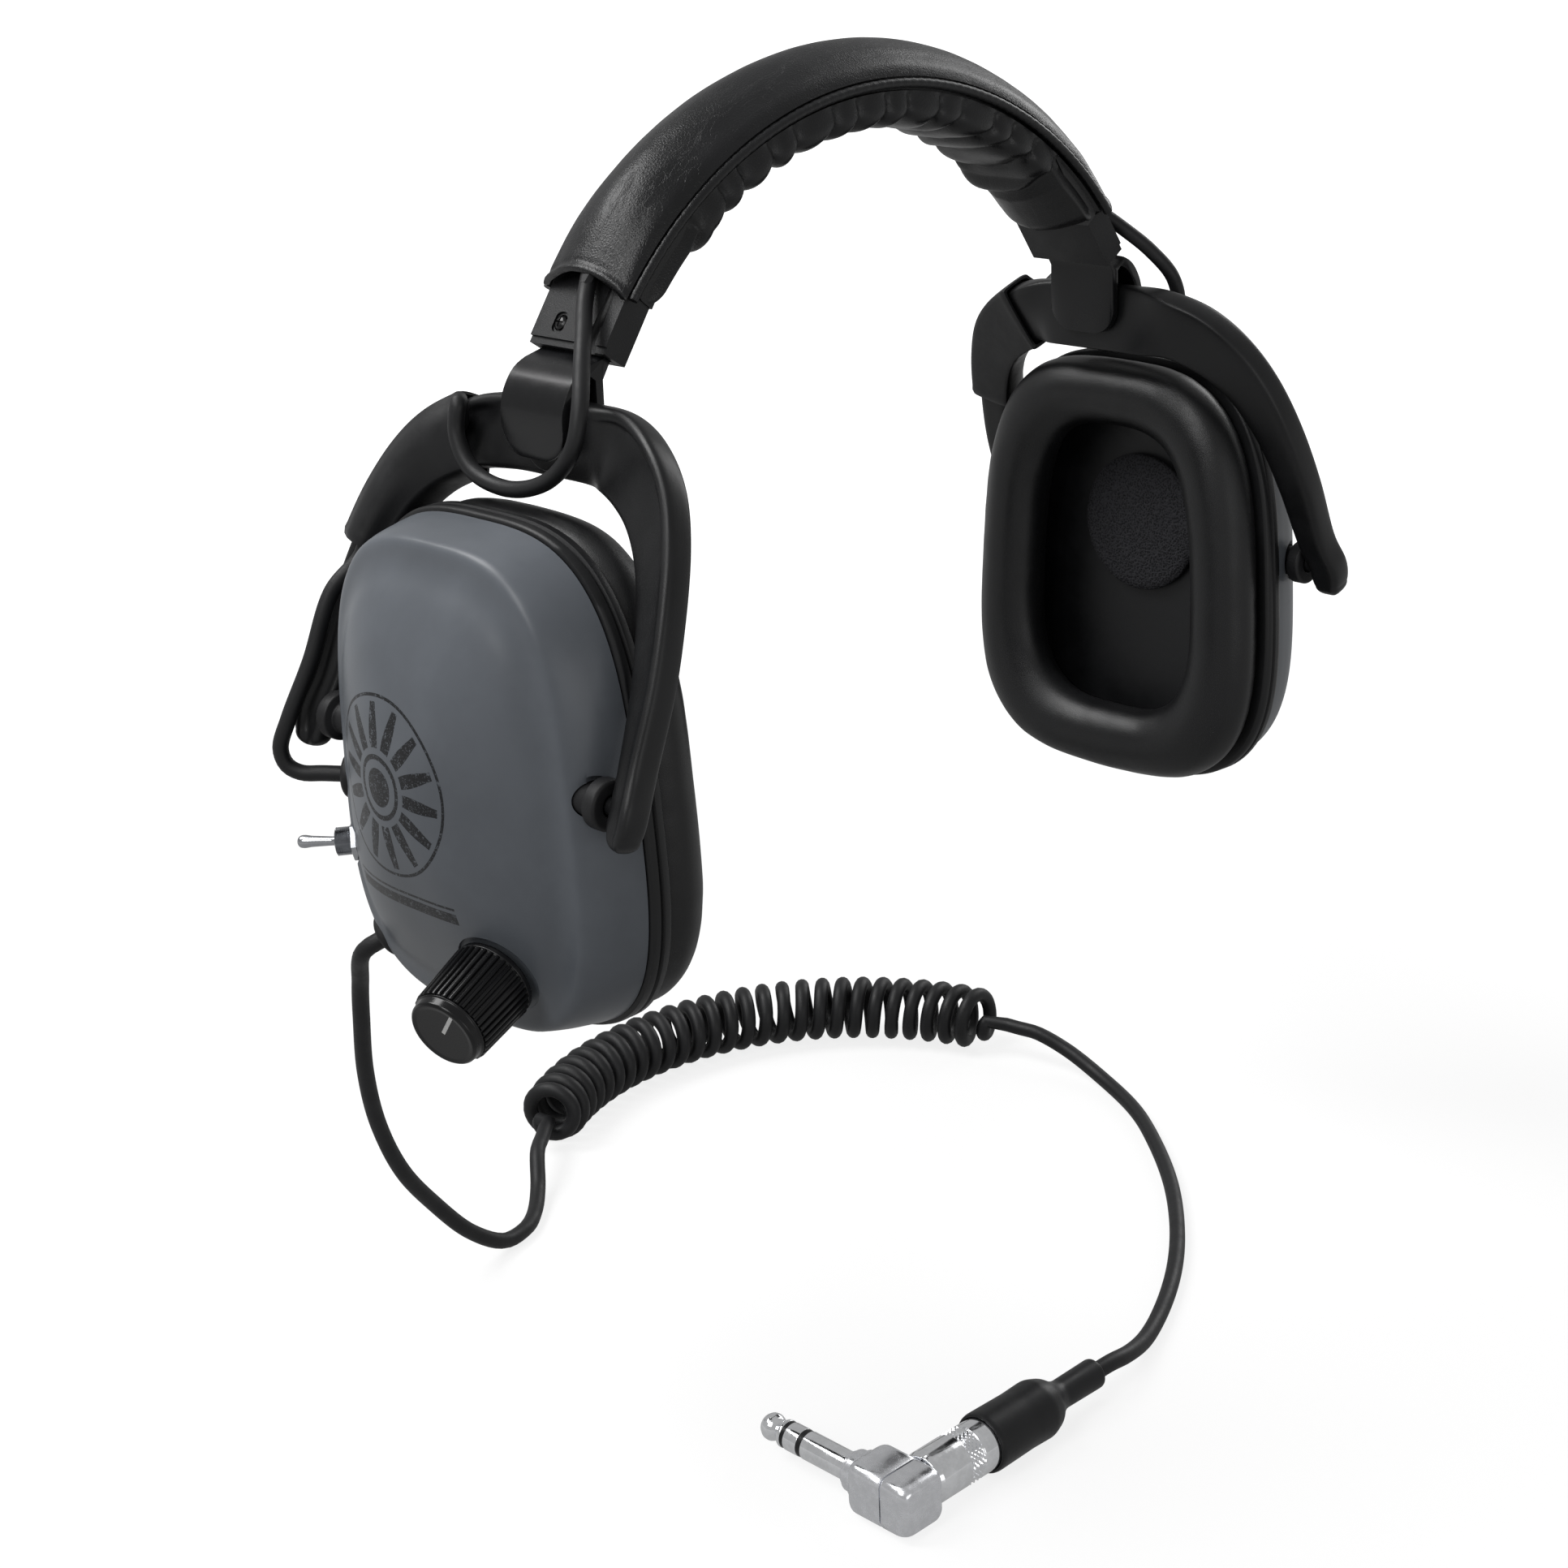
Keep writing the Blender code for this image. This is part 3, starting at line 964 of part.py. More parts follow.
def build_lead(cup):
    """The lead: a hanging drop, the coiled stretch, and the run to the plug."""
    at = fitting_matrix(CORD_ENTRY, RIGHT)
    coil = coil_points()
    exit_points = [at @ Vector((0, 0, lift)) for lift in (-0.0030, 0.0020, 0.0075)]
    start, onward = coil[0], coil[1]
    way = (onward - start).normalized()
    join = [start - (0.008 + SEAT_GAP) * way, start - SEAT_GAP * way]
    drop = smooth_route([*exit_points, *map(Vector, DROP_TO_COIL), *join], 0.0090)
    tube("cord_drop", drop, CORD_RADIUS, RUBBER, parent=cup)
    tube("cord_coil", coil, CORD_RADIUS, RUBBER, resolution=1, parent=cup)
    last = coil[-1]
    away = (last - coil[-2]).normalized()
    leave = [last + SEAT_GAP * away, last + (0.006 + SEAT_GAP) * away]
    axis_z = TABLE_Z + BOOT_RADIUS
    arrive = [Vector((BOOT_MOUTH_X + 0.0055, PLUG_Y, axis_z)), Vector((BOOT_MOUTH_X - 0.0030, PLUG_Y, axis_z))]
    lead = smooth_route([*leave, *map(Vector, LEAD_ROUTE), *arrive], 0.0095)
    tube("cord_lead", lead, CORD_RADIUS, RUBBER, parent=cup)
    gap = least_self_gap(coil, CORD_RADIUS, COIL_POINTS_PER_TURN - 2)
    print(f"coil: least gap to itself {1000 * gap:.2f} mm")


def build_plug(cup):
    """The right-angle stereo plug: boot, barrel, cast housing, cap and contacts."""
    z = TABLE_Z + BOOT_RADIUS
    along_x = Matrix.Translation((0, PLUG_Y, z)) @ Matrix.Rotation(-math.pi / 2, 4, "Y")
    neck_end = -BOOT_MOUTH_X + BOOT_NECK_LENGTH
    box_x, box_y, box_z = PLUG_BOX
    boot_end = -BOOT_END_X
    barrel_low = boot_end - 0.0060
    profile = [(BOOT_NECK_RADIUS - 0.0002, -BOOT_MOUTH_X), (BOOT_NECK_RADIUS, neck_end - 0.001), (BOOT_RADIUS - 0.0008, neck_end + 0.0035)]
    profile += [(BOOT_RADIUS, neck_end + 0.0055), (BOOT_RADIUS, boot_end - 0.0008), (BOOT_RADIUS - 0.0004, boot_end)]
    inner = BARREL_RADIUS + SEAT_GAP
    profile += [(inner, boot_end), (inner, barrel_low - SEAT_GAP), (CORD_RADIUS + SEAT_GAP, barrel_low - SEAT_GAP)]
    profile += [(CORD_RADIUS + SEAT_GAP, -BOOT_MOUTH_X)]
    boot = turned(profile, 16)
    solid("plug_boot", boot, RUBBER, closed_path=True, parent=cup, matrix=along_x)
    flank = -PLUG_AXIS_X - box_x / 2
    r = BARREL_RADIUS
    profile = [(r, barrel_low), (r, boot_end + 0.0040), (r + 0.0002, boot_end + 0.0046), (r + 0.0002, boot_end + 0.0084)]
    profile += [(r, boot_end + 0.0090), (r, flank - SEAT_GAP - 0.0040), (r - 0.0006, flank - SEAT_GAP)]
    solid("plug_barrel", turned(profile, 24), CHROME, parent=cup, matrix=along_x)

    front, rear = PLUG_Y - box_y / 2 + 0.0020, PLUG_Y + box_y / 2 + 0.0020
    edge = 0.0022
    split = front + 0.42 * box_y

    def box_ring(y, shrink=0.0):
        x0, x1 = PLUG_AXIS_X - box_x / 2 + shrink, PLUG_AXIS_X + box_x / 2 - shrink
        z0, z1 = z - box_z / 2 + shrink, z + box_z / 2 - shrink
        corners = [(x0 + edge, z0), (x1 - edge, z0), (x1, z0 + edge), (x1, z1 - edge)]
        corners += [(x1 - edge, z1), (x0 + edge, z1), (x0, z1 - edge), (x0, z0 + edge)]
        return [(x, y, height) for x, height in corners]

    cap = [box_ring(front, 0.0014), box_ring(front + 0.0008, 0.0003), box_ring(front + 0.0016), box_ring(split - SEAT_GAP / 2)]
    solid("plug_cap", cap, CHROME, parent=cup)
    body = [box_ring(split + SEAT_GAP / 2), box_ring(rear - 0.0020), box_ring(rear, 0.0016)]
    housing = solid("plug_housing", body, CHROME, parent=cup)
    along_y = Matrix.Translation((PLUG_AXIS_X, rear, z)) @ Matrix.Rotation(-math.pi / 2, 4, "X")
    collar = PLUG_COLLAR_LENGTH
    boss = turned([(PLUG_COLLAR_RADIUS, -0.002), (PLUG_COLLAR_RADIUS, collar - 0.0008), (PLUG_COLLAR_RADIUS - 0.0006, collar)], 20)
    cutter(housing, "plug_collar", boss, along_y, "UNION")
    core = PLUG_SHAFT_RADIUS * 0.55
    hole = turned([(core + SEAT_GAP, collar - 0.0020), (core + SEAT_GAP, collar + 0.002)], 16)
    cutter(housing, "plug_core_hole", hole, along_y)

    length, radius = PLUG_SHAFT_LENGTH, PLUG_SHAFT_RADIUS
    ring_low, ring_high = collar + 0.50 * length, collar + 0.70 * length
    thick = 0.0008
    contact = bored([(radius, collar + SEAT_GAP), (radius, ring_low - thick / 2)], core + SEAT_GAP, 16)
    solid("plug_sleeve", contact, CHROME, closed_path=True, parent=cup, matrix=along_y)
    contact = bored([(radius, ring_low + thick / 2 + 2 * SEAT_GAP), (radius, ring_high - thick / 2)], core + SEAT_GAP, 16)
    solid("plug_ring", contact, CHROME, closed_path=True, parent=cup, matrix=along_y)
    a, b = ring_low - thick / 2 + SEAT_GAP, ring_low + thick / 2 + SEAT_GAP
    c, d = ring_high - thick / 2 + SEAT_GAP, ring_high + thick / 2 + SEAT_GAP
    profile = [(core, collar - 0.0014), (core, a), (radius, a), (radius, b), (core, b), (core, c), (radius, c), (radius, d)]
    solid("plug_insulator", turned(profile, 16), BLACK_PLASTIC, parent=cup, matrix=along_y)
    tip = d + SEAT_GAP
    end = collar + length
    profile = [(radius, tip), (radius, tip + 0.0010), (0.0021, tip + 0.0022), (0.0021, end - 0.0046), (0.0030, end - 0.0034)]
    profile += [(0.0030, end - 0.0020), (0.0020, end - 0.0006), (0.0008, end)]
    solid("plug_tip", turned(profile, 16), CHROME, parent=cup, matrix=along_y)


# ---- assembly --------------------------------------------------------------------------------


def build_side(side, root):
    """One side: housing, strap, yoke, cup and cables; the right one has the controls."""
    name = SIDE_NAMES[side]
    build_housing(side, root)
    mover = build_strap(side, root)
    swing = build_yoke(side, mover)
    cup = pivot(f"cup_{name}", (side * PIVOT_U, 0, 0), swing)
    build_dome(side, cup)
    build_rim_and_cushion(side, cup)
    build_bushes(side, cup)
    build_grommet(f"cable_grommet_{name}", CABLE_ENTRY, side, cup, CABLE_RADIUS)
    build_cables(side, root, mover, swing)
    if side == RIGHT:
        build_grommet("cord_grommet", CORD_ENTRY, side, cup, CORD_RADIUS)
        build_switch(cup)
        build_volume(cup)
        build_lead(cup)
        build_plug(cup)


def main():
    """Builds the whole object."""
    root = build_headband()
    for side in (RIGHT, LEFT):
        build_side(side, root)


main()
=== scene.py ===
"""Dresses the packed headphones: leather band, moulded cups and yokes, cushions, cables and plug.

Metres, in the frame of the packed model: +Z up, +X to the wearer's left, -Y to the wearer's front.
Side pieces are worked out in (u, y, z), where u points outboard, and are mirrored for each side.
"""

import json
import math

import bpy
import numpy as np
from mathutils import Matrix, Vector, noise
from mathutils.bvhtree import BVHTree

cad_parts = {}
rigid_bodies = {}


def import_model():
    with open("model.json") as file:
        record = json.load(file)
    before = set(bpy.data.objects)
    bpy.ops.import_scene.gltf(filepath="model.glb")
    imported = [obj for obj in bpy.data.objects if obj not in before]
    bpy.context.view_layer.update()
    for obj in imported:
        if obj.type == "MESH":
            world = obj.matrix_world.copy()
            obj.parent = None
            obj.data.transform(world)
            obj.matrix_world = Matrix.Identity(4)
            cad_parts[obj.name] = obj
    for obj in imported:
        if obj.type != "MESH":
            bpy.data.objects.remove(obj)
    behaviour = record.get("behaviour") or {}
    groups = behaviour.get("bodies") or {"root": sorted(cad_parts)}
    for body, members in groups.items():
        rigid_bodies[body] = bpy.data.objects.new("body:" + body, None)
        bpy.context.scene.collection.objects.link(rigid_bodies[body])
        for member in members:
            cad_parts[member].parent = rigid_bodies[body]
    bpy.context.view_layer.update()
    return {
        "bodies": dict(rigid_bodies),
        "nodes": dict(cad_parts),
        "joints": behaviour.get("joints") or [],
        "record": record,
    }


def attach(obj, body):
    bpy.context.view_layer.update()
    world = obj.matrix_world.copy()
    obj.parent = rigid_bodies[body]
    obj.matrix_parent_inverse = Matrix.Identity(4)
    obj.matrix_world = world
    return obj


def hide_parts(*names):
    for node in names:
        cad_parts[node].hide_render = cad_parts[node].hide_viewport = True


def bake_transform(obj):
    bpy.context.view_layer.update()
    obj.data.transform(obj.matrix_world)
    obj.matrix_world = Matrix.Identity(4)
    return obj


bl_info = {
    "name": "Wired Headphones",
    "version": (1, 0, 0),
    "blender": (4, 5, 0),
    "location": "View3D > Sidebar > Headphones",
    "description": "Builds the looks of a pair of wired over-ear headphones around their packed solids",
    "category": "Add Mesh",
}

for name in ("Cube", "Light", "Camera"):
    if name in bpy.data.objects:
        bpy.data.objects.remove(bpy.data.objects[name], do_unlink=True)

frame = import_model()
NODES = frame["nodes"]

# ---- sizes shared with the solids ------------------------------------------------------------

SEAT_GAP = 0.0003
RUN_GAP = 0.0004

PIVOT_U = 0.117
CUP_LEAN = math.radians(2.0)
SEAM_INBOARD = 0.009
CUP_HALF_WIDTH = 0.0433
CUP_HALF_HEIGHT = 0.0543
CUP_CENTRE_Z = -0.0048
CUP_TAPER = 0.07
CUP_SQUARENESS = 3.2
CUP_SIDES = 32
RIDGE_DEPTH = 0.012
RIDGE_INSET_Y = 0.0050
RIDGE_INSET_Z = 0.0024
CROWN_HEIGHT = 0.016
DOME_WALL = 0.0024
RIM_THICKNESS = 0.0056
RIM_PROUD = 0.0010
RIM_LAND = 0.0075
RIM_GROOVE = 0.0007
CUSHION_THICKNESS = 0.0135
CUSHION_BAND = 0.0170
CUSHION_DRAW_IN = 0.0022
SPEAKER_RADIUS = 0.0180
SPEAKER_RISE = 0.0100
FOAM_THICKNESS = 0.0030
WALL_SHAPE = ((0.0, 0.0), (0.34, 0.13), (0.62, 0.29), (0.80, 0.50), (0.92, 0.76))
CROWN_SCALES = (1.0, 0.93, 0.80, 0.62, 0.40, 0.16)
SIDE_FLAT_U = 0.0012
SEAT_SINK = 0.0011

PIN_U = 0.0878
PIN_Z = 0.0630
YOKE_WEB = 0.0050
YOKE_BEAD = 0.0020
YOKE_BEAD_WIDTH = 0.0036
YOKE_EDGE = 0.0008
YOKE_BOSS = 0.0014
BOSS_RADIUS = 0.0066
PIN_RADIUS = 0.0024
FORK_Y = 0.0512
FORK_TIP_WIDTH = 0.0084
FORK_TIP_DROP = 0.0070
STUD_RADIUS = 0.0020
BUSH_RADIUS = 0.0054
SLEEVE_WALL = 0.0011

ARC_CENTRE_Z = 0.0306
PIPING_RADIUS_OF_ARC = 0.0980
COVER_HALF_ANGLE = math.radians(51.6)
COVER_HALF_WIDTH = 0.0134
COVER_CROWN = 0.0094
COVER_WALL = 0.0016
PIPING_RADIUS = 0.0012
SPRING_RADIUS = 0.1001
SPRING_THICKNESS = 0.0008
SPRING_HALF_ANGLE = math.radians(45.0)
PAD_DEPTH = 0.0085
PAD_HALF_WIDTH = 0.0132
LINK_CABLE_RADIUS = 0.0013

MOUTH_RADIUS = 0.0951
MOUTH_ANGLE = math.radians(59.0)
SLIDE_ANGLE = math.radians(34.0)
HOUSING_LENGTH = 0.0250
HOUSING_HALF_WIDTH = 0.0120
HOUSING_THICKNESS = 0.0070
STRAP_THICKNESS = 0.0020
STRAP_HALF_WIDTH = 0.0100
STRAP_TAIL = 0.0300
HOOD_THICKNESS = 0.0024
HOOD_DROP = 0.0035
HOOD_CORNER = 0.0066
RIDGE_CREST = 0.0009
SCREW_RADIUS = 0.0016
SCREW_SIDE = 0.0046
SCREW_UP = 0.0052
SLOT_HALF_LENGTH = 0.0011
SLOT_HALF_WIDTH = 0.00018
SLOT_DEPTH = 0.0003
STEP_DEPTH = 0.0006
STEP_HEIGHT = 0.0015
FLUTE_SIDE = 0.0072
FLUTE_RADIUS = 0.0019
FLUTE_END_RADIUS = 0.0004

GROMMET_RADIUS = 0.0052
GROMMET_NECK = 0.0036
GROMMET_FLANGE = 0.0026
CABLE_RADIUS = 0.0018
CORD_RADIUS = 0.0020
CABLE_ENTRY = (0.0005, 0.0415, -0.0130)
SWITCH_PLACE = (0.0028, 0.0400, -0.0275)
CORD_ENTRY = (0.0010, 0.0345, -0.0500)
KNOB_PLACE = (0.0095, -0.0165, -0.0410)
KNOB_TURN = math.radians(-12.0)
KNOB_DROOP = math.radians(17.0)
KNOB_RADIUS = 0.0095
KNOB_HEIGHT = 0.0190
KNOB_REST = math.radians(-37.0)
BUSHING_RADIUS = 0.0032
NUT_ACROSS_FLATS = 0.0080
NUT_THICKNESS = 0.0020
LEVER_LENGTH = 0.0115
LEVER_TILT = math.radians(12.5)

TABLE_Z = -0.160
COIL_RADIUS = 0.0090
COIL_ARC_CENTRE = (0.025, 0.035)
COIL_ARC_RADIUS = 0.0806
COIL_START = math.radians(127.0)
COIL_END = math.radians(12.0)
COIL_TURNS = 28
PLUG_Y = -0.0885
PLUG_AXIS_X = -0.0840
BOOT_RADIUS = 0.0069
BOOT_NECK_RADIUS = 0.0035
BOOT_MOUTH_X = -0.0205
BOOT_NECK_LENGTH = 0.0140
BOOT_END_X = -0.0590
BARREL_RADIUS = 0.0060
PLUG_SHAFT_RADIUS = 0.003175
PLUG_SHAFT_LENGTH = 0.0265
PLUG_BOX = (0.0125, 0.0180, 0.0122)
PLUG_COLLAR_RADIUS = 0.0047
PLUG_COLLAR_LENGTH = 0.0035
PRINT_RAYS = 14.0
FLOOR_WHITE = 1.38
FLOOR_SEEN = 0.55  # the floor's albedo as the camera sees it
FLOOR_BOUNCE = 0.14  # its albedo as it lights the object
FLOOR_MIRRORED = 0.40  # the share of its glow in reflections
FLOOR_REACH = (0.25, 1.00)  # the glow rises between these distances
FLOOR_SHARE = (0.60, 0.97)  # from the first share to the second
WORLD_MIRRORED = 0.23  # the world's strength in reflections, above the fill light
CAMERA_AZIMUTH = math.radians(-45.4)
CAMERA_ELEVATION = math.radians(16.5)
CAMERA_ROLL = math.radians(-1.6)
CAMERA_DISTANCE = 0.6667
SENSOR_WIDTH = 36.0  # millimetres
PHOTO_PIXELS = 1932
FOCAL_PIXELS = 3473.3
AXIS_PIXEL_X = 1057.0
AXIS_PIXEL_Y = 779.6

RIGHT, LEFT = -1, 1
SIDE_NAMES = {RIGHT: "right", LEFT: "left"}
CABLE_HEM_Y = -0.0030
DOWN = Vector((math.sin(SLIDE_ANGLE), 0, -math.cos(SLIDE_ANGLE)))
OUT = Vector((math.cos(SLIDE_ANGLE), 0, math.sin(SLIDE_ANGLE)))
FACE_ANGLE = math.radians(90.0) - SLIDE_ANGLE
COVER_EDGE_RADIUS = PIPING_RADIUS_OF_ARC + PIPING_RADIUS + SEAT_GAP
PAD_TOP_RADIUS = PIPING_RADIUS_OF_ARC - PIPING_RADIUS - SEAT_GAP
TANG_RADIUS = SPRING_RADIUS - SPRING_THICKNESS / 2 - SEAT_GAP
COVER_CROWN_RADIUS = PIPING_RADIUS_OF_ARC + COVER_CROWN
LINK_CABLE_ARC = SPRING_RADIUS + SPRING_THICKNESS / 2 + LINK_CABLE_RADIUS + 0.0007

# ---- materials -------------------------------------------------------------------------------


class Reading:
    """A number that varies over a surface; sums and products of readings add their own nodes."""

    def __init__(self, recipe, socket):
        self.recipe = recipe
        self.socket = socket

    def combine(self, operation, first, second=0.0):
        return self.recipe.node("ShaderNodeMath", {"operation": operation}, {0: first, 1: second})

    def __add__(self, other):
        return self.combine("ADD", self, other)

    def __radd__(self, other):
        return self.combine("ADD", other, self)

    def __sub__(self, other):
        return self.combine("SUBTRACT", self, other)

    def __rsub__(self, other):
        return self.combine("SUBTRACT", other, self)

    def __mul__(self, other):
        return self.combine("MULTIPLY", self, other)

    def __rmul__(self, other):
        return self.combine("MULTIPLY", other, self)

    def __truediv__(self, other):
        return self.combine("DIVIDE", self, other)

    def __pow__(self, other):
        return self.combine("POWER", self, other)

    def greater(self, other):
        return self.combine("GREATER_THAN", self, other)

    def between(self, low, high):
        """One where the reading lies between two numbers, else zero."""
        return self.greater(low) * (1.0 - self.greater(high))

    def span(self, low, high, to_low=0.0, to_high=1.0):
        """The reading's range low to high, taken smoothly to another range."""
        settings = {"interpolation_type": "SMOOTHSTEP"}
        return self.recipe.node(
            "ShaderNodeMapRange", settings, {0: self, 1: low, 2: high, 3: to_low, 4: to_high}
        )


class Recipe:
    """A material and the nodes that make its finish."""

    def __init__(self, name, **constants):
        self.material = bpy.data.materials.new(name)
        self.material.use_nodes = True
        self.tree = self.material.node_tree
        self.shader = self.tree.nodes["Principled BSDF"]
        for key, value in constants.items():
            self.shader.inputs[key.replace("_", " ")].default_value = value

    def node(self, kind, settings=None, inputs=None, output=0):
        """Any node: its settings first, then its sockets' values or links."""
        made = self.tree.nodes.new(kind)
        for key, value in (settings or {}).items():
            if key == "stops":
                ramp = made.color_ramp
                while len(ramp.elements) < len(value):
                    ramp.elements.new(0.5)
                for element, (place, colour) in zip(ramp.elements, value):
                    element.position = place
                    element.color = (*colour, 1.0)
            else:
                setattr(made, key, value)
        for key, value in (inputs or {}).items():
            if isinstance(value, Reading):
                self.tree.links.new(value.socket, made.inputs[key])
            else:
                made.inputs[key].default_value = value
        return Reading(self, made.outputs[output])

    def feed(self, socket, reading):
        self.tree.links.new(reading.socket, self.shader.inputs[socket])
        return self

    def place(self, scale=(1, 1, 1), turn=(0, 0, 0), shift=(0, 0, 0)):
        """Object coordinates, shifted, turned and stretched."""
        coordinates = self.node("ShaderNodeTexCoord", output="Object")
        return self.node("ShaderNodeMapping", None, {0: coordinates, 1: shift, 2: turn, 3: scale})

    def noise(self, scale, detail=3.0, roughness=0.55, where=None, distortion=0.0):
        sockets = {"Vector": where or self.place(), "Scale": scale, "Detail": detail, "Roughness": roughness}
        return self.node("ShaderNodeTexNoise", None, {**sockets, "Distortion": distortion})

    def cells(self, scale, feature="F1", where=None, randomness=1.0):
        settings = {"feature": feature}
        sockets = {"Vector": where or self.place(), "Scale": scale, "Randomness": randomness}
        return self.node("ShaderNodeTexVoronoi", settings, sockets, "Distance")

    def mix(self, share, first, second):
        """A blend of two colours by a share."""
        settings = {"data_type": "RGBA"}
        sockets = {0: share, 6: first, 7: second}
        return self.node("ShaderNodeMix", settings, sockets, 2)

    def relief(self, height, depth, strength=1.0):
        """The surface raised by a reading from 0 to 1, times a depth in metres."""
        bump = self.node("ShaderNodeBump", None, {"Strength": strength, "Distance": depth, "Height": height})
        return self.feed("Normal", bump)


def shade(colour, factor):
    return (*[min(1.0, factor * channel) for channel in colour[:3]], 1.0)


def painted_dome(name, colour, motif):
    """Satin paint on a moulded shell: faint orange peel, rub marks and, on one cup, a plain ray print."""
    recipe = Recipe(name, Coat_Roughness=0.32, Specular_IOR_Level=0.30)
    cloud = recipe.noise(38.0, 4.0, 0.6)
    fleck = recipe.noise(2600.0, 2.0, 0.5)
    rubs = recipe.noise(90.0, 6.0, 0.72, recipe.place(scale=(1.0, 1.0, 5.0), turn=(0.5, 0.2, 0.3)))
    base = recipe.mix(cloud.span(0.35, 0.70), shade(colour, 0.93), shade(colour, 1.06))
    base = recipe.mix(rubs.span(0.66, 0.78, 0.0, 0.35), base, shade(colour, 1.35))
    bare = 1.0
    if motif:
        marks = ray_print(recipe)
        bare = 1.0 - marks
        base = recipe.mix(marks * 0.97, base, (0.0035, 0.0035, 0.0045, 1.0))
    recipe.feed("Base Color", base)
    recipe.feed("Roughness", cloud.span(0.3, 0.75, 0.33, 0.43) + rubs.span(0.6, 0.8, 0.0, 0.08))
    recipe.feed("Coat Weight", cloud.span(0.2, 0.8, 0.10, 0.22) * bare)
    recipe.relief(fleck * 0.6 + recipe.noise(700.0, 2.0) * 0.4, 0.000012)
    return recipe.material


def ray_print(recipe):
    """A worn print on the right dome: a ring of tapered rays over two plain bars."""
    spot = recipe.node("ShaderNodeSeparateXYZ", None, {0: recipe.place(shift=(0.0, -0.0060, 0.0030))}, "Y")
    rise = Reading(recipe, spot.socket.node.outputs["Z"])
    across = spot
    reach = (across * across + rise * rise) ** 0.5
    ray_from, ray_to = 0.0085, 0.0180
    hub, inner_ring, outer_ring = 0.0042, (0.0060, 0.0071), (0.0190, 0.0197)
    thick_bar, thin_bar, bar_half = (-0.0272, -0.0246), (-0.0238, -0.0232), 0.0180
    turn = recipe.node("ShaderNodeMath", {"operation": "ARCTAN2"}, {0: rise, 1: across})
    wave = recipe.node("ShaderNodeMath", {"operation": "SINE"}, {0: turn * PRINT_RAYS})
    taper = reach.span(ray_from, ray_to + 0.0005, 0.55, -0.75)
    rays = wave.greater(taper * -1.0) * reach.between(ray_from, ray_to)
    rings = reach.between(*inner_ring) + reach.between(*outer_ring) + (1.0 - reach.greater(hub))
    bars = rise.between(*thick_bar) + rise.between(*thin_bar)
    marks = rays + rings + bars * across.between(-bar_half, bar_half)
    worn = recipe.noise(900.0, 5.0, 0.7).span(0.34, 0.44) * recipe.noise(3000.0, 2.0, 0.6).span(0.30, 0.42)
    side = recipe.node("ShaderNodeSeparateXYZ", None, {0: recipe.place()}, "X")
    kept = recipe.node("ShaderNodeMath", {"operation": "MINIMUM"}, {0: marks, 1: 1.0})
    return kept * worn * (1.0 - side.greater(-0.05))


def moulded_black(name, colour, roughness, grain, scuffed):
    """Black plastic with a fine mould grain, faint scuffs and worn shine."""
    recipe = Recipe(name, Specular_IOR_Level=0.34)
    fine = recipe.noise(3400.0, 2.0, 0.6)
    patch = recipe.noise(60.0, 4.0, 0.6)
    scratch = recipe.noise(260.0, 7.0, 0.75, recipe.place(scale=(0.25, 1.0, 2.2), turn=(0.9, 0.4, 0.2)))
    base = recipe.mix(patch.span(0.35, 0.70), shade(colour, 0.8), shade(colour, 1.25))
    base = recipe.mix(scratch.span(0.66, 0.80, 0.0, scuffed), base, (0.09, 0.092, 0.10, 1.0))
    recipe.feed("Base Color", base)
    recipe.feed("Roughness", patch.span(0.3, 0.7, roughness - 0.06, roughness + 0.06) + fine * 0.05)
    recipe.relief(fine, grain)
    return recipe.material


def leather(name, colour, wrinkle, grain):
    """Soft black leather: pebbled grain, long soft creases and rubbed high spots."""
    recipe = Recipe(name, Specular_IOR_Level=0.36)
    warp = recipe.place()
    pebbles = recipe.cells(1500.0, "F1", warp)
    pores = recipe.cells(1500.0, "DISTANCE_TO_EDGE", warp)
    creases = recipe.noise(95.0, 4.0, 0.62, recipe.place(scale=(1.0, 3.4, 1.0)), 1.4)
    lines = recipe.node("ShaderNodeMath", {"operation": "ABSOLUTE"}, {0: creases - 0.5})
    fold = lines.span(0.0, 0.022)
    patch = recipe.noise(45.0, 3.0, 0.5)
    base = recipe.mix(patch.span(0.3, 0.7), shade(colour, 0.8), shade(colour, 1.3))
    # painted shade: the leather is painted 10% darker along each crease line
    base = recipe.mix(fold, shade(colour, 0.9), base)
    recipe.feed("Base Color", base)
    recipe.feed("Roughness", patch.span(0.3, 0.7, 0.27, 0.37) + pebbles * 0.06)
    height = pores.span(0.0, 0.4) * grain * 0.45 + fold * wrinkle * 0.22 + patch * 0.9
    recipe.relief(height, 0.00011)
    return recipe.material


def vinyl(name, colour):
    """The cushions' smooth skin, with faint stretch lines."""
    recipe = Recipe(name, Specular_IOR_Level=0.40)
    stretch = recipe.noise(85.0, 4.0, 0.6, recipe.place(scale=(2.5, 1.0, 1.0)))
    grain = recipe.cells(2600.0, "DISTANCE_TO_EDGE")
    patch = recipe.noise(30.0, 3.0, 0.5)
    recipe.feed("Base Color", recipe.mix(patch.span(0.3, 0.7), shade(colour, 0.85), shade(colour, 1.25)))
    recipe.feed("Roughness", patch.span(0.3, 0.7, 0.34, 0.46))
    recipe.relief(stretch * 0.8 + grain.span(0.0, 0.3) * 0.15, 0.00007)
    return recipe.material


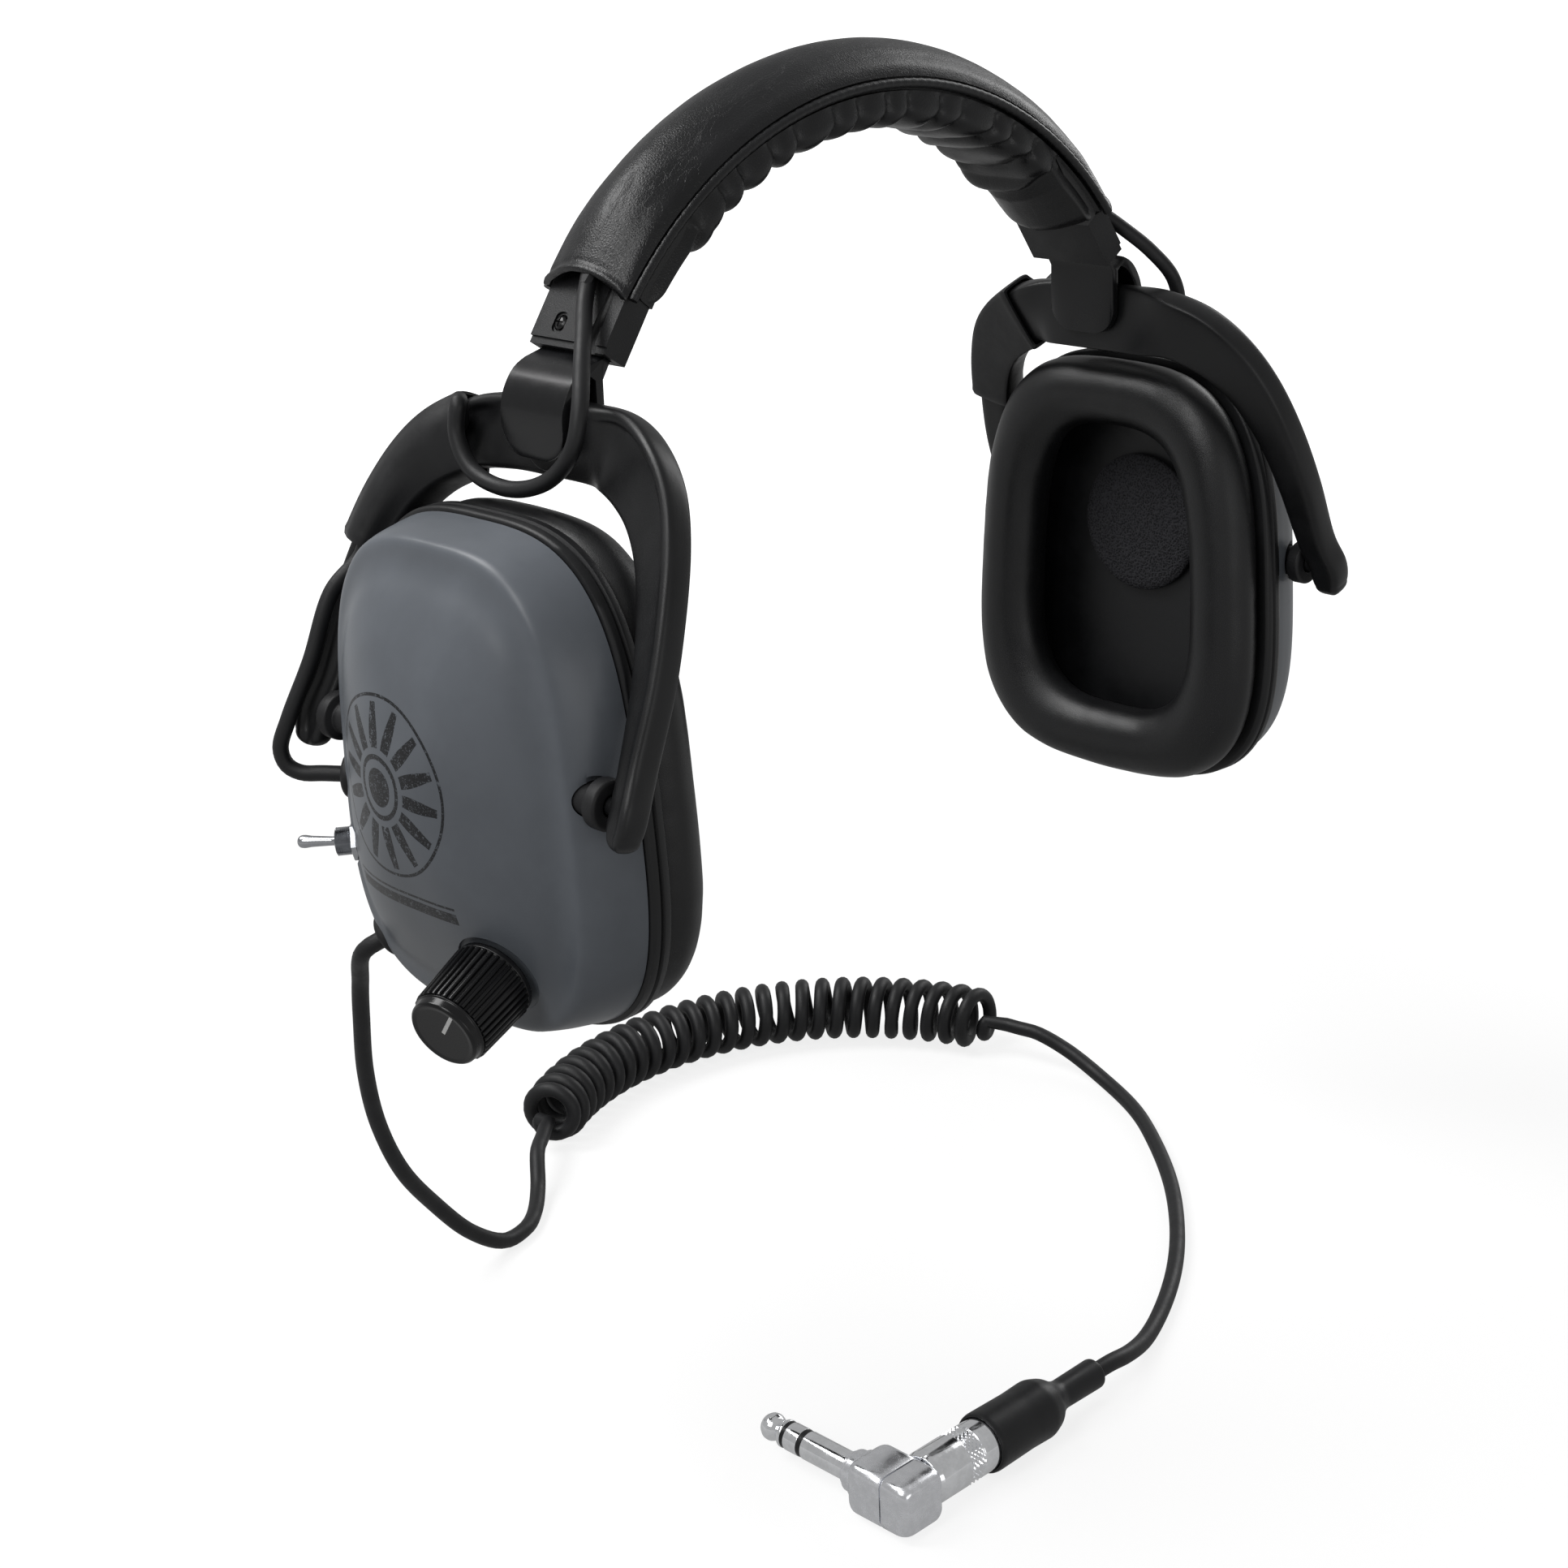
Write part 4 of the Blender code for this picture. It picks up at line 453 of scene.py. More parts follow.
def rubber(name, colour, roughness, streaks):
    """Matte cable rubber or shrink sleeving, slightly dusty."""
    recipe = Recipe(name, Specular_IOR_Level=0.36)
    dust = recipe.noise(240.0, 6.0, 0.75)
    fine = recipe.noise(2400.0, 3.0, 0.6)
    broad = recipe.noise(70.0, 3.0, 0.55)
    base = recipe.mix(broad.span(0.3, 0.7), shade(colour, 0.85), shade(colour, 1.2))
    base = recipe.mix(dust.span(0.62, 0.82, 0.0, 0.10), base, (0.07, 0.07, 0.074, 1.0))
    recipe.feed("Base Color", base)
    recipe.feed("Roughness", dust.span(0.3, 0.7, roughness - 0.05, roughness + 0.08))
    recipe.relief(fine * 0.5 + broad * streaks, 0.00003)
    return recipe.material


def metal(name, colour, roughness, smudge, brush):
    """Plated or brushed metal with handling marks."""
    recipe = Recipe(name, Metallic=1.0)
    marks = recipe.noise(420.0, 5.0, 0.7)
    hairs = recipe.noise(900.0, 4.0, 0.7, recipe.place(scale=brush))
    recipe.feed("Base Color", recipe.mix(marks.span(0.3, 0.75), shade(colour, 0.90), shade(colour, 1.04)))
    recipe.feed("Roughness", marks.span(0.35, 0.75, roughness, roughness + smudge) + hairs * 0.04)
    recipe.relief(hairs * 0.5 + marks * 0.5, 0.0000015)
    return recipe.material


def open_foam(name, colour):
    """Open-celled foam: deep little pits."""
    recipe = Recipe(name, Roughness=0.95, Specular_IOR_Level=0.15)
    pits = recipe.cells(1700.0)
    # painted shade: each pit is painted much darker towards its bottom
    recipe.feed("Base Color", recipe.mix(pits.span(0.1, 0.6), shade(colour, 0.35), shade(colour, 1.2)))
    recipe.relief(pits, 0.00030)
    return recipe.material


def flat_paint(name, colour, roughness):
    """A small painted or pressed surface with slight unevenness."""
    recipe = Recipe(name)
    fine = recipe.noise(1500.0, 3.0, 0.6)
    recipe.feed("Base Color", recipe.mix(fine, shade(colour, 0.92), shade(colour, 1.05)))
    recipe.feed("Roughness", fine.span(0.2, 0.8, roughness - 0.05, roughness + 0.05))
    recipe.relief(fine, 0.00001)
    return recipe.material


FINISHES = {}


def make_finishes(look):
    """All the materials, by name."""
    black = (0.0062, 0.0064, 0.0072)
    made = {
        "dome_right": painted_dome("dome_paint_printed", look.dome_colour, look.print_on),
        "dome_left": painted_dome("dome_paint_plain", look.dome_colour, False),
        "plastic": moulded_black("moulded_black", black, 0.40, 0.000020, 0.10),
        "block": moulded_black("grained_black", (0.0080, 0.0083, 0.0092), 0.46, 0.000060, 0.08),
        "strap": moulded_black("satin_black", black, 0.22, 0.000006, 0.16),
        "yoke": moulded_black("yoke_black", (0.0075, 0.0077, 0.0084), 0.36, 0.000022, 0.22),
        "knob": moulded_black("gloss_black", (0.0040, 0.0040, 0.0046), 0.20, 0.000006, 0.05),
        "cover": leather("band_leather", look.leather_colour, 0.9, 0.55),
        "pad": leather("pad_leather", look.leather_colour, 0.5, 0.35),
        "vinyl": vinyl("cushion_vinyl", (0.0048, 0.0050, 0.0056)),
        "cable": rubber("cable_rubber", look.cable_colour, 0.50, 0.1),
        "shrink": rubber("shrink_sleeving", (0.0075, 0.0077, 0.0086), 0.40, 0.5),
        "grommet": rubber("grommet_rubber", (0.0085, 0.0085, 0.0095), 0.55, 0.2),
        "chrome": metal("bright_plate", (0.93, 0.94, 0.96), 0.07, 0.10, (1, 1, 1)),
        "switch_metal": metal("switch_plate", (0.42, 0.43, 0.45), 0.12, 0.10, (1, 1, 1)),
        "cast": metal("cast_plate", (0.88, 0.89, 0.92), 0.18, 0.14, (1, 1, 1)),
        "steel": metal("spring_steel", (0.50, 0.50, 0.52), 0.28, 0.12, (1, 12, 1)),
        "foam": open_foam("ear_foam", (0.030, 0.030, 0.033)),
        "paper": flat_paint("cone_paper", (0.030, 0.028, 0.025), 0.85),
        "white": flat_paint("white_line", (0.80, 0.80, 0.79), 0.50),
    }
    FINISHES.update(made)


# ---- mesh tools ------------------------------------------------------------------------------


def skin(rings, closed_path=False, caps=True):
    """Points and faces through rings of equal point counts."""
    rings = np.asarray(rings, float)
    count, across = rings.shape[:2]
    points = rings.reshape(-1, 3)
    faces = []
    spans = count if closed_path else count - 1
    for i in range(spans):
        a, b = i * across, ((i + 1) % count) * across
        for k in range(across):
            n = (k + 1) % across
            faces.append((a + k, a + n, b + n, b + k))
    if caps and not closed_path:
        faces.append(tuple(reversed(range(across))))
        faces.append(tuple(range(len(points) - across, len(points))))
    return points, faces


def facing_out(points, faces):
    """The faces, turned round if they enclose a negative volume."""
    volume = 0.0
    middle = points.mean(axis=0)
    for face in faces:
        corners = points[list(face)] - middle
        for i in range(1, len(face) - 1):
            volume += float(np.dot(corners[0], np.cross(corners[i], corners[i + 1])))
    return faces if volume > 0 else [tuple(reversed(face)) for face in faces]


def mesh_piece(name, points, faces, finish, sharp=40.0):
    """An object at the origin with its place in its mesh."""
    mesh = bpy.data.meshes.new(name)
    mesh.from_pydata([tuple(map(float, point)) for point in points], [], faces)
    mesh.shade_smooth()
    mesh.set_sharp_from_angle(angle=math.radians(sharp))
    mesh.materials.append(FINISHES[finish])
    piece = bpy.data.objects.new(name, mesh)
    bpy.context.collection.objects.link(piece)
    return piece


def loft(name, rings, finish, side=LEFT, closed_path=False, matrix=None, sharp=40.0):
    """A closed piece through rings in (u, y, z), mirrored to its side, then placed."""
    points, faces = skin(rings, closed_path)
    points = points * np.array([side, 1, 1])
    if matrix is not None:
        points = moved(points, matrix)
    return mesh_piece(name, points, facing_out(points, faces), finish, sharp)


def moved(points, matrix):
    """Points taken through a matrix."""
    matrix = np.array(matrix)
    return np.asarray(points, float) @ matrix[:3, :3].T + matrix[:3, 3]


def made_plain(piece, sharp=40.0):
    """Replaces a piece's mesh by what its modifiers make of it."""
    bpy.context.view_layer.update()
    graph = bpy.context.evaluated_depsgraph_get()
    mesh = bpy.data.meshes.new_from_object(piece.evaluated_get(graph))
    old = piece.data
    piece.modifiers.clear()
    piece.data = mesh
    mesh.name = piece.name
    bpy.data.meshes.remove(old)
    mesh.shade_smooth()
    mesh.set_sharp_from_angle(angle=math.radians(sharp))
    return piece


def bevelled(piece, width, segments=3, angle=30.0, sharp=40.0):
    """Rounds a piece's edges."""
    bevel = piece.modifiers.new("round", "BEVEL")
    bevel.width = width
    bevel.segments = segments
    bevel.limit_method = "ANGLE"
    bevel.angle_limit = math.radians(angle)
    bevel.harden_normals = False
    return made_plain(piece, sharp)


def carved(piece, tools):
    """Takes closed shapes, given as points and faces, from a piece."""
    for points, faces in tools:
        mesh = bpy.data.meshes.new("tool")
        mesh.from_pydata([tuple(map(float, point)) for point in points], [], facing_out(points, faces))
        mesh.materials.append(piece.data.materials[0])
        tool = bpy.data.objects.new("tool", mesh)
        bpy.context.collection.objects.link(tool)
        cut = piece.modifiers.new("cut", "BOOLEAN")
        cut.solver = "EXACT"
        cut.object = tool
        made_plain(piece)
        bpy.data.objects.remove(tool, do_unlink=True)
        bpy.data.meshes.remove(mesh)
    return piece


def turned(profile, steps):
    """Rings about local Z from (radius, z) pairs."""
    angles = np.linspace(0, 2 * math.pi, steps, endpoint=False)
    rings = []
    for radius, z in profile:
        rings.append(np.stack([radius * np.cos(angles), radius * np.sin(angles), np.full(steps, z)], axis=1))
    return np.array(rings)


def eased(profile, radius, segments=4):
    """A profile with its corners rounded, for turning."""
    line = np.array(profile, float)
    made = [line[0]]
    for before, corner, after in zip(line[:-2], line[1:-1], line[2:]):
        into, onward = before - corner, after - corner
        room = min(radius, 0.45 * np.linalg.norm(into), 0.45 * np.linalg.norm(onward))
        start = corner + into / (np.linalg.norm(into) + 1e-12) * room
        end = corner + onward / (np.linalg.norm(onward) + 1e-12) * room
        for t in np.linspace(0, 1, segments + 1):
            made.append((1 - t) ** 2 * start + 2 * t * (1 - t) * corner + t**2 * end)
    made.append(line[-1])
    return [tuple(point) for point in made]


def lathe(name, profile, finish, matrix, steps=64, ease=0.0003, closed_path=False, sharp=35.0):
    """A turned piece with eased corners, placed by a matrix."""
    if closed_path:
        line = [*profile, profile[0], profile[1]]
        profile = eased(line, ease)[1:-1] if ease else profile
        profile = profile[:-1] if ease and np.allclose(profile[0], profile[-1]) else profile
    elif ease:
        profile = eased(profile, ease)
    return loft(name, turned(profile, steps), finish, closed_path=closed_path, matrix=matrix, sharp=sharp)


def bored(profile, bore):
    """A turned profile closed along a bore right through it."""
    return [*profile, (bore, profile[-1][1]), (bore, profile[0][1])]


def smooth_route(route, spacing=None, count=None):
    """Points at an even spacing on a smooth curve through rows of numbers."""
    route = np.array(route, float)
    knots = np.concatenate([[0], np.cumsum(np.linalg.norm(np.diff(route, axis=0), axis=1) ** 0.5)])
    slopes = np.gradient(route, knots, axis=0)
    fine = []
    for i in range(len(route) - 1):
        width = knots[i + 1] - knots[i]
        for t in np.linspace(0, 1, 24, endpoint=False):
            h = (2 * t**3 - 3 * t**2 + 1, t**3 - 2 * t**2 + t, -2 * t**3 + 3 * t**2, t**3 - t**2)
            fine.append(
                h[0] * route[i] + h[1] * width * slopes[i]
                + h[2] * route[i + 1] + h[3] * width * slopes[i + 1]
            )
    fine = np.array([*fine, route[-1]])
    along = np.concatenate([[0], np.cumsum(np.linalg.norm(np.diff(fine, axis=0), axis=1))])
    count = count or max(3, round(along[-1] / spacing)) + 1
    wanted = np.linspace(0, along[-1], count)
    return np.stack([np.interp(wanted, along, fine[:, k]) for k in range(route.shape[1])], axis=1)


def tube_rings(points, radii, sides=24):
    """Round rings along a line, without twist."""
    points = np.array(points, float)
    way = np.gradient(points, axis=0)
    way /= np.linalg.norm(way, axis=1)[:, None]
    normal = np.cross(way[0], [0.0, 0.0, 1.0] if abs(way[0][2]) < 0.9 else [1.0, 0.0, 0.0])
    radii = np.broadcast_to(radii, len(points))
    rings = []
    angles = np.linspace(0, 2 * math.pi, sides, endpoint=False)
    for point, ahead, radius in zip(points, way, radii):
        normal = normal - ahead * np.dot(normal, ahead)
        normal /= np.linalg.norm(normal)
        other = np.cross(ahead, normal)
        rings.append(point + radius * (np.cos(angles)[:, None] * normal + np.sin(angles)[:, None] * other))
    return rings


def rounded_loop(points, times=2):
    """A closed outline with its corners cut twice, so that it reads as rounded."""
    points = np.array(points, float)
    for _ in range(times):
        after = np.roll(points, -1, axis=0)
        pairs = [0.75 * points + 0.25 * after, 0.25 * points + 0.75 * after]
        points = np.stack(pairs, axis=1).reshape(-1, points.shape[1])
    return points


def ripple(place, scale, seed=0.0):
    """Smooth noise from -1 to 1 at a place."""
    x, y, z = (scale * value for value in place)
    return noise.noise(Vector((x + seed, y - seed, z + 0.5 * seed)))


def around(count, radius, rows, pitch, stagger, unit, finish, name, matrix):
    """Copies of a small unit mesh set round an axis in rows, made with geometry nodes."""
    points, faces = unit
    piece = mesh_piece(name, points, faces, finish)
    tree = bpy.data.node_groups.new(f"{name}_ring", "GeometryNodeTree")
    sockets = (("Geometry", "NodeSocketGeometry"), ("Count", "NodeSocketInt"), ("Radius", "NodeSocketFloat"))
    sockets += (("Rows", "NodeSocketInt"), ("Pitch", "NodeSocketFloat"), ("Stagger", "NodeSocketFloat"))
    sockets += (("Finish", "NodeSocketMaterial"),)
    for label, kind in sockets:
        tree.interface.new_socket(label, in_out="INPUT", socket_type=kind)
    tree.interface.new_socket("Geometry", in_out="OUTPUT", socket_type="NodeSocketGeometry")

    def add(kind, links, **settings):
        node = tree.nodes.new(kind)
        for key, value in settings.items():
            setattr(node, key, value)
        for key, value in links.items():
            if hasattr(value, "is_linked"):
                tree.links.new(value, node.inputs[key])
            else:
                node.inputs[key].default_value = value
        return node

    given = add("NodeGroupInput", {}).outputs
    ring = add("GeometryNodeMeshCircle", {"Vertices": given["Count"], "Radius": given["Radius"]})
    place = add("ShaderNodeSeparateXYZ", {0: add("GeometryNodeInputPosition", {}).outputs[0]}).outputs
    turn = add("ShaderNodeMath", {0: place["Y"], 1: place["X"]}, operation="ARCTAN2").outputs[0]
    spin = add("ShaderNodeCombineXYZ", {"Z": turn}).outputs[0]
    links = {"Points": ring.outputs[0], "Instance": given["Geometry"], "Rotation": spin}
    one_row = add("GeometryNodeInstanceOnPoints", links).outputs[0]
    step = add("ShaderNodeCombineXYZ", {"Z": given["Pitch"]}).outputs[0]
    line = add("GeometryNodeMeshLine", {"Count": given["Rows"], "Offset": step}).outputs[0]
    index = add("GeometryNodeInputIndex", {}).outputs[0]
    lag = add("ShaderNodeMath", {0: index, 1: given["Stagger"]}, operation="MULTIPLY").outputs[0]
    offset = add("ShaderNodeCombineXYZ", {"Z": lag}).outputs[0]
    rows_of = add(
        "GeometryNodeInstanceOnPoints", {"Points": line, "Instance": one_row, "Rotation": offset}
    ).outputs[0]
    real = add("GeometryNodeRealizeInstances", {"Geometry": rows_of}).outputs[0]
    done = add("GeometryNodeSetMaterial", {"Geometry": real, "Material": given["Finish"]}).outputs[0]
    add("NodeGroupOutput", {0: done})
    modifier = piece.modifiers.new("ring", "NODES")
    modifier.node_group = tree
    values = {"Count": count, "Radius": radius, "Rows": rows, "Pitch": pitch, "Stagger": stagger}
    for item in tree.interface.items_tree:
        if item.in_out == "INPUT" and item.name in values:
            modifier[item.identifier] = values[item.name]
        elif item.in_out == "INPUT" and item.name == "Finish":
            modifier[item.identifier] = FINISHES[finish]
    made_plain(piece)
    piece.data.transform(matrix)
    return piece


def keep(piece, body, slot, *nodes):
    """Sets what a finished piece rides on, its slot and the solids it stands for."""
    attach(piece, body)
    if nodes:
        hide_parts(*nodes)
    return piece


# ---- shapes shared with the solids -----------------------------------------------------------


def on_arc(angle, radius, y=0.0):
    """A point of the headband at an angle from the top, positive to the wearer's left."""
    return (radius * math.sin(angle), y, ARC_CENTRE_Z + radius * math.cos(angle))


MOUTH = Vector(on_arc(MOUTH_ANGLE, MOUTH_RADIUS))


def outline(grow_y, grow_z, u, sides=CUP_SIDES):
    """The cup's outline at depth u, grown or drawn in."""
    angle = 2 * math.pi * np.arange(sides) / sides
    c, s = np.cos(angle), np.sin(angle)
    y = np.sign(c) * np.abs(c) ** (2 / CUP_SQUARENESS)
    z = np.sign(s) * np.abs(s) ** (2 / CUP_SQUARENESS)
    y = y * (CUP_HALF_WIDTH + grow_y) * (1 - CUP_TAPER * z)
    return np.stack([np.full(sides, u), y, CUP_CENTRE_Z + (CUP_HALF_HEIGHT + grow_z) * z], axis=1)


def even_outline(grow_y, grow_z, u, sides):
    """The same outline with its points spread evenly along it."""
    fine = outline(grow_y, grow_z, u, 1440)
    loop = np.vstack([fine, fine[:1]])
    along = np.concatenate([[0], np.cumsum(np.linalg.norm(np.diff(loop, axis=0), axis=1))])
    wanted = np.linspace(0, along[-1], sides, endpoint=False)
    return np.stack([np.interp(wanted, along, loop[:, k]) for k in range(3)], axis=1)


def crown_sizes(scale, wall=0.0):
    u = -SEAM_INBOARD + RIDGE_DEPTH + CROWN_HEIGHT * (1 - scale**2) - wall
    grow_y = scale * (CUP_HALF_WIDTH - RIDGE_INSET_Y - wall) - CUP_HALF_WIDTH
    grow_z = scale * (CUP_HALF_HEIGHT - RIDGE_INSET_Z - wall) - CUP_HALF_HEIGHT
    return grow_y, grow_z, u


def wall_sizes(shape, wall=0.0):
    depth, inset = shape
    return -RIDGE_INSET_Y * inset - wall, -RIDGE_INSET_Z * inset - wall, RIDGE_DEPTH * depth - SEAM_INBOARD


def wall_inset(depth):
    return RIDGE_INSET_Y * float(np.interp(depth / RIDGE_DEPTH, *zip(*WALL_SHAPE)))


DOME_SIDE_Y = CUP_HALF_WIDTH - wall_inset(SEAM_INBOARD) - SIDE_FLAT_U
DOME_SKIN = [outline(*wall_sizes(shape)) for shape in WALL_SHAPE]
DOME_SKIN += [outline(*crown_sizes(scale)) for scale in CROWN_SCALES]
DOME_POINTS, DOME_FACES = skin(DOME_SKIN)
DOME_TREE = BVHTree.FromPolygons([tuple(point) for point in DOME_POINTS], DOME_FACES)


def on_dome(place, way=None):
    """A matrix where a fitting sits on the dome's skin, local Z pointing out of it."""
    spot, _, _, _ = DOME_TREE.find_nearest(Vector(place))
    if way is None:
        way = Vector((0, 0, 0))
        for i in range(12):
            beside = Vector((0, math.cos(i * math.pi / 6), math.sin(i * math.pi / 6)))
            near, normal, _, _ = DOME_TREE.find_nearest(spot + 0.0045 * beside)
            way += normal if normal.dot(near - Vector((-0.01, 0, CUP_CENTRE_Z))) > 0 else -normal
    way = way.normalized()
    upright = (Vector((0, 0, 1)) - way * way.z).normalized()
    turn = Matrix((upright.cross(way), upright, way)).transposed().to_4x4()
    return Matrix.Translation(spot) @ turn


def cup_matrix(side):
    return Matrix.Translation((side * PIVOT_U, 0, 0)) @ Matrix.Rotation(side * CUP_LEAN, 4, "Y")


def fitting_matrix(place, side, way=None):
    """A place on this side's dome, in the world, local Z pointing out of the dome."""
    matrix = on_dome(place, way)
    if side == RIGHT:
        flip = Matrix.Scale(-1, 4, Vector((1, 0, 0)))
        matrix = flip @ matrix @ flip
    return cup_matrix(side) @ matrix


def knob_way():
    flat = math.cos(KNOB_DROOP)
    return Vector((flat * math.cos(KNOB_TURN), flat * math.sin(KNOB_TURN), -math.sin(KNOB_DROOP)))


YOKE_STATIONS = (
    (PIN_U, 0.0, PIN_Z, 0.0170, 0.0),
    (PIN_U + 0.0002, 0.0125, PIN_Z, 0.0172, 0.0),
    (PIN_U + 0.0012, 0.0215, PIN_Z - 0.0006, 0.0176, 0.7),
    (PIN_U + 0.0034, 0.0300, PIN_Z - 0.0036, 0.0172, 1.0),
    (PIN_U + 0.0062, 0.0372, PIN_Z - 0.0090, 0.0156, 1.0),
    (PIN_U + 0.0100, 0.0427, PIN_Z - 0.0170, 0.0132, 1.0),
    (PIN_U + 0.0146, 0.0466, PIN_Z - 0.0280, 0.0112, 1.0),
    (PIN_U + 0.0196, 0.0490, PIN_Z - 0.0410, 0.0098, 1.0),
    (PIN_U + 0.0254, 0.0500, 0.0075, 0.0084, 1.0),
    (PIVOT_U, FORK_Y, 0.0, FORK_TIP_WIDTH, 1.0),
    (PIVOT_U + 0.0016, FORK_Y, -0.62 * FORK_TIP_DROP, 0.9 * FORK_TIP_WIDTH, 0.8),
    (PIVOT_U + 0.0024, FORK_Y, -FORK_TIP_DROP, 0.5 * FORK_TIP_WIDTH, 0.5),
)
REAR_TRIM = (0.0, 0.0006, 0.0020, 0.0030, 0.0030, 0.0026, 0.0018, 0.0008, 0.0, 0.0, 0.0, 0.0)
CABLE_SEAT = YOKE_BEAD_WIDTH + CABLE_RADIUS + 0.0004


def yoke_frames():
    """(middle, outward, normal, width, bead) at each station from front tip to rear tip."""
    line = [(Vector((u, -y, z)), width, bead * YOKE_BEAD) for u, y, z, width, bead in YOKE_STATIONS[:0:-1]]
    line += [(Vector((u, y, z)), width, bead * YOKE_BEAD) for u, y, z, width, bead in YOKE_STATIONS]
    straight = YOKE_STATIONS[1][1] + 0.001
    frames = []
    for i, (middle, width, bead) in enumerate(line):
        before, after = line[max(i - 1, 0)][0], line[min(i + 1, len(line) - 1)][0]
        way = (after - before).normalized()
        lean = Vector((1.0, 0.0, 0.36)) if abs(middle.y) > straight else Vector((1.0, 0.0, 0.0))
        if abs(middle.y) < straight:
            way = Vector((0.0, 1.0, 0.0))
        outward = lean.cross(way).normalized()
        station = i - len(YOKE_STATIONS) + 1
        trim = REAR_TRIM[station] if station > 0 else 0.0
        normal = way.cross(outward).normalized()
        frames.append((middle - 0.5 * trim * outward, outward, normal, width - trim, bead))
    return frames


def fine_frames(frames, steps):
    """The frames with that many steps from each to the next, on a smooth path."""
    rows = np.array([[*m, *o, *n, w, b] for m, o, n, w, b in frames])
    slopes = np.gradient(rows, axis=0)
    made = []
    for i in range(len(rows) - 1):
        for t in np.linspace(0, 1, steps, endpoint=False):
            h = (2 * t**3 - 3 * t**2 + 1, t**3 - 2 * t**2 + t, -2 * t**3 + 3 * t**2, t**3 - t**2)
            made.append(h[0] * rows[i] + h[1] * slopes[i] + h[2] * rows[i + 1] + h[3] * slopes[i + 1])
    made.append(rows[-1])
    ways = [(Vector(r[3:6]).normalized(), Vector(r[6:9]).normalized()) for r in made]
    return [(Vector(r[:3]), *way, r[9], max(r[10], 0.0)) for r, way in zip(made, ways)]


def yoke_section(frame, scale=1.0):
    """The flat web with its raised bead, corners rounded."""
    middle, outward, normal, width, bead = frame
    w, t, e = width / 2, YOKE_WEB / 2, 1.3 * YOKE_EDGE
    inner_bead = w - YOKE_BEAD_WIDTH
    section = [
        (-w, -t + e), (-w + e, -t), (0, -t), (w - e, -t), (w, -t + e), (w, t + bead - e),
        (w - e, t + bead)
    ]
    section += [(inner_bead + e, t + bead), (inner_bead, t), (-w + e, t), (-w, t - e)]
    section = rounded_loop(section, 2) * scale
    return [tuple(middle + a * outward + c * normal) for a, c in section.tolist()]


def sleeve_section(frame, grow):
    """The shrink sleeve's section round the arm and its cable."""
    middle, outward, normal, width, bead = frame
    w, t = width / 2 + SEAT_GAP + grow, YOKE_WEB / 2 + SEAT_GAP + grow
    high = YOKE_WEB / 2 + 2 * CABLE_RADIUS + 3 * SEAT_GAP + grow
    cable = width / 2 - CABLE_SEAT
    reach = CABLE_RADIUS + SEAT_GAP + grow
    e = YOKE_EDGE
    section = [
        (-w, -t + e), (-w + e, -t), (w - e, -t), (w, -t + e), (w, t + bead),
        (w - 0.0014, t + bead + 0.0006)
    ]
    section += [
        (cable + 0.8 * reach, high), (cable - 0.6 * reach, high), (-w + 2 * e, t + 0.0005),
        (-w, t - e)
    ]
    section = rounded_loop(section, 2)
    return [tuple(middle + a * outward + c * normal) for a, c in section.tolist()]


def in_sleeve(frames, i, share):
    """Where the cable lies on the yoke's web inside the sleeve."""
    a, b = frames[i], frames[i + 1]
    middle, outward, normal = (a[k].lerp(b[k], share) for k in range(3))
    width = a[3] + share * (b[3] - a[3])
    lift = YOKE_WEB / 2 + CABLE_RADIUS + SEAT_GAP
    return middle + (width / 2 - CABLE_SEAT) * outward.normalized() + lift * normal.normalized()


LOOP_ROUTE = (
    (0.0872, -0.0096, 0.0858),
    (0.0922, -0.0144, 0.0800),
    (0.0964, -0.0182, 0.0730),
    (0.0986, -0.0180, 0.0650),
    (0.0994, -0.0110, 0.0576),
    (0.0998, 0.0022, 0.0538),
    (0.1000, 0.0142, 0.0565),
    (0.0996, 0.0188, 0.0635),
    (0.0982, 0.0190, 0.0702),
)
DROP_ROUTE = (
    (0.1140, 0.0478, 0.0270),
    (0.1198, 0.0498, 0.0120),
    (0.1246, 0.0528, -0.0005),
    (0.1263, 0.0545, -0.0075),
    (0.1256, 0.0536, -0.0113),
    (0.1238, 0.0511, -0.0130),
)
CORD_LIE = TABLE_Z + CORD_RADIUS
COIL_Z = TABLE_Z + COIL_RADIUS
DROP_TO_COIL = (
    (-0.1150, 0.0480, -0.0650),
    (-0.1128, 0.0520, -0.0760),
    (-0.1095, 0.0570, -0.0920),
    (-0.1040, 0.0615, -0.1090),
    (-0.0965, 0.0640, -0.1250),
    (-0.0870, 0.0655, -0.1380),
    (-0.0765, 0.0655, -0.1500),
    (-0.0660, 0.0660, -0.1570),
    (-0.0570, 0.0685, CORD_LIE),
    (-0.0500, 0.0735, CORD_LIE),
    (-0.0430, 0.0805, -0.1562),
)
LEAD_ROUTE = (
    (0.1074, 0.0270, -0.1538),
    (0.1052, 0.0120, -0.1573),
    (0.0970, -0.0060, CORD_LIE),
    (0.0850, -0.0225, CORD_LIE),
    (0.0690, -0.0405, CORD_LIE),
    (0.0510, -0.0565, CORD_LIE),
    (0.0350, -0.0680, CORD_LIE),
    (0.0190, -0.0770, CORD_LIE),
    (0.0040, -0.0838, -0.1570),
    (-0.0070, -0.0874, -0.1547),
)


def on_coil_arc(angle, inward=0.0, z=COIL_Z):
    radius = COIL_ARC_RADIUS - inward
    return Vector(
        (COIL_ARC_CENTRE[0] + radius * math.cos(angle), COIL_ARC_CENTRE[1] + radius * math.sin(angle), z)
    )


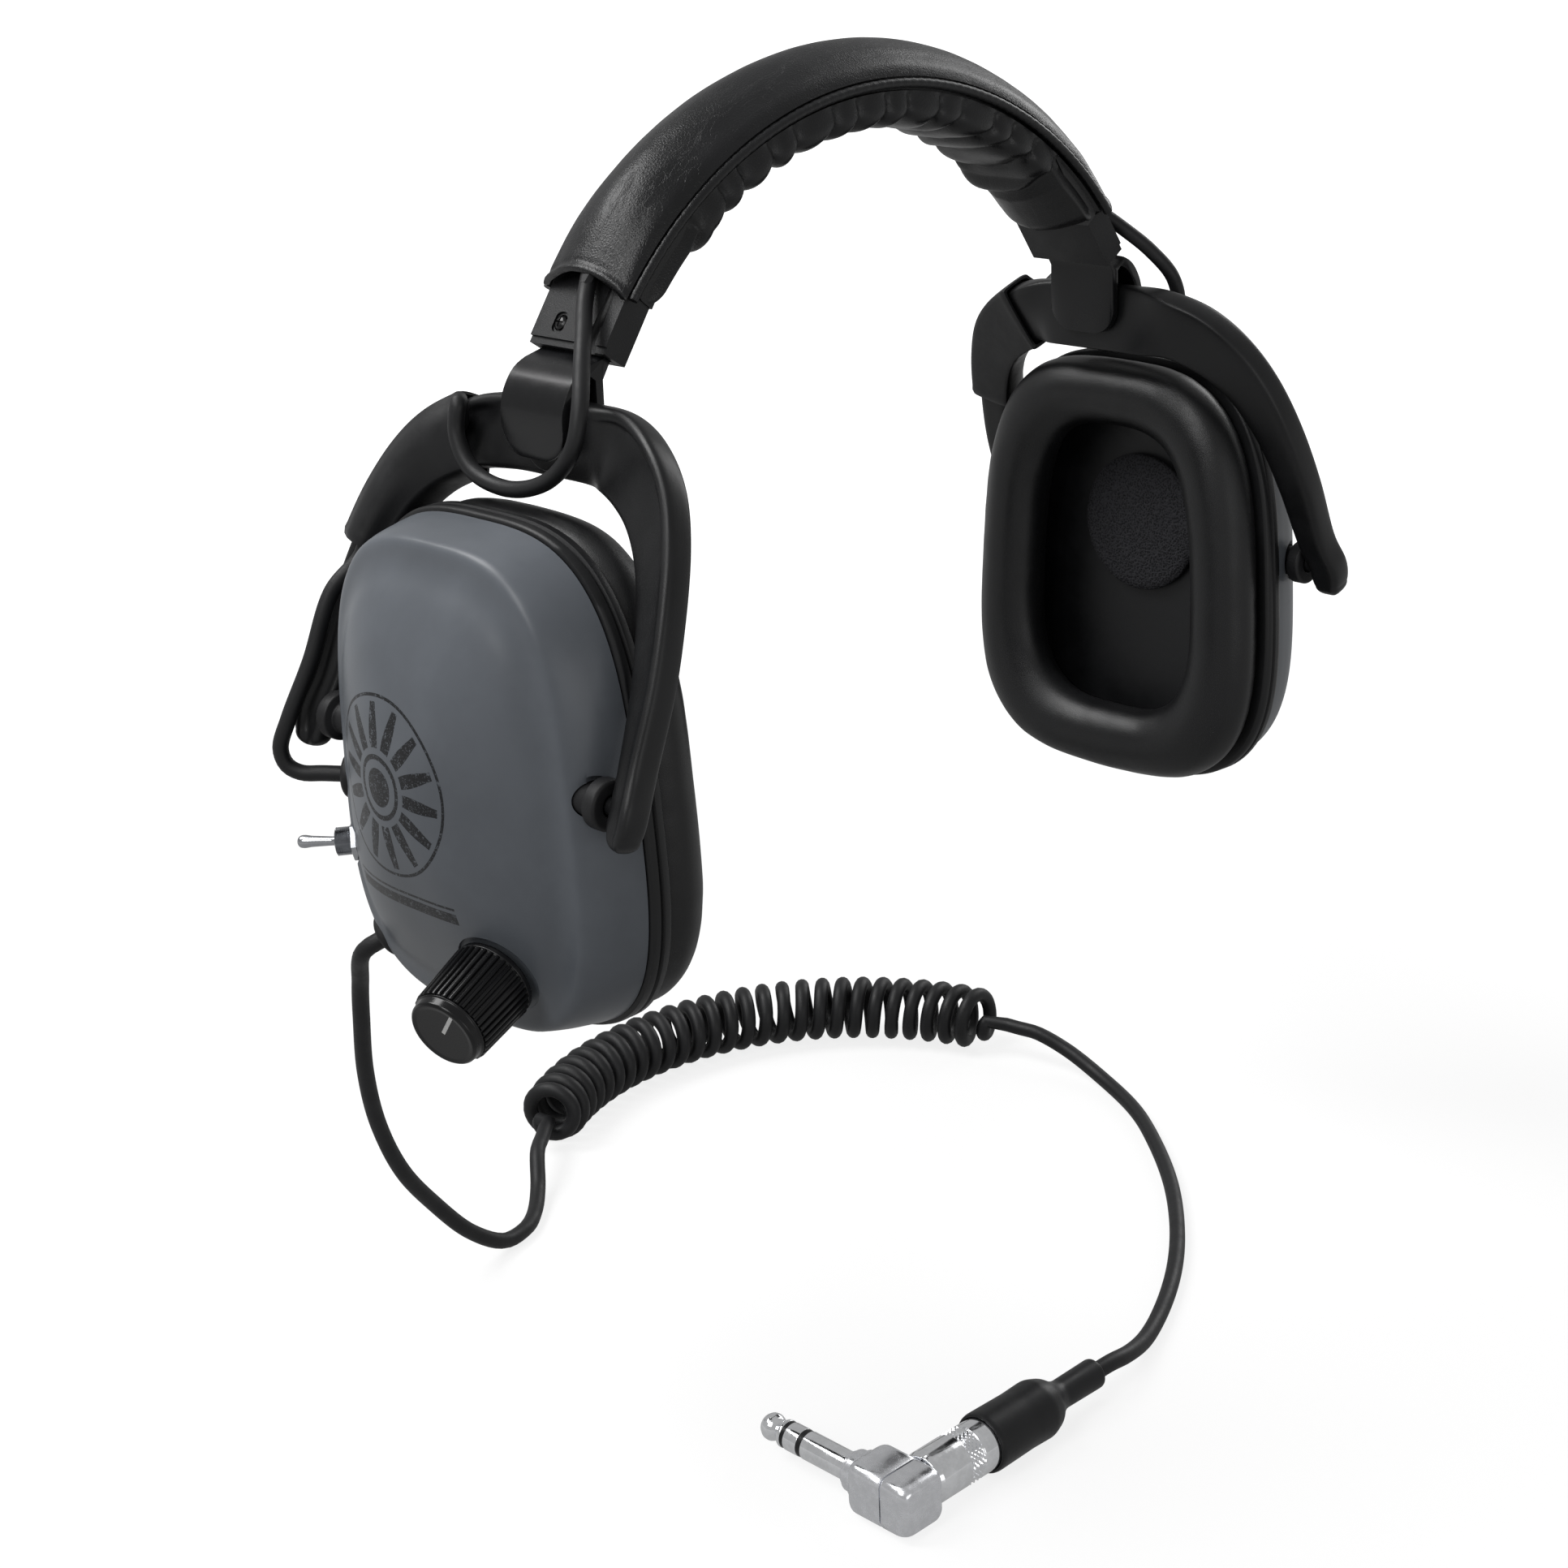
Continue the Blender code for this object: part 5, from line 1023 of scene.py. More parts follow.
def coil_points(per_turn):
    """The curls of the coiled lead."""
    mean = COIL_RADIUS - CORD_RADIUS
    count = COIL_TURNS * per_turn
    ramp = 1.1 * per_turn
    ahead = 2.2 * CORD_RADIUS / COIL_ARC_RADIUS
    points = [on_coil_arc(COIL_START + 2 * ahead), on_coil_arc(COIL_START + ahead)]
    for i in range(count + 1):
        angle = COIL_START + (COIL_END - COIL_START) * i / count
        swell = min(1.0, i / ramp, (count - i) / ramp)
        turn = 2 * math.pi * i / per_turn + math.pi / 2
        radius = mean * math.sin(swell * math.pi / 2)
        points.append(on_coil_arc(angle, radius * math.cos(turn), COIL_Z + radius * math.sin(turn)))
    points += [on_coil_arc(COIL_END - ahead), on_coil_arc(COIL_END - 2 * ahead)]
    return points


# ---- headband --------------------------------------------------------------------------------


def soft_arch(count, half_width, low, high, spread=1.0):
    """(y, radius) pairs over the cover's arch from its front edge to its rear edge."""
    knots_y = (-1.0, -0.985, -0.90, -0.71, -0.45, 0.0, 0.45, 0.71, 0.90, 0.985, 1.0)
    knots_r = (0.0, 0.07, 0.30, 0.54, 0.80, 1.0, 0.80, 0.54, 0.30, 0.07, 0.0)
    row = smooth_route(
        np.stack([np.array(knots_y) * half_width * spread, low + (high - low) * np.array(knots_r)], axis=1),
        count=count
    )
    return row


def hem_press(from_hem):
    """How much of its crown the cover keeps near a hem, where it lies on the housing."""
    return 1 - 0.40 * math.exp(-((from_hem / 0.012) ** 2))


def cover_rings(look):
    """The leather cover: arched, hugging the housings, with rolled hems and soft creases."""
    across, steps = 56, 300
    outer = soft_arch(across, COVER_HALF_WIDTH, COVER_EDGE_RADIUS, COVER_CROWN_RADIUS)
    rings = []
    for i in range(steps + 1):
        share = 2 * i / steps - 1
        ring = []
        for y, radius in outer:
            arch = 1 - (y / COVER_HALF_WIDTH) ** 2
            reach = COVER_HALF_ANGLE - math.radians(1.3) * arch + math.radians(0.5) * max(
                0.0, -y / COVER_HALF_WIDTH
            ) ** 6
            angle = share * reach
            from_hem = (1 - abs(share)) * reach * radius
            radius = COVER_EDGE_RADIUS + (radius - COVER_EDGE_RADIUS) * hem_press(from_hem)
            roll = 0.00030 * math.exp(
                -(((from_hem - 0.0007) / 0.0007) ** 2)
            ) - 0.00022 * math.exp(-(((from_hem - 0.0021) / 0.0006) ** 2))
            lie = (angle * 0.1, y, 0.0)
            crease = ripple((angle * 0.1, y * 2.2, radius), 95, 3.1) * 0.5 + ripple(lie, 210, 7.7) * 0.22
            pull = 0.25 + 0.75 * min(1.0, abs(share) ** 2 + 0.2)
            swell = 0.00034 * look.crease_depth * crease * pull * arch**0.3 + roll * arch**0.2
            sides = 1.0 + swell / COVER_HALF_WIDTH
            ring.append(on_arc(angle, radius + swell * 0.9, y * sides))
        for k in range(across - 1, -1, -1):
            y, radius = outer[k]
            arch = 1 - (y / COVER_HALF_WIDTH) ** 2
            reach = COVER_HALF_ANGLE - math.radians(1.3) * arch + math.radians(0.5) * max(
                0.0, -y / COVER_HALF_WIDTH
            ) ** 6
            from_hem = (1 - abs(share)) * reach * radius
            inward = COVER_WALL * (0.55 + 0.45 * arch) * (1 - 0.45 * math.exp(-((from_hem / 0.004) ** 2)))
            radius = COVER_EDGE_RADIUS + (radius - COVER_EDGE_RADIUS) * hem_press(from_hem)
            y_in = y * (1 - COVER_WALL * 0.9 / COVER_HALF_WIDTH)
            ring.append(on_arc(share * reach * 0.9995, max(COVER_EDGE_RADIUS, radius - inward), y_in))
        rings.append(ring)
    return rings


PLEATS = (-38.5, -32.0, -27.5, -21.0, -16.5, -10.0, -5.5, 0.8, 5.5, 12.0, 16.0, 22.5, 27.0, 33.0, 38.5)


def pleat(angle_deg, lag=0.0):
    """(pinch from 0 to 1, place between pleats from 0 to 1) at an angle."""
    places = np.array(PLEATS) + lag
    i = int(np.clip(np.searchsorted(places, angle_deg) - 1, 0, len(places) - 2))
    t = (angle_deg - places[i]) / (places[i + 1] - places[i])
    t = min(max(t, 0.0), 1.0)
    return 1 - abs(math.sin(math.pi * t)) ** 0.42, t


def pad_rings(look):
    """The gathered pad: puffs between pleats, pinched along both edges and rounded at its ends."""
    steps = 420
    full = math.degrees(COVER_HALF_ANGLE) - 1.0
    rings = []
    for i in range(steps + 1):
        degrees = full * (2 * i / steps - 1)
        angle = math.radians(degrees)
        face = MOUTH_RADIUS * math.cos(MOUTH_ANGLE - FACE_ANGLE) - HOUSING_THICKNESS / 2
        face /= math.cos(abs(angle) - FACE_ANGLE)
        over_strap = abs(angle) > SPRING_HALF_ANGLE - math.radians(7)
        top = face - 0.0005 if over_strap else SPRING_RADIUS - SPRING_THICKNESS / 2 - SEAT_GAP
        neck = HOUSING_HALF_WIDTH + SEAT_GAP if over_strap else COVER_HALF_WIDTH - COVER_WALL - SEAT_GAP
        shoulder = PAD_TOP_RADIUS - 0.0002
        from_end = (full - abs(degrees)) / 57.3 * 0.095
        close = math.sqrt(max(0.0, 1 - max(0.0, 1 - from_end / 0.0055) ** 2))
        plump = min(1.0, max(0.0, (abs(degrees) - 36.0) / 5.0))
        full_low = PIPING_RADIUS_OF_ARC - PAD_DEPTH - 0.0018 - 0.0042 * plump
        low = full_low + (1 - close) * max(0.0, face - 0.0022 - full_low)
        lip = PAD_HALF_WIDTH - 0.0002
        ring = [(-neck, top), (-neck, shoulder), (-lip, shoulder)]
        section = []
        for k in range(33):
            turn = math.pi * k / 32
            side = -math.cos(turn)
            lag = 1.1 * math.sin(3.0 * side + 0.7 * math.sin(degrees * 0.21))
            pinch, _ = pleat(degrees, lag)
            pinch *= look.pleat_depth
            edge = abs(side) ** 2.2
            puff = (PAD_HALF_WIDTH + (0.0018 + 0.0018 * plump) * close * math.sin(turn) ** 0.5)
            y = math.copysign(abs(side) ** 0.52, side) * puff
            y *= 1 - 0.20 * pinch * (1 - edge * 0.5) * abs(side)
            drop = math.sin(turn) ** 0.55
            depth = (shoulder - 0.0009 - low) * drop * (1 - (0.56 * abs(side) ** 0.8 + 0.16) * pinch * drop)
            wave = 0.00022 * ripple((angle * 0.1, y, 0.0), 160, 5.0) * drop
            section.append((y, shoulder - 0.0009 - depth + wave))
        ring += section + [(lip, shoulder), (neck, shoulder), (neck, top)]
        rings.append([on_arc(angle, radius, y) for y, radius in ring])
    return rings


def build_band(look):
    """The cover, the pad, the piping and the finishes of what they hide."""
    cover = loft("band_cover", cover_rings(look), "cover", sharp=70.0)
    keep(cover, "headband", "band_leather", "headband_cover")
    pad = loft("band_pad", pad_rings(look), "pad", sharp=70.0)
    keep(pad, "headband", "band_leather", "headband_pad")
    for name, way in (("front", -1), ("rear", 1)):
        angles = np.linspace(-COVER_HALF_ANGLE, COVER_HALF_ANGLE, 200)
        radii = PIPING_RADIUS * (0.93 + 0.05 * np.sin(angles * 240))
        line = [on_arc(a, PIPING_RADIUS_OF_ARC, way * (COVER_HALF_WIDTH + 0.0001)) for a in angles]
        piping = loft(f"band_piping_{name}", tube_rings(line, radii, 14), "pad")
        keep(piping, "headband", "band_leather", f"piping_{name}")
    for node, finish in (("headband_spring", "steel"), ("link_cable", "cable")):
        dress(node, finish)


def dress(node, finish, sharp=None):
    """Gives a solid that stays in view its finish, with its corners eased where asked."""
    solid = NODES[node]
    solid.data.materials.clear()
    solid.data.materials.append(FINISHES[finish])
    if sharp:
        weld = solid.modifiers.new("weld", "WELD")
        weld.merge_threshold = 0.000002
        ease = solid.modifiers.new("ease", "BEVEL")
        ease.width = sharp
        ease.segments = 2
        ease.limit_method = "ANGLE"
        ease.angle_limit = math.radians(32)


# ---- slider housings and straps --------------------------------------------------------------


def housing_outline():
    half = HOUSING_THICKNESS / 2
    low_out, low_in = MOUTH + half * OUT, MOUTH - half * OUT
    tang = MOUTH - HOUSING_LENGTH * DOWN
    turn = math.atan2(tang.x, tang.z - ARC_CENTRE_Z)
    points = [low_in, low_out, low_out - 0.92 * HOUSING_LENGTH * DOWN]
    for share in (0.25, 0.0):
        points.append(Vector(on_arc(turn + share * (MOUTH_ANGLE - turn), TANG_RADIUS)))
    points += [MOUTH - HOUSING_LENGTH * DOWN - 0.5 * half * OUT, low_in - 0.62 * HOUSING_LENGTH * DOWN]
    return [(point.x, point.z) for point in points]


def along_strap(side):
    """Local X outboard from the strap, local Y across it, local Z up the strap."""
    turn = Matrix.Rotation(-SLIDE_ANGLE, 4, "Y")
    mirror = Matrix.Rotation(math.pi, 4, "Z") if side == RIGHT else Matrix.Identity(4)
    return mirror @ Matrix.Translation(MOUTH) @ turn


def box_tool(section, low, high):
    rings = [[(x, y, z) for x, y in section] for z in (low, high)]
    return skin(rings)


def strap_outline(drop):
    """The strap's side view in (u, z): tail, hood and leaf, whose lower ends lie at a drop."""
    hood_u = PIN_U + YOKE_WEB / 2 + YOKE_BOSS + RUN_GAP + HOOD_THICKNESS / 2
    leaf_u = PIN_U - YOKE_WEB / 2 - RUN_GAP - STRAP_THICKNESS / 2
    low = PIN_Z - drop
    half = STRAP_THICKNESS / 2
    tail = MOUTH - STRAP_TAIL * DOWN
    hood = [
        (hood_u - 0.0078, PIN_Z + 0.0152), (hood_u - 0.0038, PIN_Z + 0.0132),
        (hood_u - 0.0012, PIN_Z + 0.0098)
    ]
    hood += [(hood_u - 0.0001, PIN_Z + 0.0065), (hood_u, low)]
    hood = smooth_route(hood, count=15)
    way = np.gradient(hood, axis=0)
    way /= np.linalg.norm(way, axis=1)[:, None]
    normal = np.stack([-way[:, 1], way[:, 0]], axis=1) * HOOD_THICKNESS / 2
    outer, inner = hood + normal, hood - normal
    top_out, top_in = tail + half * OUT, tail - half * OUT
    root_out = MOUTH + half * OUT + 0.0002 * DOWN
    root_in = MOUTH - half * OUT + 0.0010 * DOWN
    points = [(top_in.x, top_in.z), (top_out.x, top_out.z), (root_out.x, root_out.z)]
    points += [tuple(point) for point in outer[1:]]
    points += [tuple(point) for point in inner[:0:-1]]
    leaf_low = max(low, PIN_Z - HOOD_DROP)
    points += [(leaf_u + half, PIN_Z + 0.0126), (leaf_u + half, leaf_low), (leaf_u - half, leaf_low)]
    points += [(leaf_u - half, PIN_Z + 0.0125), (root_in.x, root_in.z)]
    return points


def rectangle(low, high, half):
    """A rectangle's corners, from low to high one way and half its width to each side."""
    return [(low, -half), (high, -half), (high, half), (low, half)]


def build_sliders(look):
    """Both housings with their flute and screw, and both straps with their round-cornered hoods."""
    for side in (RIGHT, LEFT):
        name = SIDE_NAMES[side]
        flat = housing_outline()
        rings = [[(u, y, z) for u, z in flat] for y in (-HOUSING_HALF_WIDTH, HOUSING_HALF_WIDTH)]
        housing = loft(f"housing_block_{name}", rings, "block", side)
        wide, thick = STRAP_HALF_WIDTH + RUN_GAP, STRAP_THICKNESS / 2 + RUN_GAP
        bevelled(housing, 0.0005, 3)
        section = rectangle(-thick, thick, wide)
        points, faces = box_tool(section, -0.01, HOUSING_LENGTH + 0.01)
        at = along_strap(side)
        face = HOUSING_THICKNESS / 2
        screw_at = at @ Matrix.Translation(
            (face, side * SCREW_SIDE, SCREW_UP)
        ) @ Matrix.Rotation(math.pi / 2, 4, "Y")
        hole = skin(turned([(SCREW_RADIUS + 0.0003, -0.0012), (SCREW_RADIUS + 0.0003, 0.002)], 32))
        oval = [
            (
                0.0013 * math.cos(a) + math.copysign(0.0011, math.cos(a)), 0.0019 * math.sin(a)
            ) for a in np.linspace(0.02, 2 * math.pi + 0.02, 28, endpoint=False)
        ]
        dish = box_tool(oval, -0.0005, 0.002)
        step = box_tool(rectangle(face - STEP_DEPTH, face + 0.01, 0.02), -0.002, STEP_HEIGHT)
        turns = np.linspace(0, 2 * math.pi, 24, endpoint=False)
        flute = skin([
            [(face + r * math.cos(a), FLUTE_SIDE * -side + r * math.sin(a), z) for a in turns]
            for r, z in ((FLUTE_RADIUS, -0.001), (FLUTE_END_RADIUS, 0.92 * HOUSING_LENGTH))
        ])
        cuts = [(points, faces, at), (*hole, screw_at), (*dish, screw_at), (*step, at), (*flute, at)]
        carved(housing, [(moved(p, where), f) for p, f, where in cuts])
        keep(housing, "headband", "black_plastic", f"slider_housing_{name}")
        head = [
            (0.0001, -0.0011), (SCREW_RADIUS, -0.0011), (SCREW_RADIUS, -0.0002), (0.0010, 0.0002),
            (0.0001, 0.0003)
        ]
        screw = lathe(f"housing_screw_head_{name}", head, "knob", screw_at, 32, 0.0001)
        slots = ((SLOT_HALF_LENGTH, SLOT_HALF_WIDTH), (SLOT_HALF_WIDTH, SLOT_HALF_LENGTH))
        recess = [box_tool(rectangle(-long, long, half), -SLOT_DEPTH, 0.002) for long, half in slots]
        carved(screw, [(moved(p, screw_at), f) for p, f in recess])
        keep(screw, "headband", "chrome_parts", f"housing_screw_{name}")

        slices = []
        for y in np.concatenate(
            [np.linspace(-1, -0.98, 3), np.linspace(-0.95, 0.95, 37), np.linspace(0.98, 1, 3)]
        ):
            y = float(y) * STRAP_HALF_WIDTH
            over = max(0.0, abs(y) - (STRAP_HALF_WIDTH - HOOD_CORNER))
            drop = HOOD_DROP - HOOD_CORNER + math.sqrt(max(0.0, HOOD_CORNER**2 - over**2))
            flat = strap_outline(max(drop, HOOD_DROP - HOOD_CORNER))
            slices.append([(u, y, z) for u, z in flat])
        strap = loft(f"slider_strap_body_{name}", slices, "strap", side, sharp=45)
        bevelled(strap, 0.00025, 2, 40)
        keep(strap, f"slider_{name}", "black_plastic", f"slider_strap_{name}")
        dress(f"swivel_pin_{name}", "steel")


# ---- yokes -----------------------------------------------------------------------------------


def build_yokes(look):
    """Both stirrups with their bead, boss and fork studs, and the sleeve on each rear arm."""
    frames = yoke_frames()
    fine = fine_frames(frames, 10)
    middle = len(YOKE_STATIONS) - 1
    for side in (RIGHT, LEFT):
        name = SIDE_NAMES[side]
        body = f"yoke_{name}"
        arm = fine[8:-8]
        rings = [yoke_section(frame) for frame in arm]
        for end in (0, -1):
            way = (arm[end][0] - arm[1 if end == 0 else -2][0]).normalized()
            caps = []
            for t in np.linspace(0.1, 1.0, 10):
                middle_cap, outward, normal, width, bead = arm[end]
                cap = (middle_cap + 0.0030 * math.sin(t * math.pi / 2) * way, outward, normal, width, bead)
                caps.append(shrunk(yoke_section(cap), math.cos(t * math.pi / 2) * 0.94 + 0.06))
            rings = [*caps[::-1], *rings] if end == 0 else [*rings, *caps]
        stirrup = loft(f"yoke_stirrup_{name}", rings, "yoke", side, sharp=50)
        across = Matrix.Translation((0, 0, PIN_Z)) @ Matrix.Rotation(side * math.pi / 2, 4, "Y")
        hole = skin(turned([(PIN_RADIUS + RUN_GAP, PIN_U - 0.01), (PIN_RADIUS + RUN_GAP, PIN_U + 0.01)], 32))
        carved(stirrup, [(moved(hole[0], across), hole[1])])
        keep(stirrup, body, "black_plastic", f"yoke_{name}")
        face = PIN_U + YOKE_WEB / 2
        disc = bored([(BOSS_RADIUS, face - 0.0006), (BOSS_RADIUS, face + YOKE_BOSS)], PIN_RADIUS + RUN_GAP)
        keep(lathe(f"yoke_boss_{name}", disc, "yoke", across, 48, 0.0004, True), body, "black_plastic")
        for end, sign in (("front", -1), ("rear", 1)):
            at = fork_matrix(side, sign)
            stud = lathe(
                f"fork_stud_{end}_{name}",
                [
                    (0.0001, DOME_SIDE_Y + SEAT_GAP), (STUD_RADIUS, DOME_SIDE_Y + SEAT_GAP),
                    (STUD_RADIUS, FORK_Y), (0.0001, FORK_Y)
                ],
                "yoke", at, 32, 0.0002
            )
            keep(stud, body, "black_plastic")
        covered = fine[10 * (middle + 2) + 3 : 10 * (middle + 6) + 1]
        count = len(covered)
        outside, inside = [], []
        for i, one in enumerate(covered):
            from_end = min(i, count - 1 - i)
            lip = 0.00022 * math.exp(-((from_end / 1.2) ** 2))
            wave = 0.00012 * ripple(one[0], 130, 2.0)
            outside.append(sleeve_section(one, SLEEVE_WALL + lip + wave - (0.0004 if from_end == 0 else 0)))
            inside.append(sleeve_section(one, 0.0003))
        sleeve = loft(
            f"arm_sleeve_{name}", outside + inside[::-1], "shrink", side, closed_path=True, sharp=60
        )
        keep(sleeve, body, "cable_rubber", f"yoke_sleeve_{name}")


def fork_matrix(side, sign):
    """The tilt axis of one cup, pointing to the front where sign is -1 and to the rear where it is 1."""
    return Matrix.Translation((side * PIVOT_U, 0, 0)) @ Matrix.Rotation(-sign * math.pi / 2, 4, "X")


def shrunk(ring, share):
    """A ring drawn in towards its middle."""
    ring = np.array(ring)
    centre = ring.mean(axis=0)
    return [tuple(point) for point in centre + share * (ring - centre)]


# ---- ear cups --------------------------------------------------------------------------------


def dome_rings(sides):
    """The shell from its inner rim over the ridge to the middle of the crown."""
    sizes = [wall_sizes(shape) for shape in WALL_SHAPE] + [
        crown_sizes(scale) for scale in (1.0, 0.93, 0.80, 0.62, 0.40, 0.20, 0.05)
    ]
    rows = np.array(sizes)
    fine = smooth_route(rows, count=76)
    at_ridge = np.linalg.norm(fine - np.array(crown_sizes(0.985)), axis=1)
    crest = RIDGE_CREST * np.exp(-((at_ridge / 0.0030) ** 2)) - 0.45 * RIDGE_CREST * np.exp(
        -(((at_ridge - 0.0075) / 0.0040) ** 2)
    )
    fine = fine + crest[:, None] * np.array([0.6, 0.6, 0.8])
    outer = [even_outline(gy, gz, u, sides) for gy, gz, u in fine]
    inner = [wall_sizes(WALL_SHAPE[i], DOME_WALL) for i in (0, 2)]
    inner += [crown_sizes(scale, DOME_WALL) for scale in (0.96, 0.72, 0.42, 0.10)]
    inner = [even_outline(gy, gz, u, sides) for gy, gz, u in smooth_route(inner, count=20)]
    lip = even_outline(-0.0003, -0.0003, -SEAM_INBOARD - 0.00012, sides)
    return inner[::-1] + [lip] + outer


def build_domes(look):
    """The painted shells with flat seats for their fittings."""
    for side in (RIGHT, LEFT):
        name = SIDE_NAMES[side]
        dome = loft(
            f"dome_shell_{name}", dome_rings(176), f"dome_{name}", side, matrix=cup_matrix(side),
            sharp=32
        )
        tools = []
        for sign in (-1, 1):
            at = fork_matrix(side, sign)
            radius, body = 0.0050, 0.0039
            profile = [
                (body, DOME_SIDE_Y - 0.010), (body, DOME_SIDE_Y), (radius, DOME_SIDE_Y),
                (radius, DOME_SIDE_Y + 0.01)
            ]
            tools.append((at, profile))
        seats = [(CABLE_ENTRY, None, GROMMET_RADIUS, GROMMET_NECK)]
        if side == RIGHT:
            seats.append((SWITCH_PLACE, None, NUT_ACROSS_FLATS / math.sqrt(3), BUSHING_RADIUS))
            seats.append((CORD_ENTRY, None, GROMMET_RADIUS, GROMMET_NECK))
            seats.append((KNOB_PLACE, knob_way(), KNOB_RADIUS, BUSHING_RADIUS + 0.0006))
        for place, way, radius, neck in seats:
            wide = radius + 0.0005
            profile = [
                (neck + SEAT_GAP, -0.014), (neck + SEAT_GAP, -SEAT_SINK), (wide, -SEAT_SINK),
                (wide + 0.0012, 0.006)
            ]
            tools.append((fitting_matrix(place, side, way), profile))
        shapes = []
        for matrix, profile in tools:
            points, faces = skin(turned(profile, 64))
            shapes.append((moved(points, matrix), faces))
        carved(dome, shapes)
        keep(dome, f"cup_{name}", "dome_plastic", f"dome_{name}")
        for node, finish in ((f"baffle_{name}", "plastic"), (f"speaker_{name}", "paper")):
            dress(node, finish)
        build_bushes(side)
        at = fitting_matrix(CABLE_ENTRY, side)
        keep(
            grommet(f"cable_grommet_ring_{name}", at, CABLE_RADIUS), f"cup_{name}", "cable_rubber",
            f"cable_grommet_{name}"
        )
        if side == RIGHT:
            at = fitting_matrix(CORD_ENTRY, side)
            keep(grommet("cord_grommet_ring", at, CORD_RADIUS), "cup_right", "cable_rubber", "cord_grommet")


def grommet(name, at, bore):
    """A rubber grommet with a rounded flange."""
    base = -SEAT_SINK + SEAT_GAP
    lip = -DOME_WALL - 0.0016
    profile = [(GROMMET_NECK, lip - 0.0012), (GROMMET_NECK, base), (GROMMET_RADIUS, base)]
    profile += [(GROMMET_RADIUS, base + 0.7 * GROMMET_FLANGE), (0.80 * GROMMET_RADIUS, base + GROMMET_FLANGE)]
    return lathe(name, bored(profile, bore + 0.00005), "grommet", at, 56, 0.0005, True)


def build_bushes(side):
    """The rubber bushes between the fork tips and the shell."""
    name = SIDE_NAMES[side]
    for end, sign in (("front", -1), ("rear", 1)):
        at = fork_matrix(side, sign)
        low = DOME_SIDE_Y + SEAT_GAP
        tip = FORK_Y - FORK_TIP_WIDTH / 2 - 2 * RUN_GAP
        profile = [
            (0.0036, low - 0.0036), (0.0036, tip - 0.0040), (BUSH_RADIUS, tip - 0.0034),
            (BUSH_RADIUS, tip - 0.0004)
        ]
        profile += [(BUSH_RADIUS - 0.0006, tip)]
        bush = lathe(
            f"bush_{end}_{name}", bored(profile, STUD_RADIUS + RUN_GAP), "grommet", at, 48, 0.0004,
            True
        )
        keep(bush, f"cup_{name}", "cable_rubber", f"pivot_bush_{end}_{name}")


def build_rims(look):
    """The black rims with their groove."""
    mid = -SEAM_INBOARD - SEAT_GAP - RIM_THICKNESS / 2
    out, inn = mid + RIM_THICKNESS / 2, mid - RIM_THICKNESS / 2
    proud = RIM_PROUD
    profile = [
        (proud - 0.0008, out), (proud - 0.0002, out - 0.0003), (proud, out - 0.0010),
        (proud, mid + 0.0006)
    ]
    profile += [(proud - RIM_GROOVE, mid + 0.0001), (proud - RIM_GROOVE, mid - 0.0001), (proud, mid - 0.0006)]
    profile += [(proud, inn + 0.0008), (proud - 0.0004, inn + 0.0002), (proud - 0.0010, inn)]
    profile += [(-RIM_LAND, inn), (-RIM_LAND, out)]
    for side in (RIGHT, LEFT):
        name = SIDE_NAMES[side]
        rings = [even_outline(g, g, u, 200) for g, u in profile]
        rim = loft(
            f"cup_rim_{name}", rings, "plastic", side, closed_path=True, matrix=cup_matrix(side),
            sharp=48
        )
        keep(rim, f"cup_{name}", "black_plastic", f"rim_{name}")


# ---- cushions --------------------------------------------------------------------------------


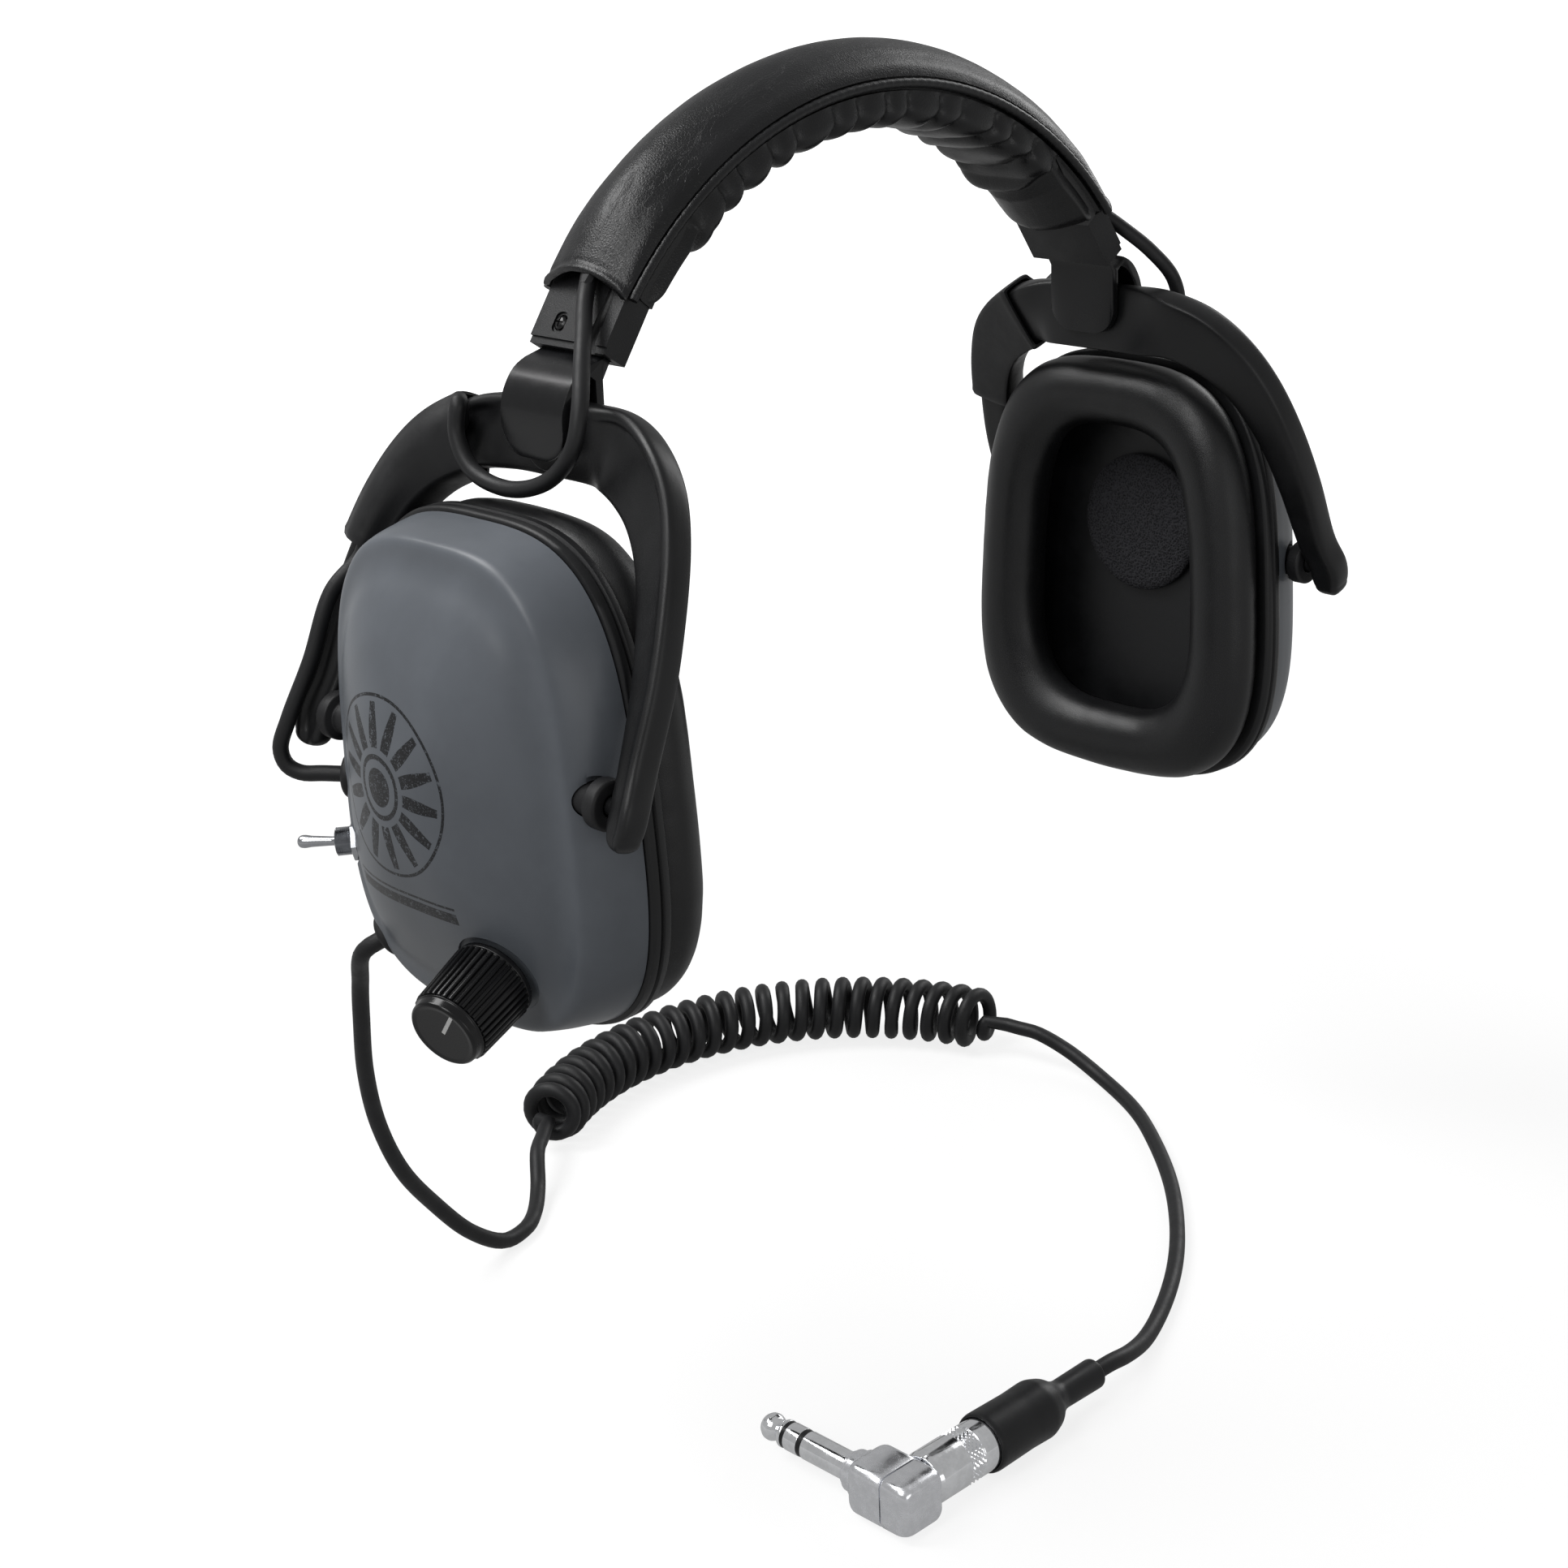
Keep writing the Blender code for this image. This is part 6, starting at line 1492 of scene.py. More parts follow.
def build_cushions(look):
    """The padded rings with their drawn seams and soft puckers, and the foam over each speaker."""
    back = -SEAM_INBOARD - SEAT_GAP - RIM_THICKNESS - SEAT_GAP
    t, band, draw = CUSHION_THICKNESS, CUSHION_BAND, CUSHION_DRAW_IN
    profile = [(-draw, back), (-0.0006, back - 0.20 * t), (0.0, back - 0.45 * t), (-0.0016, back - 0.76 * t)]
    profile += [(-0.0052, back - 0.95 * t), (-0.5 * band, back - t), (0.0048 - band, back - 0.94 * t)]
    profile += [(0.0010 - band, back - 0.70 * t), (-band, back - 0.40 * t), (draw - band, back)]
    fine = smooth_route(profile, count=44)
    for side in (RIGHT, LEFT):
        name = SIDE_NAMES[side]
        rings = []
        for k, (grow, u) in enumerate(fine):
            share = k / (len(fine) - 1)
            ring = even_outline(grow, grow, u, 240)
            centre = np.array([u, 0.0, CUP_CENTRE_Z])
            inner = math.exp(
                -(((share - 0.93) / 0.10) ** 2)
            ) + 0.45 * math.exp(-(((share - 0.06) / 0.06) ** 2))
            for i in range(len(ring)):
                turn = 2 * math.pi * i / len(ring)
                pucker = abs(math.sin(27 * turn + 1.3 * math.sin(5 * turn))) ** 0.5 - 0.6
                wave = ripple(ring[i], 70, 4.0 + side) * 0.00028 + ripple(ring[i], 190, 9.0) * 0.00010
                push = (
                    0.00034 * pucker * inner + wave * math.sin(math.pi * share) ** 0.5
                ) * look.crease_depth
                way = ring[i] - centre
                way /= np.linalg.norm(way)
                sense = 1 if share < 0.55 else -1
                ring[i] += push * way * sense
                ring[i][0] -= 0.6 * abs(push) * math.sin(math.pi * share)
            rings.append(ring)
        cushion = loft(
            f"ear_pad_{name}", rings, "vinyl", side, closed_path=True, matrix=cup_matrix(side),
            sharp=75
        )
        keep(cushion, f"cup_{name}", "cushion_vinyl", f"ear_cushion_{name}")
        low = -SEAM_INBOARD - SEAT_GAP + SEAT_GAP - SEAT_GAP - FOAM_THICKNESS
        centre_z = CUP_CENTRE_Z + SPEAKER_RISE
        at = cup_matrix(side) @ Matrix.Translation((side * low, 0, centre_z)) @ Matrix.Rotation(
            side * math.pi / 2, 4, "Y"
        )
        r, h = SPEAKER_RADIUS, FOAM_THICKNESS
        profile = [
            (0.0002, 0.0), (0.6 * r, 0.0002), (r - 0.0016, 0.0006), (r, 0.0013), (r, h - 0.0004),
            (0.0002, h)
        ]
        foam = lathe(f"foam_disc_{name}", profile, "foam", at, 72, 0.0004)
        keep(foam, f"cup_{name}", "foam", f"ear_foam_{name}")


# ---- controls --------------------------------------------------------------------------------


def build_knob(look):
    """The ribbed knob with its white line, on its shaft."""
    at = fitting_matrix(KNOB_PLACE, RIGHT, knob_way())
    low, high = 0.0006, KNOB_HEIGHT
    r = KNOB_RADIUS
    core = r - 0.00055
    profile = [
        (0.0034, low + 0.0003), (0.0055, low), (core + 0.0003, low), (core + 0.0003, low + 0.0012),
        (core, low + 0.0014)
    ]
    profile += [(core - 0.0006, high - 0.0027), (core - 0.0004, high - 0.0024), (r - 0.0013, high - 0.0021)]
    profile += [
        (r - 0.0015, high - 0.0005), (r - 0.0020, high), (r - 0.0030, high - 0.0002),
        (0.0001, high - 0.0002)
    ]
    body = lathe("knob_body", profile, "knob", at, 96, 0.0002)
    keep(body, "volume", "gloss_black", "volume_knob")
    length = high - 0.0027 - (low + 0.0014)
    width = 2 * math.pi * r / look.knob_ribs * 0.30
    rib = []
    for z, grow in ((0.0, 0.86), (0.0003, 1.0), (length - 0.0006, 1.0), (length, 0.75)):
        lean = -0.0006 * z / length
        rib.append(
            [
                (lean + x * grow, y, z) for x,
                y in (
                    (-0.0006, -width), (0.0001, -width), (0.0005, -0.55 * width), (0.0006, 0.0),
                    (0.0005, 0.55 * width), (0.0001, width), (-0.0006, width)
                )
            ]
        )
    points, faces = skin(rib)
    unit = (points, facing_out(points, faces))
    lift = at @ Matrix.Translation((0, 0, low + 0.0014))
    ribs = around(look.knob_ribs, core, 1, 0.0, 0.0, unit, "knob", "knob_ribs", lift)
    keep(ribs, "volume", "gloss_black")
    line = [
        [
            (x, y, z) for x,
            y in ((-0.00042, 0.0006), (0.00042, 0.0006), (0.00042, 0.0068), (-0.00042, 0.0068))
        ] for z in (high - 0.0003, high - 0.00005)
    ]
    mark = loft("knob_line", line, "white", matrix=at @ Matrix.Rotation(KNOB_REST, 4, "Z"))
    keep(mark, "volume", "gloss_black")
    dress("volume_shaft", "chrome")
    dress("volume_pot", "steel")


def build_switch():
    """The toggle switch with its washer, its nut and its threaded bushing."""
    at = fitting_matrix(SWITCH_PLACE, RIGHT)
    nut_low = -SEAT_SINK + SEAT_GAP
    washer = bored([(0.0047, nut_low), (0.0047, nut_low + 0.0005)], BUSHING_RADIUS + 0.0001)
    keep(lathe("switch_washer", washer, "switch_metal", at, 48, 0.00012, True), "cup_right", "chrome_parts")
    flats = NUT_ACROSS_FLATS / math.sqrt(3)
    profile = [
        (flats - 0.0003, nut_low + 0.0005), (flats, nut_low + 0.0007),
        (flats, nut_low + NUT_THICKNESS - 0.0002), (flats - 0.0003, nut_low + NUT_THICKNESS)
    ]
    profile += [
        (BUSHING_RADIUS + 0.0001, nut_low + NUT_THICKNESS),
        (BUSHING_RADIUS + 0.0001, nut_low + 0.0005)
    ]
    nut = loft("switch_hex_nut", turned(profile, 6), "switch_metal", closed_path=True, matrix=at, sharp=25)
    keep(nut, "cup_right", "chrome_parts", "switch_nut")
    threads = [(BUSHING_RADIUS - 0.0002, -0.003)]
    for z in np.arange(-0.0008, 0.0044, 0.0004):
        threads += [(BUSHING_RADIUS - 0.0002, z), (BUSHING_RADIUS, z + 0.0002)]
    threads += [(BUSHING_RADIUS - 0.0003, 0.0048), (0.0026, 0.0048), (0.0022, 0.0008)]
    keep(
        lathe("switch_bushing", [(0.0001, -0.003), *threads, (0.0001, 0.0008)], "switch_metal", at, 48, 0),
        "cup_right", "chrome_parts", "switch_body"
    )
    tilt = at @ Matrix.Translation((0, 0, 0.0026)) @ Matrix.Rotation(-LEVER_TILT, 4, "Y")
    length = LEVER_LENGTH
    profile = [
        (0.0001, -0.0011), (0.0008, -0.0011), (0.0013, -0.0004), (0.0013, 0.0015), (0.0010, 0.0030),
        (0.00125, length - 0.0034)
    ]
    profile += [
        (0.00150, length - 0.0016), (0.00140, length - 0.0007), (0.0009, length - 0.0001),
        (0.0001, length)
    ]
    keep(
        lathe("switch_bat", profile, "switch_metal", tilt, 48, 0.0004), "switch", "chrome_parts",
        "switch_lever"
    )


def build_controls(look):
    """The volume knob and the toggle switch."""
    build_knob(look)
    build_switch()


# ---- cables ----------------------------------------------------------------------------------


def build_cables(look):
    """Each side's cable: from the band's hem round to the sleeve, and from the sleeve to the cup."""
    frames = yoke_frames()
    middle = len(YOKE_STATIONS) - 1
    hem_out = COVER_HALF_ANGLE + math.radians(0.2)
    hem = Vector(on_arc(hem_out - math.radians(2.5), LINK_CABLE_ARC - 0.0009, CABLE_HEM_Y + 0.0022))
    onward = Vector(on_arc(hem_out + math.radians(2.0), LINK_CABLE_ARC - 0.0004, CABLE_HEM_Y - 0.0018))
    entry = [
        in_sleeve(frames, middle + 2, 0.45), in_sleeve(frames, middle + 2, 0.9),
        in_sleeve(frames, middle + 3, 0.4)
    ]
    loop = smooth_route([tuple(p) for p in (hem, onward, *map(Vector, LOOP_ROUTE), *entry)], 0.0011)
    at = cup_matrix(LEFT) @ on_dome(CABLE_ENTRY)
    way_in = [at @ Vector((0, 0, lift)) for lift in (0.0070, 0.0020, -0.0030)]
    leave = [
        in_sleeve(frames, middle + 5, 0.3), in_sleeve(frames, middle + 5, 0.9),
        in_sleeve(frames, middle + 6, 0.2)
    ]
    fall = smooth_route([tuple(p) for p in (*leave, *map(Vector, DROP_ROUTE), *way_in)], 0.0011)
    low = int(np.argmin(loop[:, 2]))
    for side in (RIGHT, LEFT):
        name = SIDE_NAMES[side]
        runs = (
            ("loop_upper", loop[: low + 1], "headband", f"slider_{name}"),
            ("loop_lower", loop[low:], f"slider_{name}", f"yoke_{name}")
        )
        for label, line, first, second in (*runs, ("drop", fall, f"yoke_{name}", f"cup_{name}")):
            line = line * np.array([side, 1, 1])
            piece = loft(f"cable_{label}_run_{name}", tube_rings(line, CABLE_RADIUS, 20), "cable", sharp=60)
            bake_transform(piece)
            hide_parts(f"cable_{label}_{name}")


def lead_line():
    """The lead's centreline in order: out of the cup, the drop, the curls, the run, into the boot."""
    at = fitting_matrix(CORD_ENTRY, RIGHT)
    exit_points = [at @ Vector((0, 0, lift)) for lift in (-0.0030, 0.0020, 0.0075)]
    coil = coil_points(8)
    way = (coil[1] - coil[0]).normalized()
    join = [coil[0] - (0.008 + SEAT_GAP) * way, coil[0] - SEAT_GAP * way]
    drop = smooth_route([tuple(p) for p in (*exit_points, *map(Vector, DROP_TO_COIL), *join)], 0.0022)
    curls = np.array([tuple(p) for p in coil_points(28)])
    away = (curls[-1] - curls[-2]) / np.linalg.norm(curls[-1] - curls[-2])
    leave = [tuple(curls[-1] + SEAT_GAP * away), tuple(curls[-1] + (0.006 + SEAT_GAP) * away)]
    axis_z = TABLE_Z + BOOT_RADIUS
    arrive = [(BOOT_MOUTH_X + 0.0055, PLUG_Y, axis_z), (BOOT_MOUTH_X - 0.0030, PLUG_Y, axis_z)]
    run = smooth_route([*leave, *LEAD_ROUTE, *arrive], 0.0022)
    line = np.vstack([drop, curls, run])
    keep_rows = np.concatenate([[True], np.linalg.norm(np.diff(line, axis=0), axis=1) > 0.0006])
    return line[keep_rows]


def build_lead(look):
    """The one unbroken free cord, with its plug's pieces declared on it."""
    line = lead_line()
    curve = bpy.data.curves.new("lead_cord", "CURVE")
    curve.dimensions = "3D"
    curve.bevel_depth = CORD_RADIUS
    curve.bevel_resolution = 5
    curve.use_fill_caps = True
    spline = curve.splines.new("POLY")
    spline.points.add(len(line) - 1)
    for spot, point in zip(spline.points, line):
        spot.co = (*map(float, point), 1.0)
    spline.use_smooth = True
    curve.materials.append(FINISHES["cable"])
    cord = bpy.data.objects.new("lead_cord", curve)
    bpy.context.collection.objects.link(cord)
    keep(cord, "cup_right", "cable_rubber", "cord_drop", "cord_coil", "cord_lead")
    pieces = build_plug(look)


def build_plug(look):
    """The right-angle plug: sleeving, knurled barrel, cast housing in two parts, and contacts."""
    z = TABLE_Z + BOOT_RADIUS
    along_x = Matrix.Translation((0, PLUG_Y, z)) @ Matrix.Rotation(-math.pi / 2, 4, "Y")
    neck_end = -BOOT_MOUTH_X + BOOT_NECK_LENGTH
    box_x, box_y, box_z = PLUG_BOX
    boot_end = -BOOT_END_X
    barrel_low = boot_end - 0.0060
    pieces = []

    def add(piece, slot, *nodes):
        keep(piece, "cup_right", slot, *nodes)
        pieces.append(piece)

    profile = [
        (BOOT_NECK_RADIUS - 0.0001, -BOOT_MOUTH_X), (BOOT_NECK_RADIUS, -BOOT_MOUTH_X + 0.0006),
        (BOOT_NECK_RADIUS - 0.00015, neck_end - 0.0015)
    ]
    profile += [
        (BOOT_NECK_RADIUS + 0.0006, neck_end + 0.0005), (BOOT_RADIUS - 0.0010, neck_end + 0.0030),
        (BOOT_RADIUS, neck_end + 0.0060)
    ]
    profile += [
        (BOOT_RADIUS - 0.0002, 0.5 * (neck_end + boot_end)), (BOOT_RADIUS, boot_end - 0.0010),
        (BOOT_RADIUS - 0.0002, boot_end)
    ]
    inner = BARREL_RADIUS + 0.0001
    profile += [
        (inner, boot_end), (inner, barrel_low - SEAT_GAP),
        (CORD_RADIUS + 0.0001, barrel_low - SEAT_GAP), (CORD_RADIUS + 0.0001, -BOOT_MOUTH_X)
    ]
    boot = lathe("boot_sleeving", profile, "shrink", along_x, 64, 0.0009, True, 60)
    add(boot, "cable_rubber", "plug_boot")

    flank = -PLUG_AXIS_X - box_x / 2
    r = BARREL_RADIUS
    profile = [
        (0.0001, barrel_low), (r, barrel_low), (r, boot_end + 0.0043),
        (r - 0.0003, boot_end + 0.0045), (r - 0.0003, boot_end + 0.0085)
    ]
    profile += [
        (r, boot_end + 0.0087), (r, flank - SEAT_GAP - 0.0012), (r - 0.0005, flank - SEAT_GAP),
        (0.0001, flank - SEAT_GAP)
    ]
    add(lathe("barrel_tube", profile, "chrome", along_x, 96, 0.0002), "chrome_parts", "plug_barrel")
    half = 0.00062
    stud = [
        [(-0.0004, -half, 0.0), (-0.0004, 0.0, -half), (-0.0004, half, 0.0), (-0.0004, 0.0, half)],
        [
            (0.0004, -0.1 * half, 0.0), (0.0004, 0.0, -0.1 * half), (0.0004, 0.1 * half, 0.0),
            (0.0004, 0.0, 0.1 * half)
        ]
    ]
    points, faces = skin(stud)
    unit = (points, facing_out(points, faces))
    lift = along_x @ Matrix.Translation((0, 0, boot_end + 0.0047))
    knurl = around(30, r - 0.0003, 7, 0.00060, math.pi / 30, unit, "chrome", "barrel_knurl", lift)
    add(knurl, "chrome_parts")

    front, rear = PLUG_Y - box_y / 2 + 0.0020, PLUG_Y + box_y / 2 + 0.0020
    edge = 0.0022
    split = front + 0.42 * box_y

    def box_ring(y, shrink=0.0, round_by=edge):
        x0, x1 = PLUG_AXIS_X - box_x / 2 + shrink, PLUG_AXIS_X + box_x / 2 - shrink
        z0, z1 = z - box_z / 2 + shrink, z + box_z / 2 - shrink
        ring = []
        for cx, cz, begin in (
            (x1 - round_by, z1 - round_by, 0), (x0 + round_by, z1 - round_by, 90),
            (x0 + round_by, z0 + round_by, 180), (x1 - round_by, z0 + round_by, 270)
        ):
            for step in np.linspace(0, 90, 9):
                turn = math.radians(begin + step)
                ring.append((cx + round_by * math.cos(turn), y, cz + round_by * math.sin(turn)))
        return ring

    cap = [
        box_ring(
            front + 0.0034 * (1 - math.sin(t)), 0.0034 * (1 - math.cos(t)) * 0.45
        ) for t in np.linspace(math.pi / 2, 0, 9)
    ]
    cap += [box_ring(split - 0.0006), box_ring(split - 0.0002, 0.0002)]
    add(loft("plug_front_cap", cap, "cast", sharp=50), "chrome_parts", "plug_cap")
    body = [box_ring(split + 0.0001, 0.0002), box_ring(split + 0.0004), box_ring(rear - 0.0030)]
    body += [
        box_ring(
            rear - 0.0030 * (1 - math.sin(t)), 0.0026 * (1 - math.cos(t))
        ) for t in np.linspace(0.2, math.pi / 2 - 0.1, 8)
    ]
    add(loft("plug_rear_body", body, "cast", sharp=50), "chrome_parts", "plug_housing")
    along_y = Matrix.Translation((PLUG_AXIS_X, rear, z)) @ Matrix.Rotation(-math.pi / 2, 4, "X")
    build_contacts(add, along_y)
    return pieces


def build_contacts(add, along_y):
    """The collar and the shaft's sleeve, ring and tip, apart from each other on the insulator."""
    collar = PLUG_COLLAR_LENGTH
    c = PLUG_COLLAR_RADIUS
    profile = [
        (0.0001, -0.0030), (c + 0.0008, -0.0030), (c + 0.0008, -0.0002), (c, 0.0003),
        (c, collar - 0.0012), (c - 0.0008, collar - 0.0010), (c - 0.0008, collar), (0.0001, collar)
    ]
    add(lathe("plug_collar_rings", profile, "cast", along_y, 64, 0.00025), "chrome_parts")
    core = PLUG_SHAFT_RADIUS * 0.55
    length, radius = PLUG_SHAFT_LENGTH, PLUG_SHAFT_RADIUS
    ring_low, ring_high = collar + 0.50 * length, collar + 0.70 * length
    thick = 0.0008
    shaft = bored([(radius, collar), (radius, ring_low - thick / 2)], core)
    add(lathe("contact_sleeve", shaft, "chrome", along_y, 64, 0.0001, True), "chrome_parts", "plug_sleeve")
    shaft = bored([(radius, ring_low + thick / 2 + 2 * SEAT_GAP), (radius, ring_high - thick / 2)], core)
    add(lathe("contact_ring", shaft, "chrome", along_y, 64, 0.0001, True), "chrome_parts", "plug_ring")
    a, b = ring_low - thick / 2, ring_low + thick / 2 + 2 * SEAT_GAP
    c, d = ring_high - thick / 2, ring_high + thick / 2 + SEAT_GAP
    slim = radius - 0.00012
    profile = [
        (0.0001, collar - 0.0014), (core - 0.0001, collar - 0.0014), (core - 0.0001, a), (slim, a),
        (slim, b), (core - 0.0001, b)
    ]
    profile += [(core - 0.0001, c), (slim, c), (slim, d), (0.0001, d)]
    add(lathe("contact_insulator", profile, "plastic", along_y, 64, 0), "black_plastic", "plug_insulator")
    end = collar + length
    tip = d
    profile = [
        (0.0001, tip), (radius, tip), (radius, tip + 0.0008), (0.0024, tip + 0.0018),
        (0.0019, tip + 0.0026), (0.0019, end - 0.0050)
    ]
    profile += [
        (0.0026, end - 0.0042), (0.0031, end - 0.0030), (0.0030, end - 0.0018),
        (0.0022, end - 0.0006), (0.0010, end - 0.0001), (0.0001, end)
    ]
    add(lathe("contact_tip", profile, "chrome", along_y, 64, 0.0004, False, 60), "chrome_parts", "plug_tip")


# ---- stage -----------------------------------------------------------------------------------


def softbox(name, place, size, power):
    """A plain white area light that faces the object's middle."""
    light = bpy.data.lights.new(name, "AREA")
    light.shape = "RECTANGLE"
    light.size, light.size_y = size
    light.energy = power
    lamp = bpy.data.objects.new(name, light)
    lamp.location = place
    aim = Vector((0.0, 0.0, 0.0)) - Vector(place)
    lamp.rotation_euler = aim.to_track_quat("-Z", "Y").to_euler()
    bpy.context.collection.objects.link(lamp)
    return lamp


def maths(tree, operation, *values):
    """The result of one Math node, whose inputs are numbers or other nodes' sockets."""
    node = tree.nodes.new("ShaderNodeMath")
    node.operation = operation
    for socket, value in zip(node.inputs, values):
        if isinstance(value, bpy.types.NodeSocket):
            tree.links.new(value, socket)
        else:
            socket.default_value = value
    return node.outputs[0]


def build_floor():
    """A white floor that keeps the shadow and glows more with distance."""
    floor_mesh = bpy.data.meshes.new("floor")
    z = TABLE_Z - 0.0003
    floor_mesh.from_pydata([(-9, -9, z), (9, -9, z), (9, 9, z), (-9, 9, z)], [], [(0, 1, 2, 3)])
    paper = bpy.data.materials.new("floor_paper")
    paper.use_nodes = True
    tree = paper.node_tree
    shader = tree.nodes["Principled BSDF"]
    shader.inputs["Roughness"].default_value = 0.9
    glow = tree.nodes.new("ShaderNodeEmission")
    glow.inputs["Color"].default_value = (1, 1, 1, 1)
    glow.inputs["Strength"].default_value = FLOOR_WHITE
    path = tree.nodes.new("ShaderNodeLightPath")
    camera_ray = path.outputs["Is Camera Ray"]
    tone = maths(tree, "MULTIPLY_ADD", camera_ray, FLOOR_SEEN - FLOOR_BOUNCE, FLOOR_BOUNCE)
    tree.links.new(tone, shader.inputs["Base Color"])
    seen = maths(tree, "MULTIPLY_ADD", path.outputs["Is Glossy Ray"], FLOOR_MIRRORED, camera_ray)
    place = tree.nodes.new("ShaderNodeTexCoord")
    reach = tree.nodes.new("ShaderNodeVectorMath")
    reach.operation = "LENGTH"
    tree.links.new(place.outputs["Object"], reach.inputs[0])
    away = tree.nodes.new("ShaderNodeMapRange")
    away.interpolation_type = "SMOOTHSTEP"
    for socket, value in zip(away.inputs[1:5], (*FLOOR_REACH, *FLOOR_SHARE)):
        socket.default_value = value
    tree.links.new(reach.outputs["Value"], away.inputs[0])
    mix = tree.nodes.new("ShaderNodeMixShader")
    tree.links.new(maths(tree, "MULTIPLY", seen, away.outputs[0]), mix.inputs[0])
    tree.links.new(shader.outputs[0], mix.inputs[1])
    tree.links.new(glow.outputs[0], mix.inputs[2])
    tree.links.new(mix.outputs[0], tree.nodes["Material Output"].inputs["Surface"])
    floor_mesh.materials.append(paper)
    floor = bpy.data.objects.new("floor", floor_mesh)
    bpy.context.collection.objects.link(floor)


def build_world(look):
    """White where the camera sees it, dim where it lights the object."""
    scene = bpy.context.scene
    world = scene.world or bpy.data.worlds.new("studio")
    scene.world = world
    world.use_nodes = True
    tree = world.node_tree
    back = tree.nodes["Background"]
    back.inputs["Color"].default_value = (1, 1, 1, 1)
    path = tree.nodes.new("ShaderNodeLightPath")
    seen = maths(tree, "MAXIMUM", path.outputs["Is Camera Ray"], path.outputs["Is Transmission Ray"])
    glossy = maths(tree, "MULTIPLY_ADD", path.outputs["Is Glossy Ray"], WORLD_MIRRORED, look.fill_light)
    tree.links.new(maths(tree, "MAXIMUM", seen, glossy), back.inputs["Strength"])


def build_camera():
    """The camera that the sizes were read from."""
    a, e, roll = CAMERA_AZIMUTH, CAMERA_ELEVATION, CAMERA_ROLL
    back_way = Vector((math.sin(a) * math.cos(e), -math.cos(a) * math.cos(e), math.sin(e)))
    across = Vector((math.cos(a), math.sin(a), 0.0))
    rise = Vector((-math.sin(a) * math.sin(e), math.cos(a) * math.sin(e), math.cos(e)))
    right = math.cos(roll) * across + math.sin(roll) * rise
    up = -math.sin(roll) * across + math.cos(roll) * rise
    lens = bpy.data.cameras.new("camera")
    lens.sensor_width = SENSOR_WIDTH
    lens.lens = FOCAL_PIXELS / PHOTO_PIXELS * SENSOR_WIDTH
    lens.shift_x = -(AXIS_PIXEL_X - PHOTO_PIXELS / 2) / PHOTO_PIXELS
    lens.shift_y = (AXIS_PIXEL_Y - PHOTO_PIXELS / 2) / PHOTO_PIXELS
    lens.clip_start = 0.01
    camera = bpy.data.objects.new("camera", lens)
    turn = Matrix((right, up, back_way)).transposed().to_4x4()
    camera.matrix_world = Matrix.Translation(CAMERA_DISTANCE * back_way) @ turn
    bpy.context.collection.objects.link(camera)
    bpy.context.scene.camera = camera


def build_stage(look):
    """The floor, the world, four soft lights and the camera."""
    bpy.context.scene.view_settings.view_transform = "Standard"
    build_floor()
    build_world(look)
    softbox("light_top", (-0.50, 0.60, 1.05), (0.7, 0.7), look.key_light)
    softbox("light_left", (-1.10, -0.20, 0.90), (0.5, 0.8), 0.55 * look.key_light)
    softbox("light_front", (-0.30, -1.30, 0.15), (0.9, 0.4), 0.14 * look.key_light)
    softbox("light_right", (1.25, 0.10, 0.60), (0.5, 1.0), 0.40 * look.key_light)
    build_camera()


# ---- add-on ----------------------------------------------------------------------------------


class HeadphoneLook(bpy.types.PropertyGroup):
    """Sizes and colours that a user would change."""

    dome_colour: bpy.props.FloatVectorProperty(
        name="Dome paint", description="Colour of the painted cup shells", subtype="COLOR", size=3,
        default=(0.120, 0.132, 0.149), min=0, max=1
    )
    leather_colour: bpy.props.FloatVectorProperty(
        name="Leather", description="Colour of the band's leather", subtype="COLOR", size=3,
        default=(0.0062, 0.0064, 0.0072), min=0, max=1
    )
    cable_colour: bpy.props.FloatVectorProperty(
        name="Cable", description="Colour of the cables and the lead", subtype="COLOR", size=3,
        default=(0.0085, 0.0087, 0.0096), min=0, max=1
    )
    print_on: bpy.props.BoolProperty(
        name="Ray print", description="Shows the plain ray print on the right cup", default=True
    )
    crease_depth: bpy.props.FloatProperty(
        name="Creases", description="Depth of the creases in leather and cushions, as a share",
        default=1.0, min=0, max=2, subtype="FACTOR"
    )
    pleat_depth: bpy.props.FloatProperty(
        name="Pleats", description="Depth of the pad's pleats, as a share", default=1.0, min=0,
        max=1.5, subtype="FACTOR"
    )
    knob_ribs: bpy.props.IntProperty(
        name="Knob ribs", description="Number of ribs round the knob", default=36, min=12, max=60
    )
    key_light: bpy.props.FloatProperty(
        name="Key light", description="Power of the largest light", default=12.5, min=0,
        subtype="POWER", unit="POWER"
    )
    fill_light: bpy.props.FloatProperty(
        name="Fill light", description="Strength of the light from all round", default=0.17, min=0
    )


class BuildStep(bpy.types.Operator):
    """Base of the steps that build one group of pieces."""

    bl_options = {"REGISTER"}
    step = None

    def execute(self, context):
        type(self).step(context.scene.headphone_look)
        return {"FINISHED"}


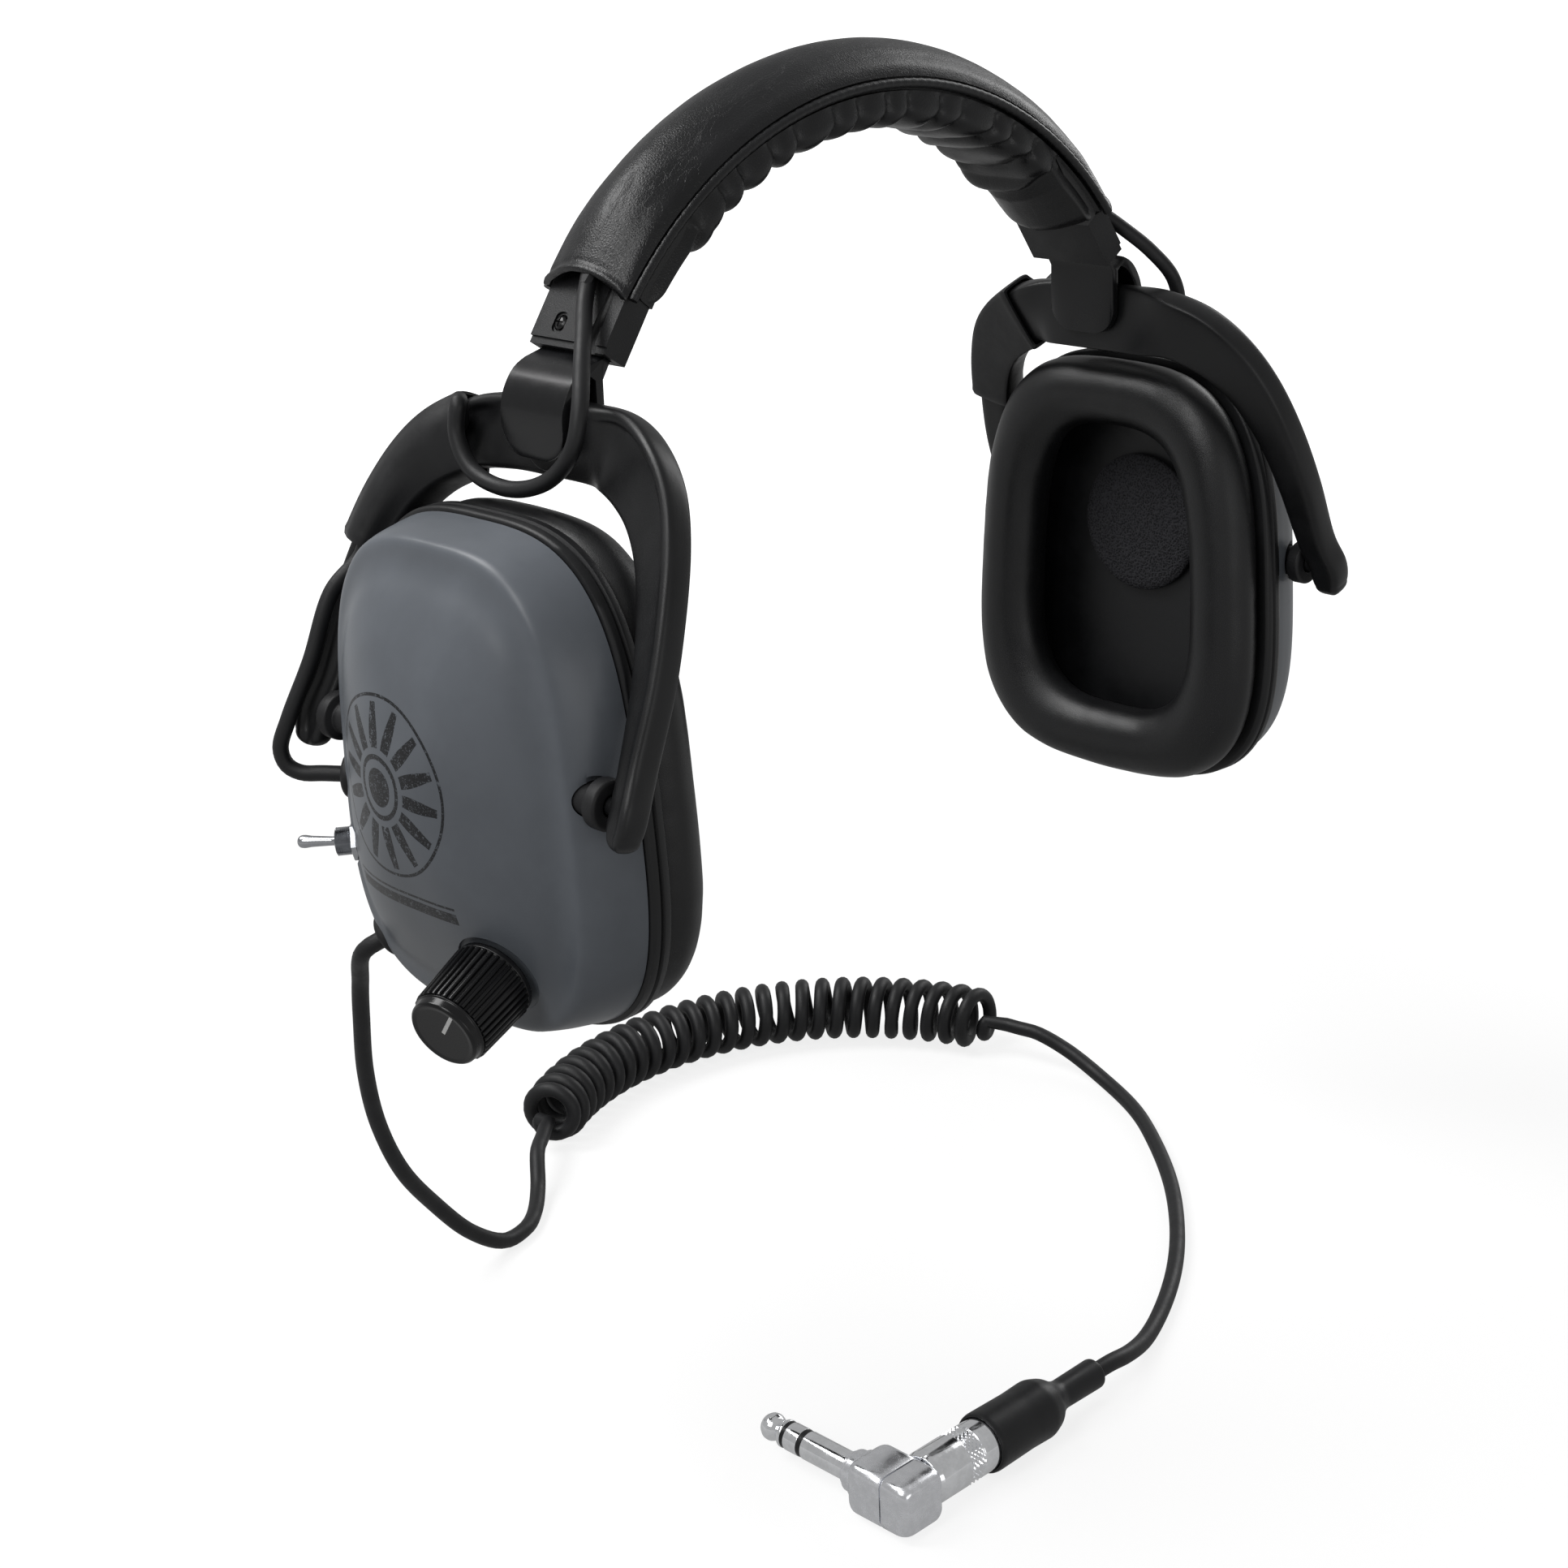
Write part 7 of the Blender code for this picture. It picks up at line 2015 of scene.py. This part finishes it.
def operator(identifier, label, text, function):
    """One operator for one group of pieces."""
    fields = {"bl_idname": f"headphones.{identifier}", "bl_label": label, "__doc__": text}
    fields["step"] = staticmethod(function)
    return type(f"HEADPHONES_OT_{identifier}", (BuildStep,), fields)


STEPS = (
    operator("finishes", "Finishes", "Makes the materials from the colours in the panel", make_finishes),
    operator("lead", "Lead and plug", "Builds the free lead and its plug", build_lead),
    operator("cables", "Side cables", "Builds the cables between band, yokes and cups", build_cables),
    operator("band", "Headband", "Builds the cover, the pad and the piping", build_band),
    operator("sliders", "Sliders", "Builds the housings and the straps", build_sliders),
    operator("yokes", "Yokes", "Builds the stirrups and their sleeves", build_yokes),
    operator("domes", "Ear cups", "Builds the painted shells and their fittings", build_domes),
    operator("rims", "Rims", "Builds the black rims", build_rims),
    operator("cushions", "Cushions", "Builds the ear cushions and the foam", build_cushions),
    operator("controls", "Controls", "Builds the knob and the switch", build_controls),
    operator("stage", "Stage", "Sets the floor, the lights and the camera", build_stage),
)


class HEADPHONES_PT_panel(bpy.types.Panel):
    """The sizes, the colours and one button for each group of pieces."""

    bl_idname = "HEADPHONES_PT_panel"
    bl_label = "Headphones"
    bl_space_type = "VIEW_3D"
    bl_region_type = "UI"
    bl_category = "Headphones"

    def draw(self, context):
        look = context.scene.headphone_look
        column = self.layout.column(align=True)
        for field in look.__annotations__:
            column.prop(look, field)
        buttons = self.layout.column(align=True)
        for step in STEPS:
            buttons.operator(step.bl_idname)


CLASSES = (HeadphoneLook, *STEPS, HEADPHONES_PT_panel)


def register():
    for item in CLASSES:
        bpy.utils.register_class(item)
    bpy.types.Scene.headphone_look = bpy.props.PointerProperty(type=HeadphoneLook)


def unregister():
    del bpy.types.Scene.headphone_look
    for item in reversed(CLASSES):
        bpy.utils.unregister_class(item)


def main():
    register()
    for step in (
        "stage", "finishes", "lead", "cables", "band", "sliders", "yokes", "domes", "rims",
        "cushions", "controls"
    ):
        getattr(bpy.ops.headphones, step)()


if __name__ == "__main__":
    main()
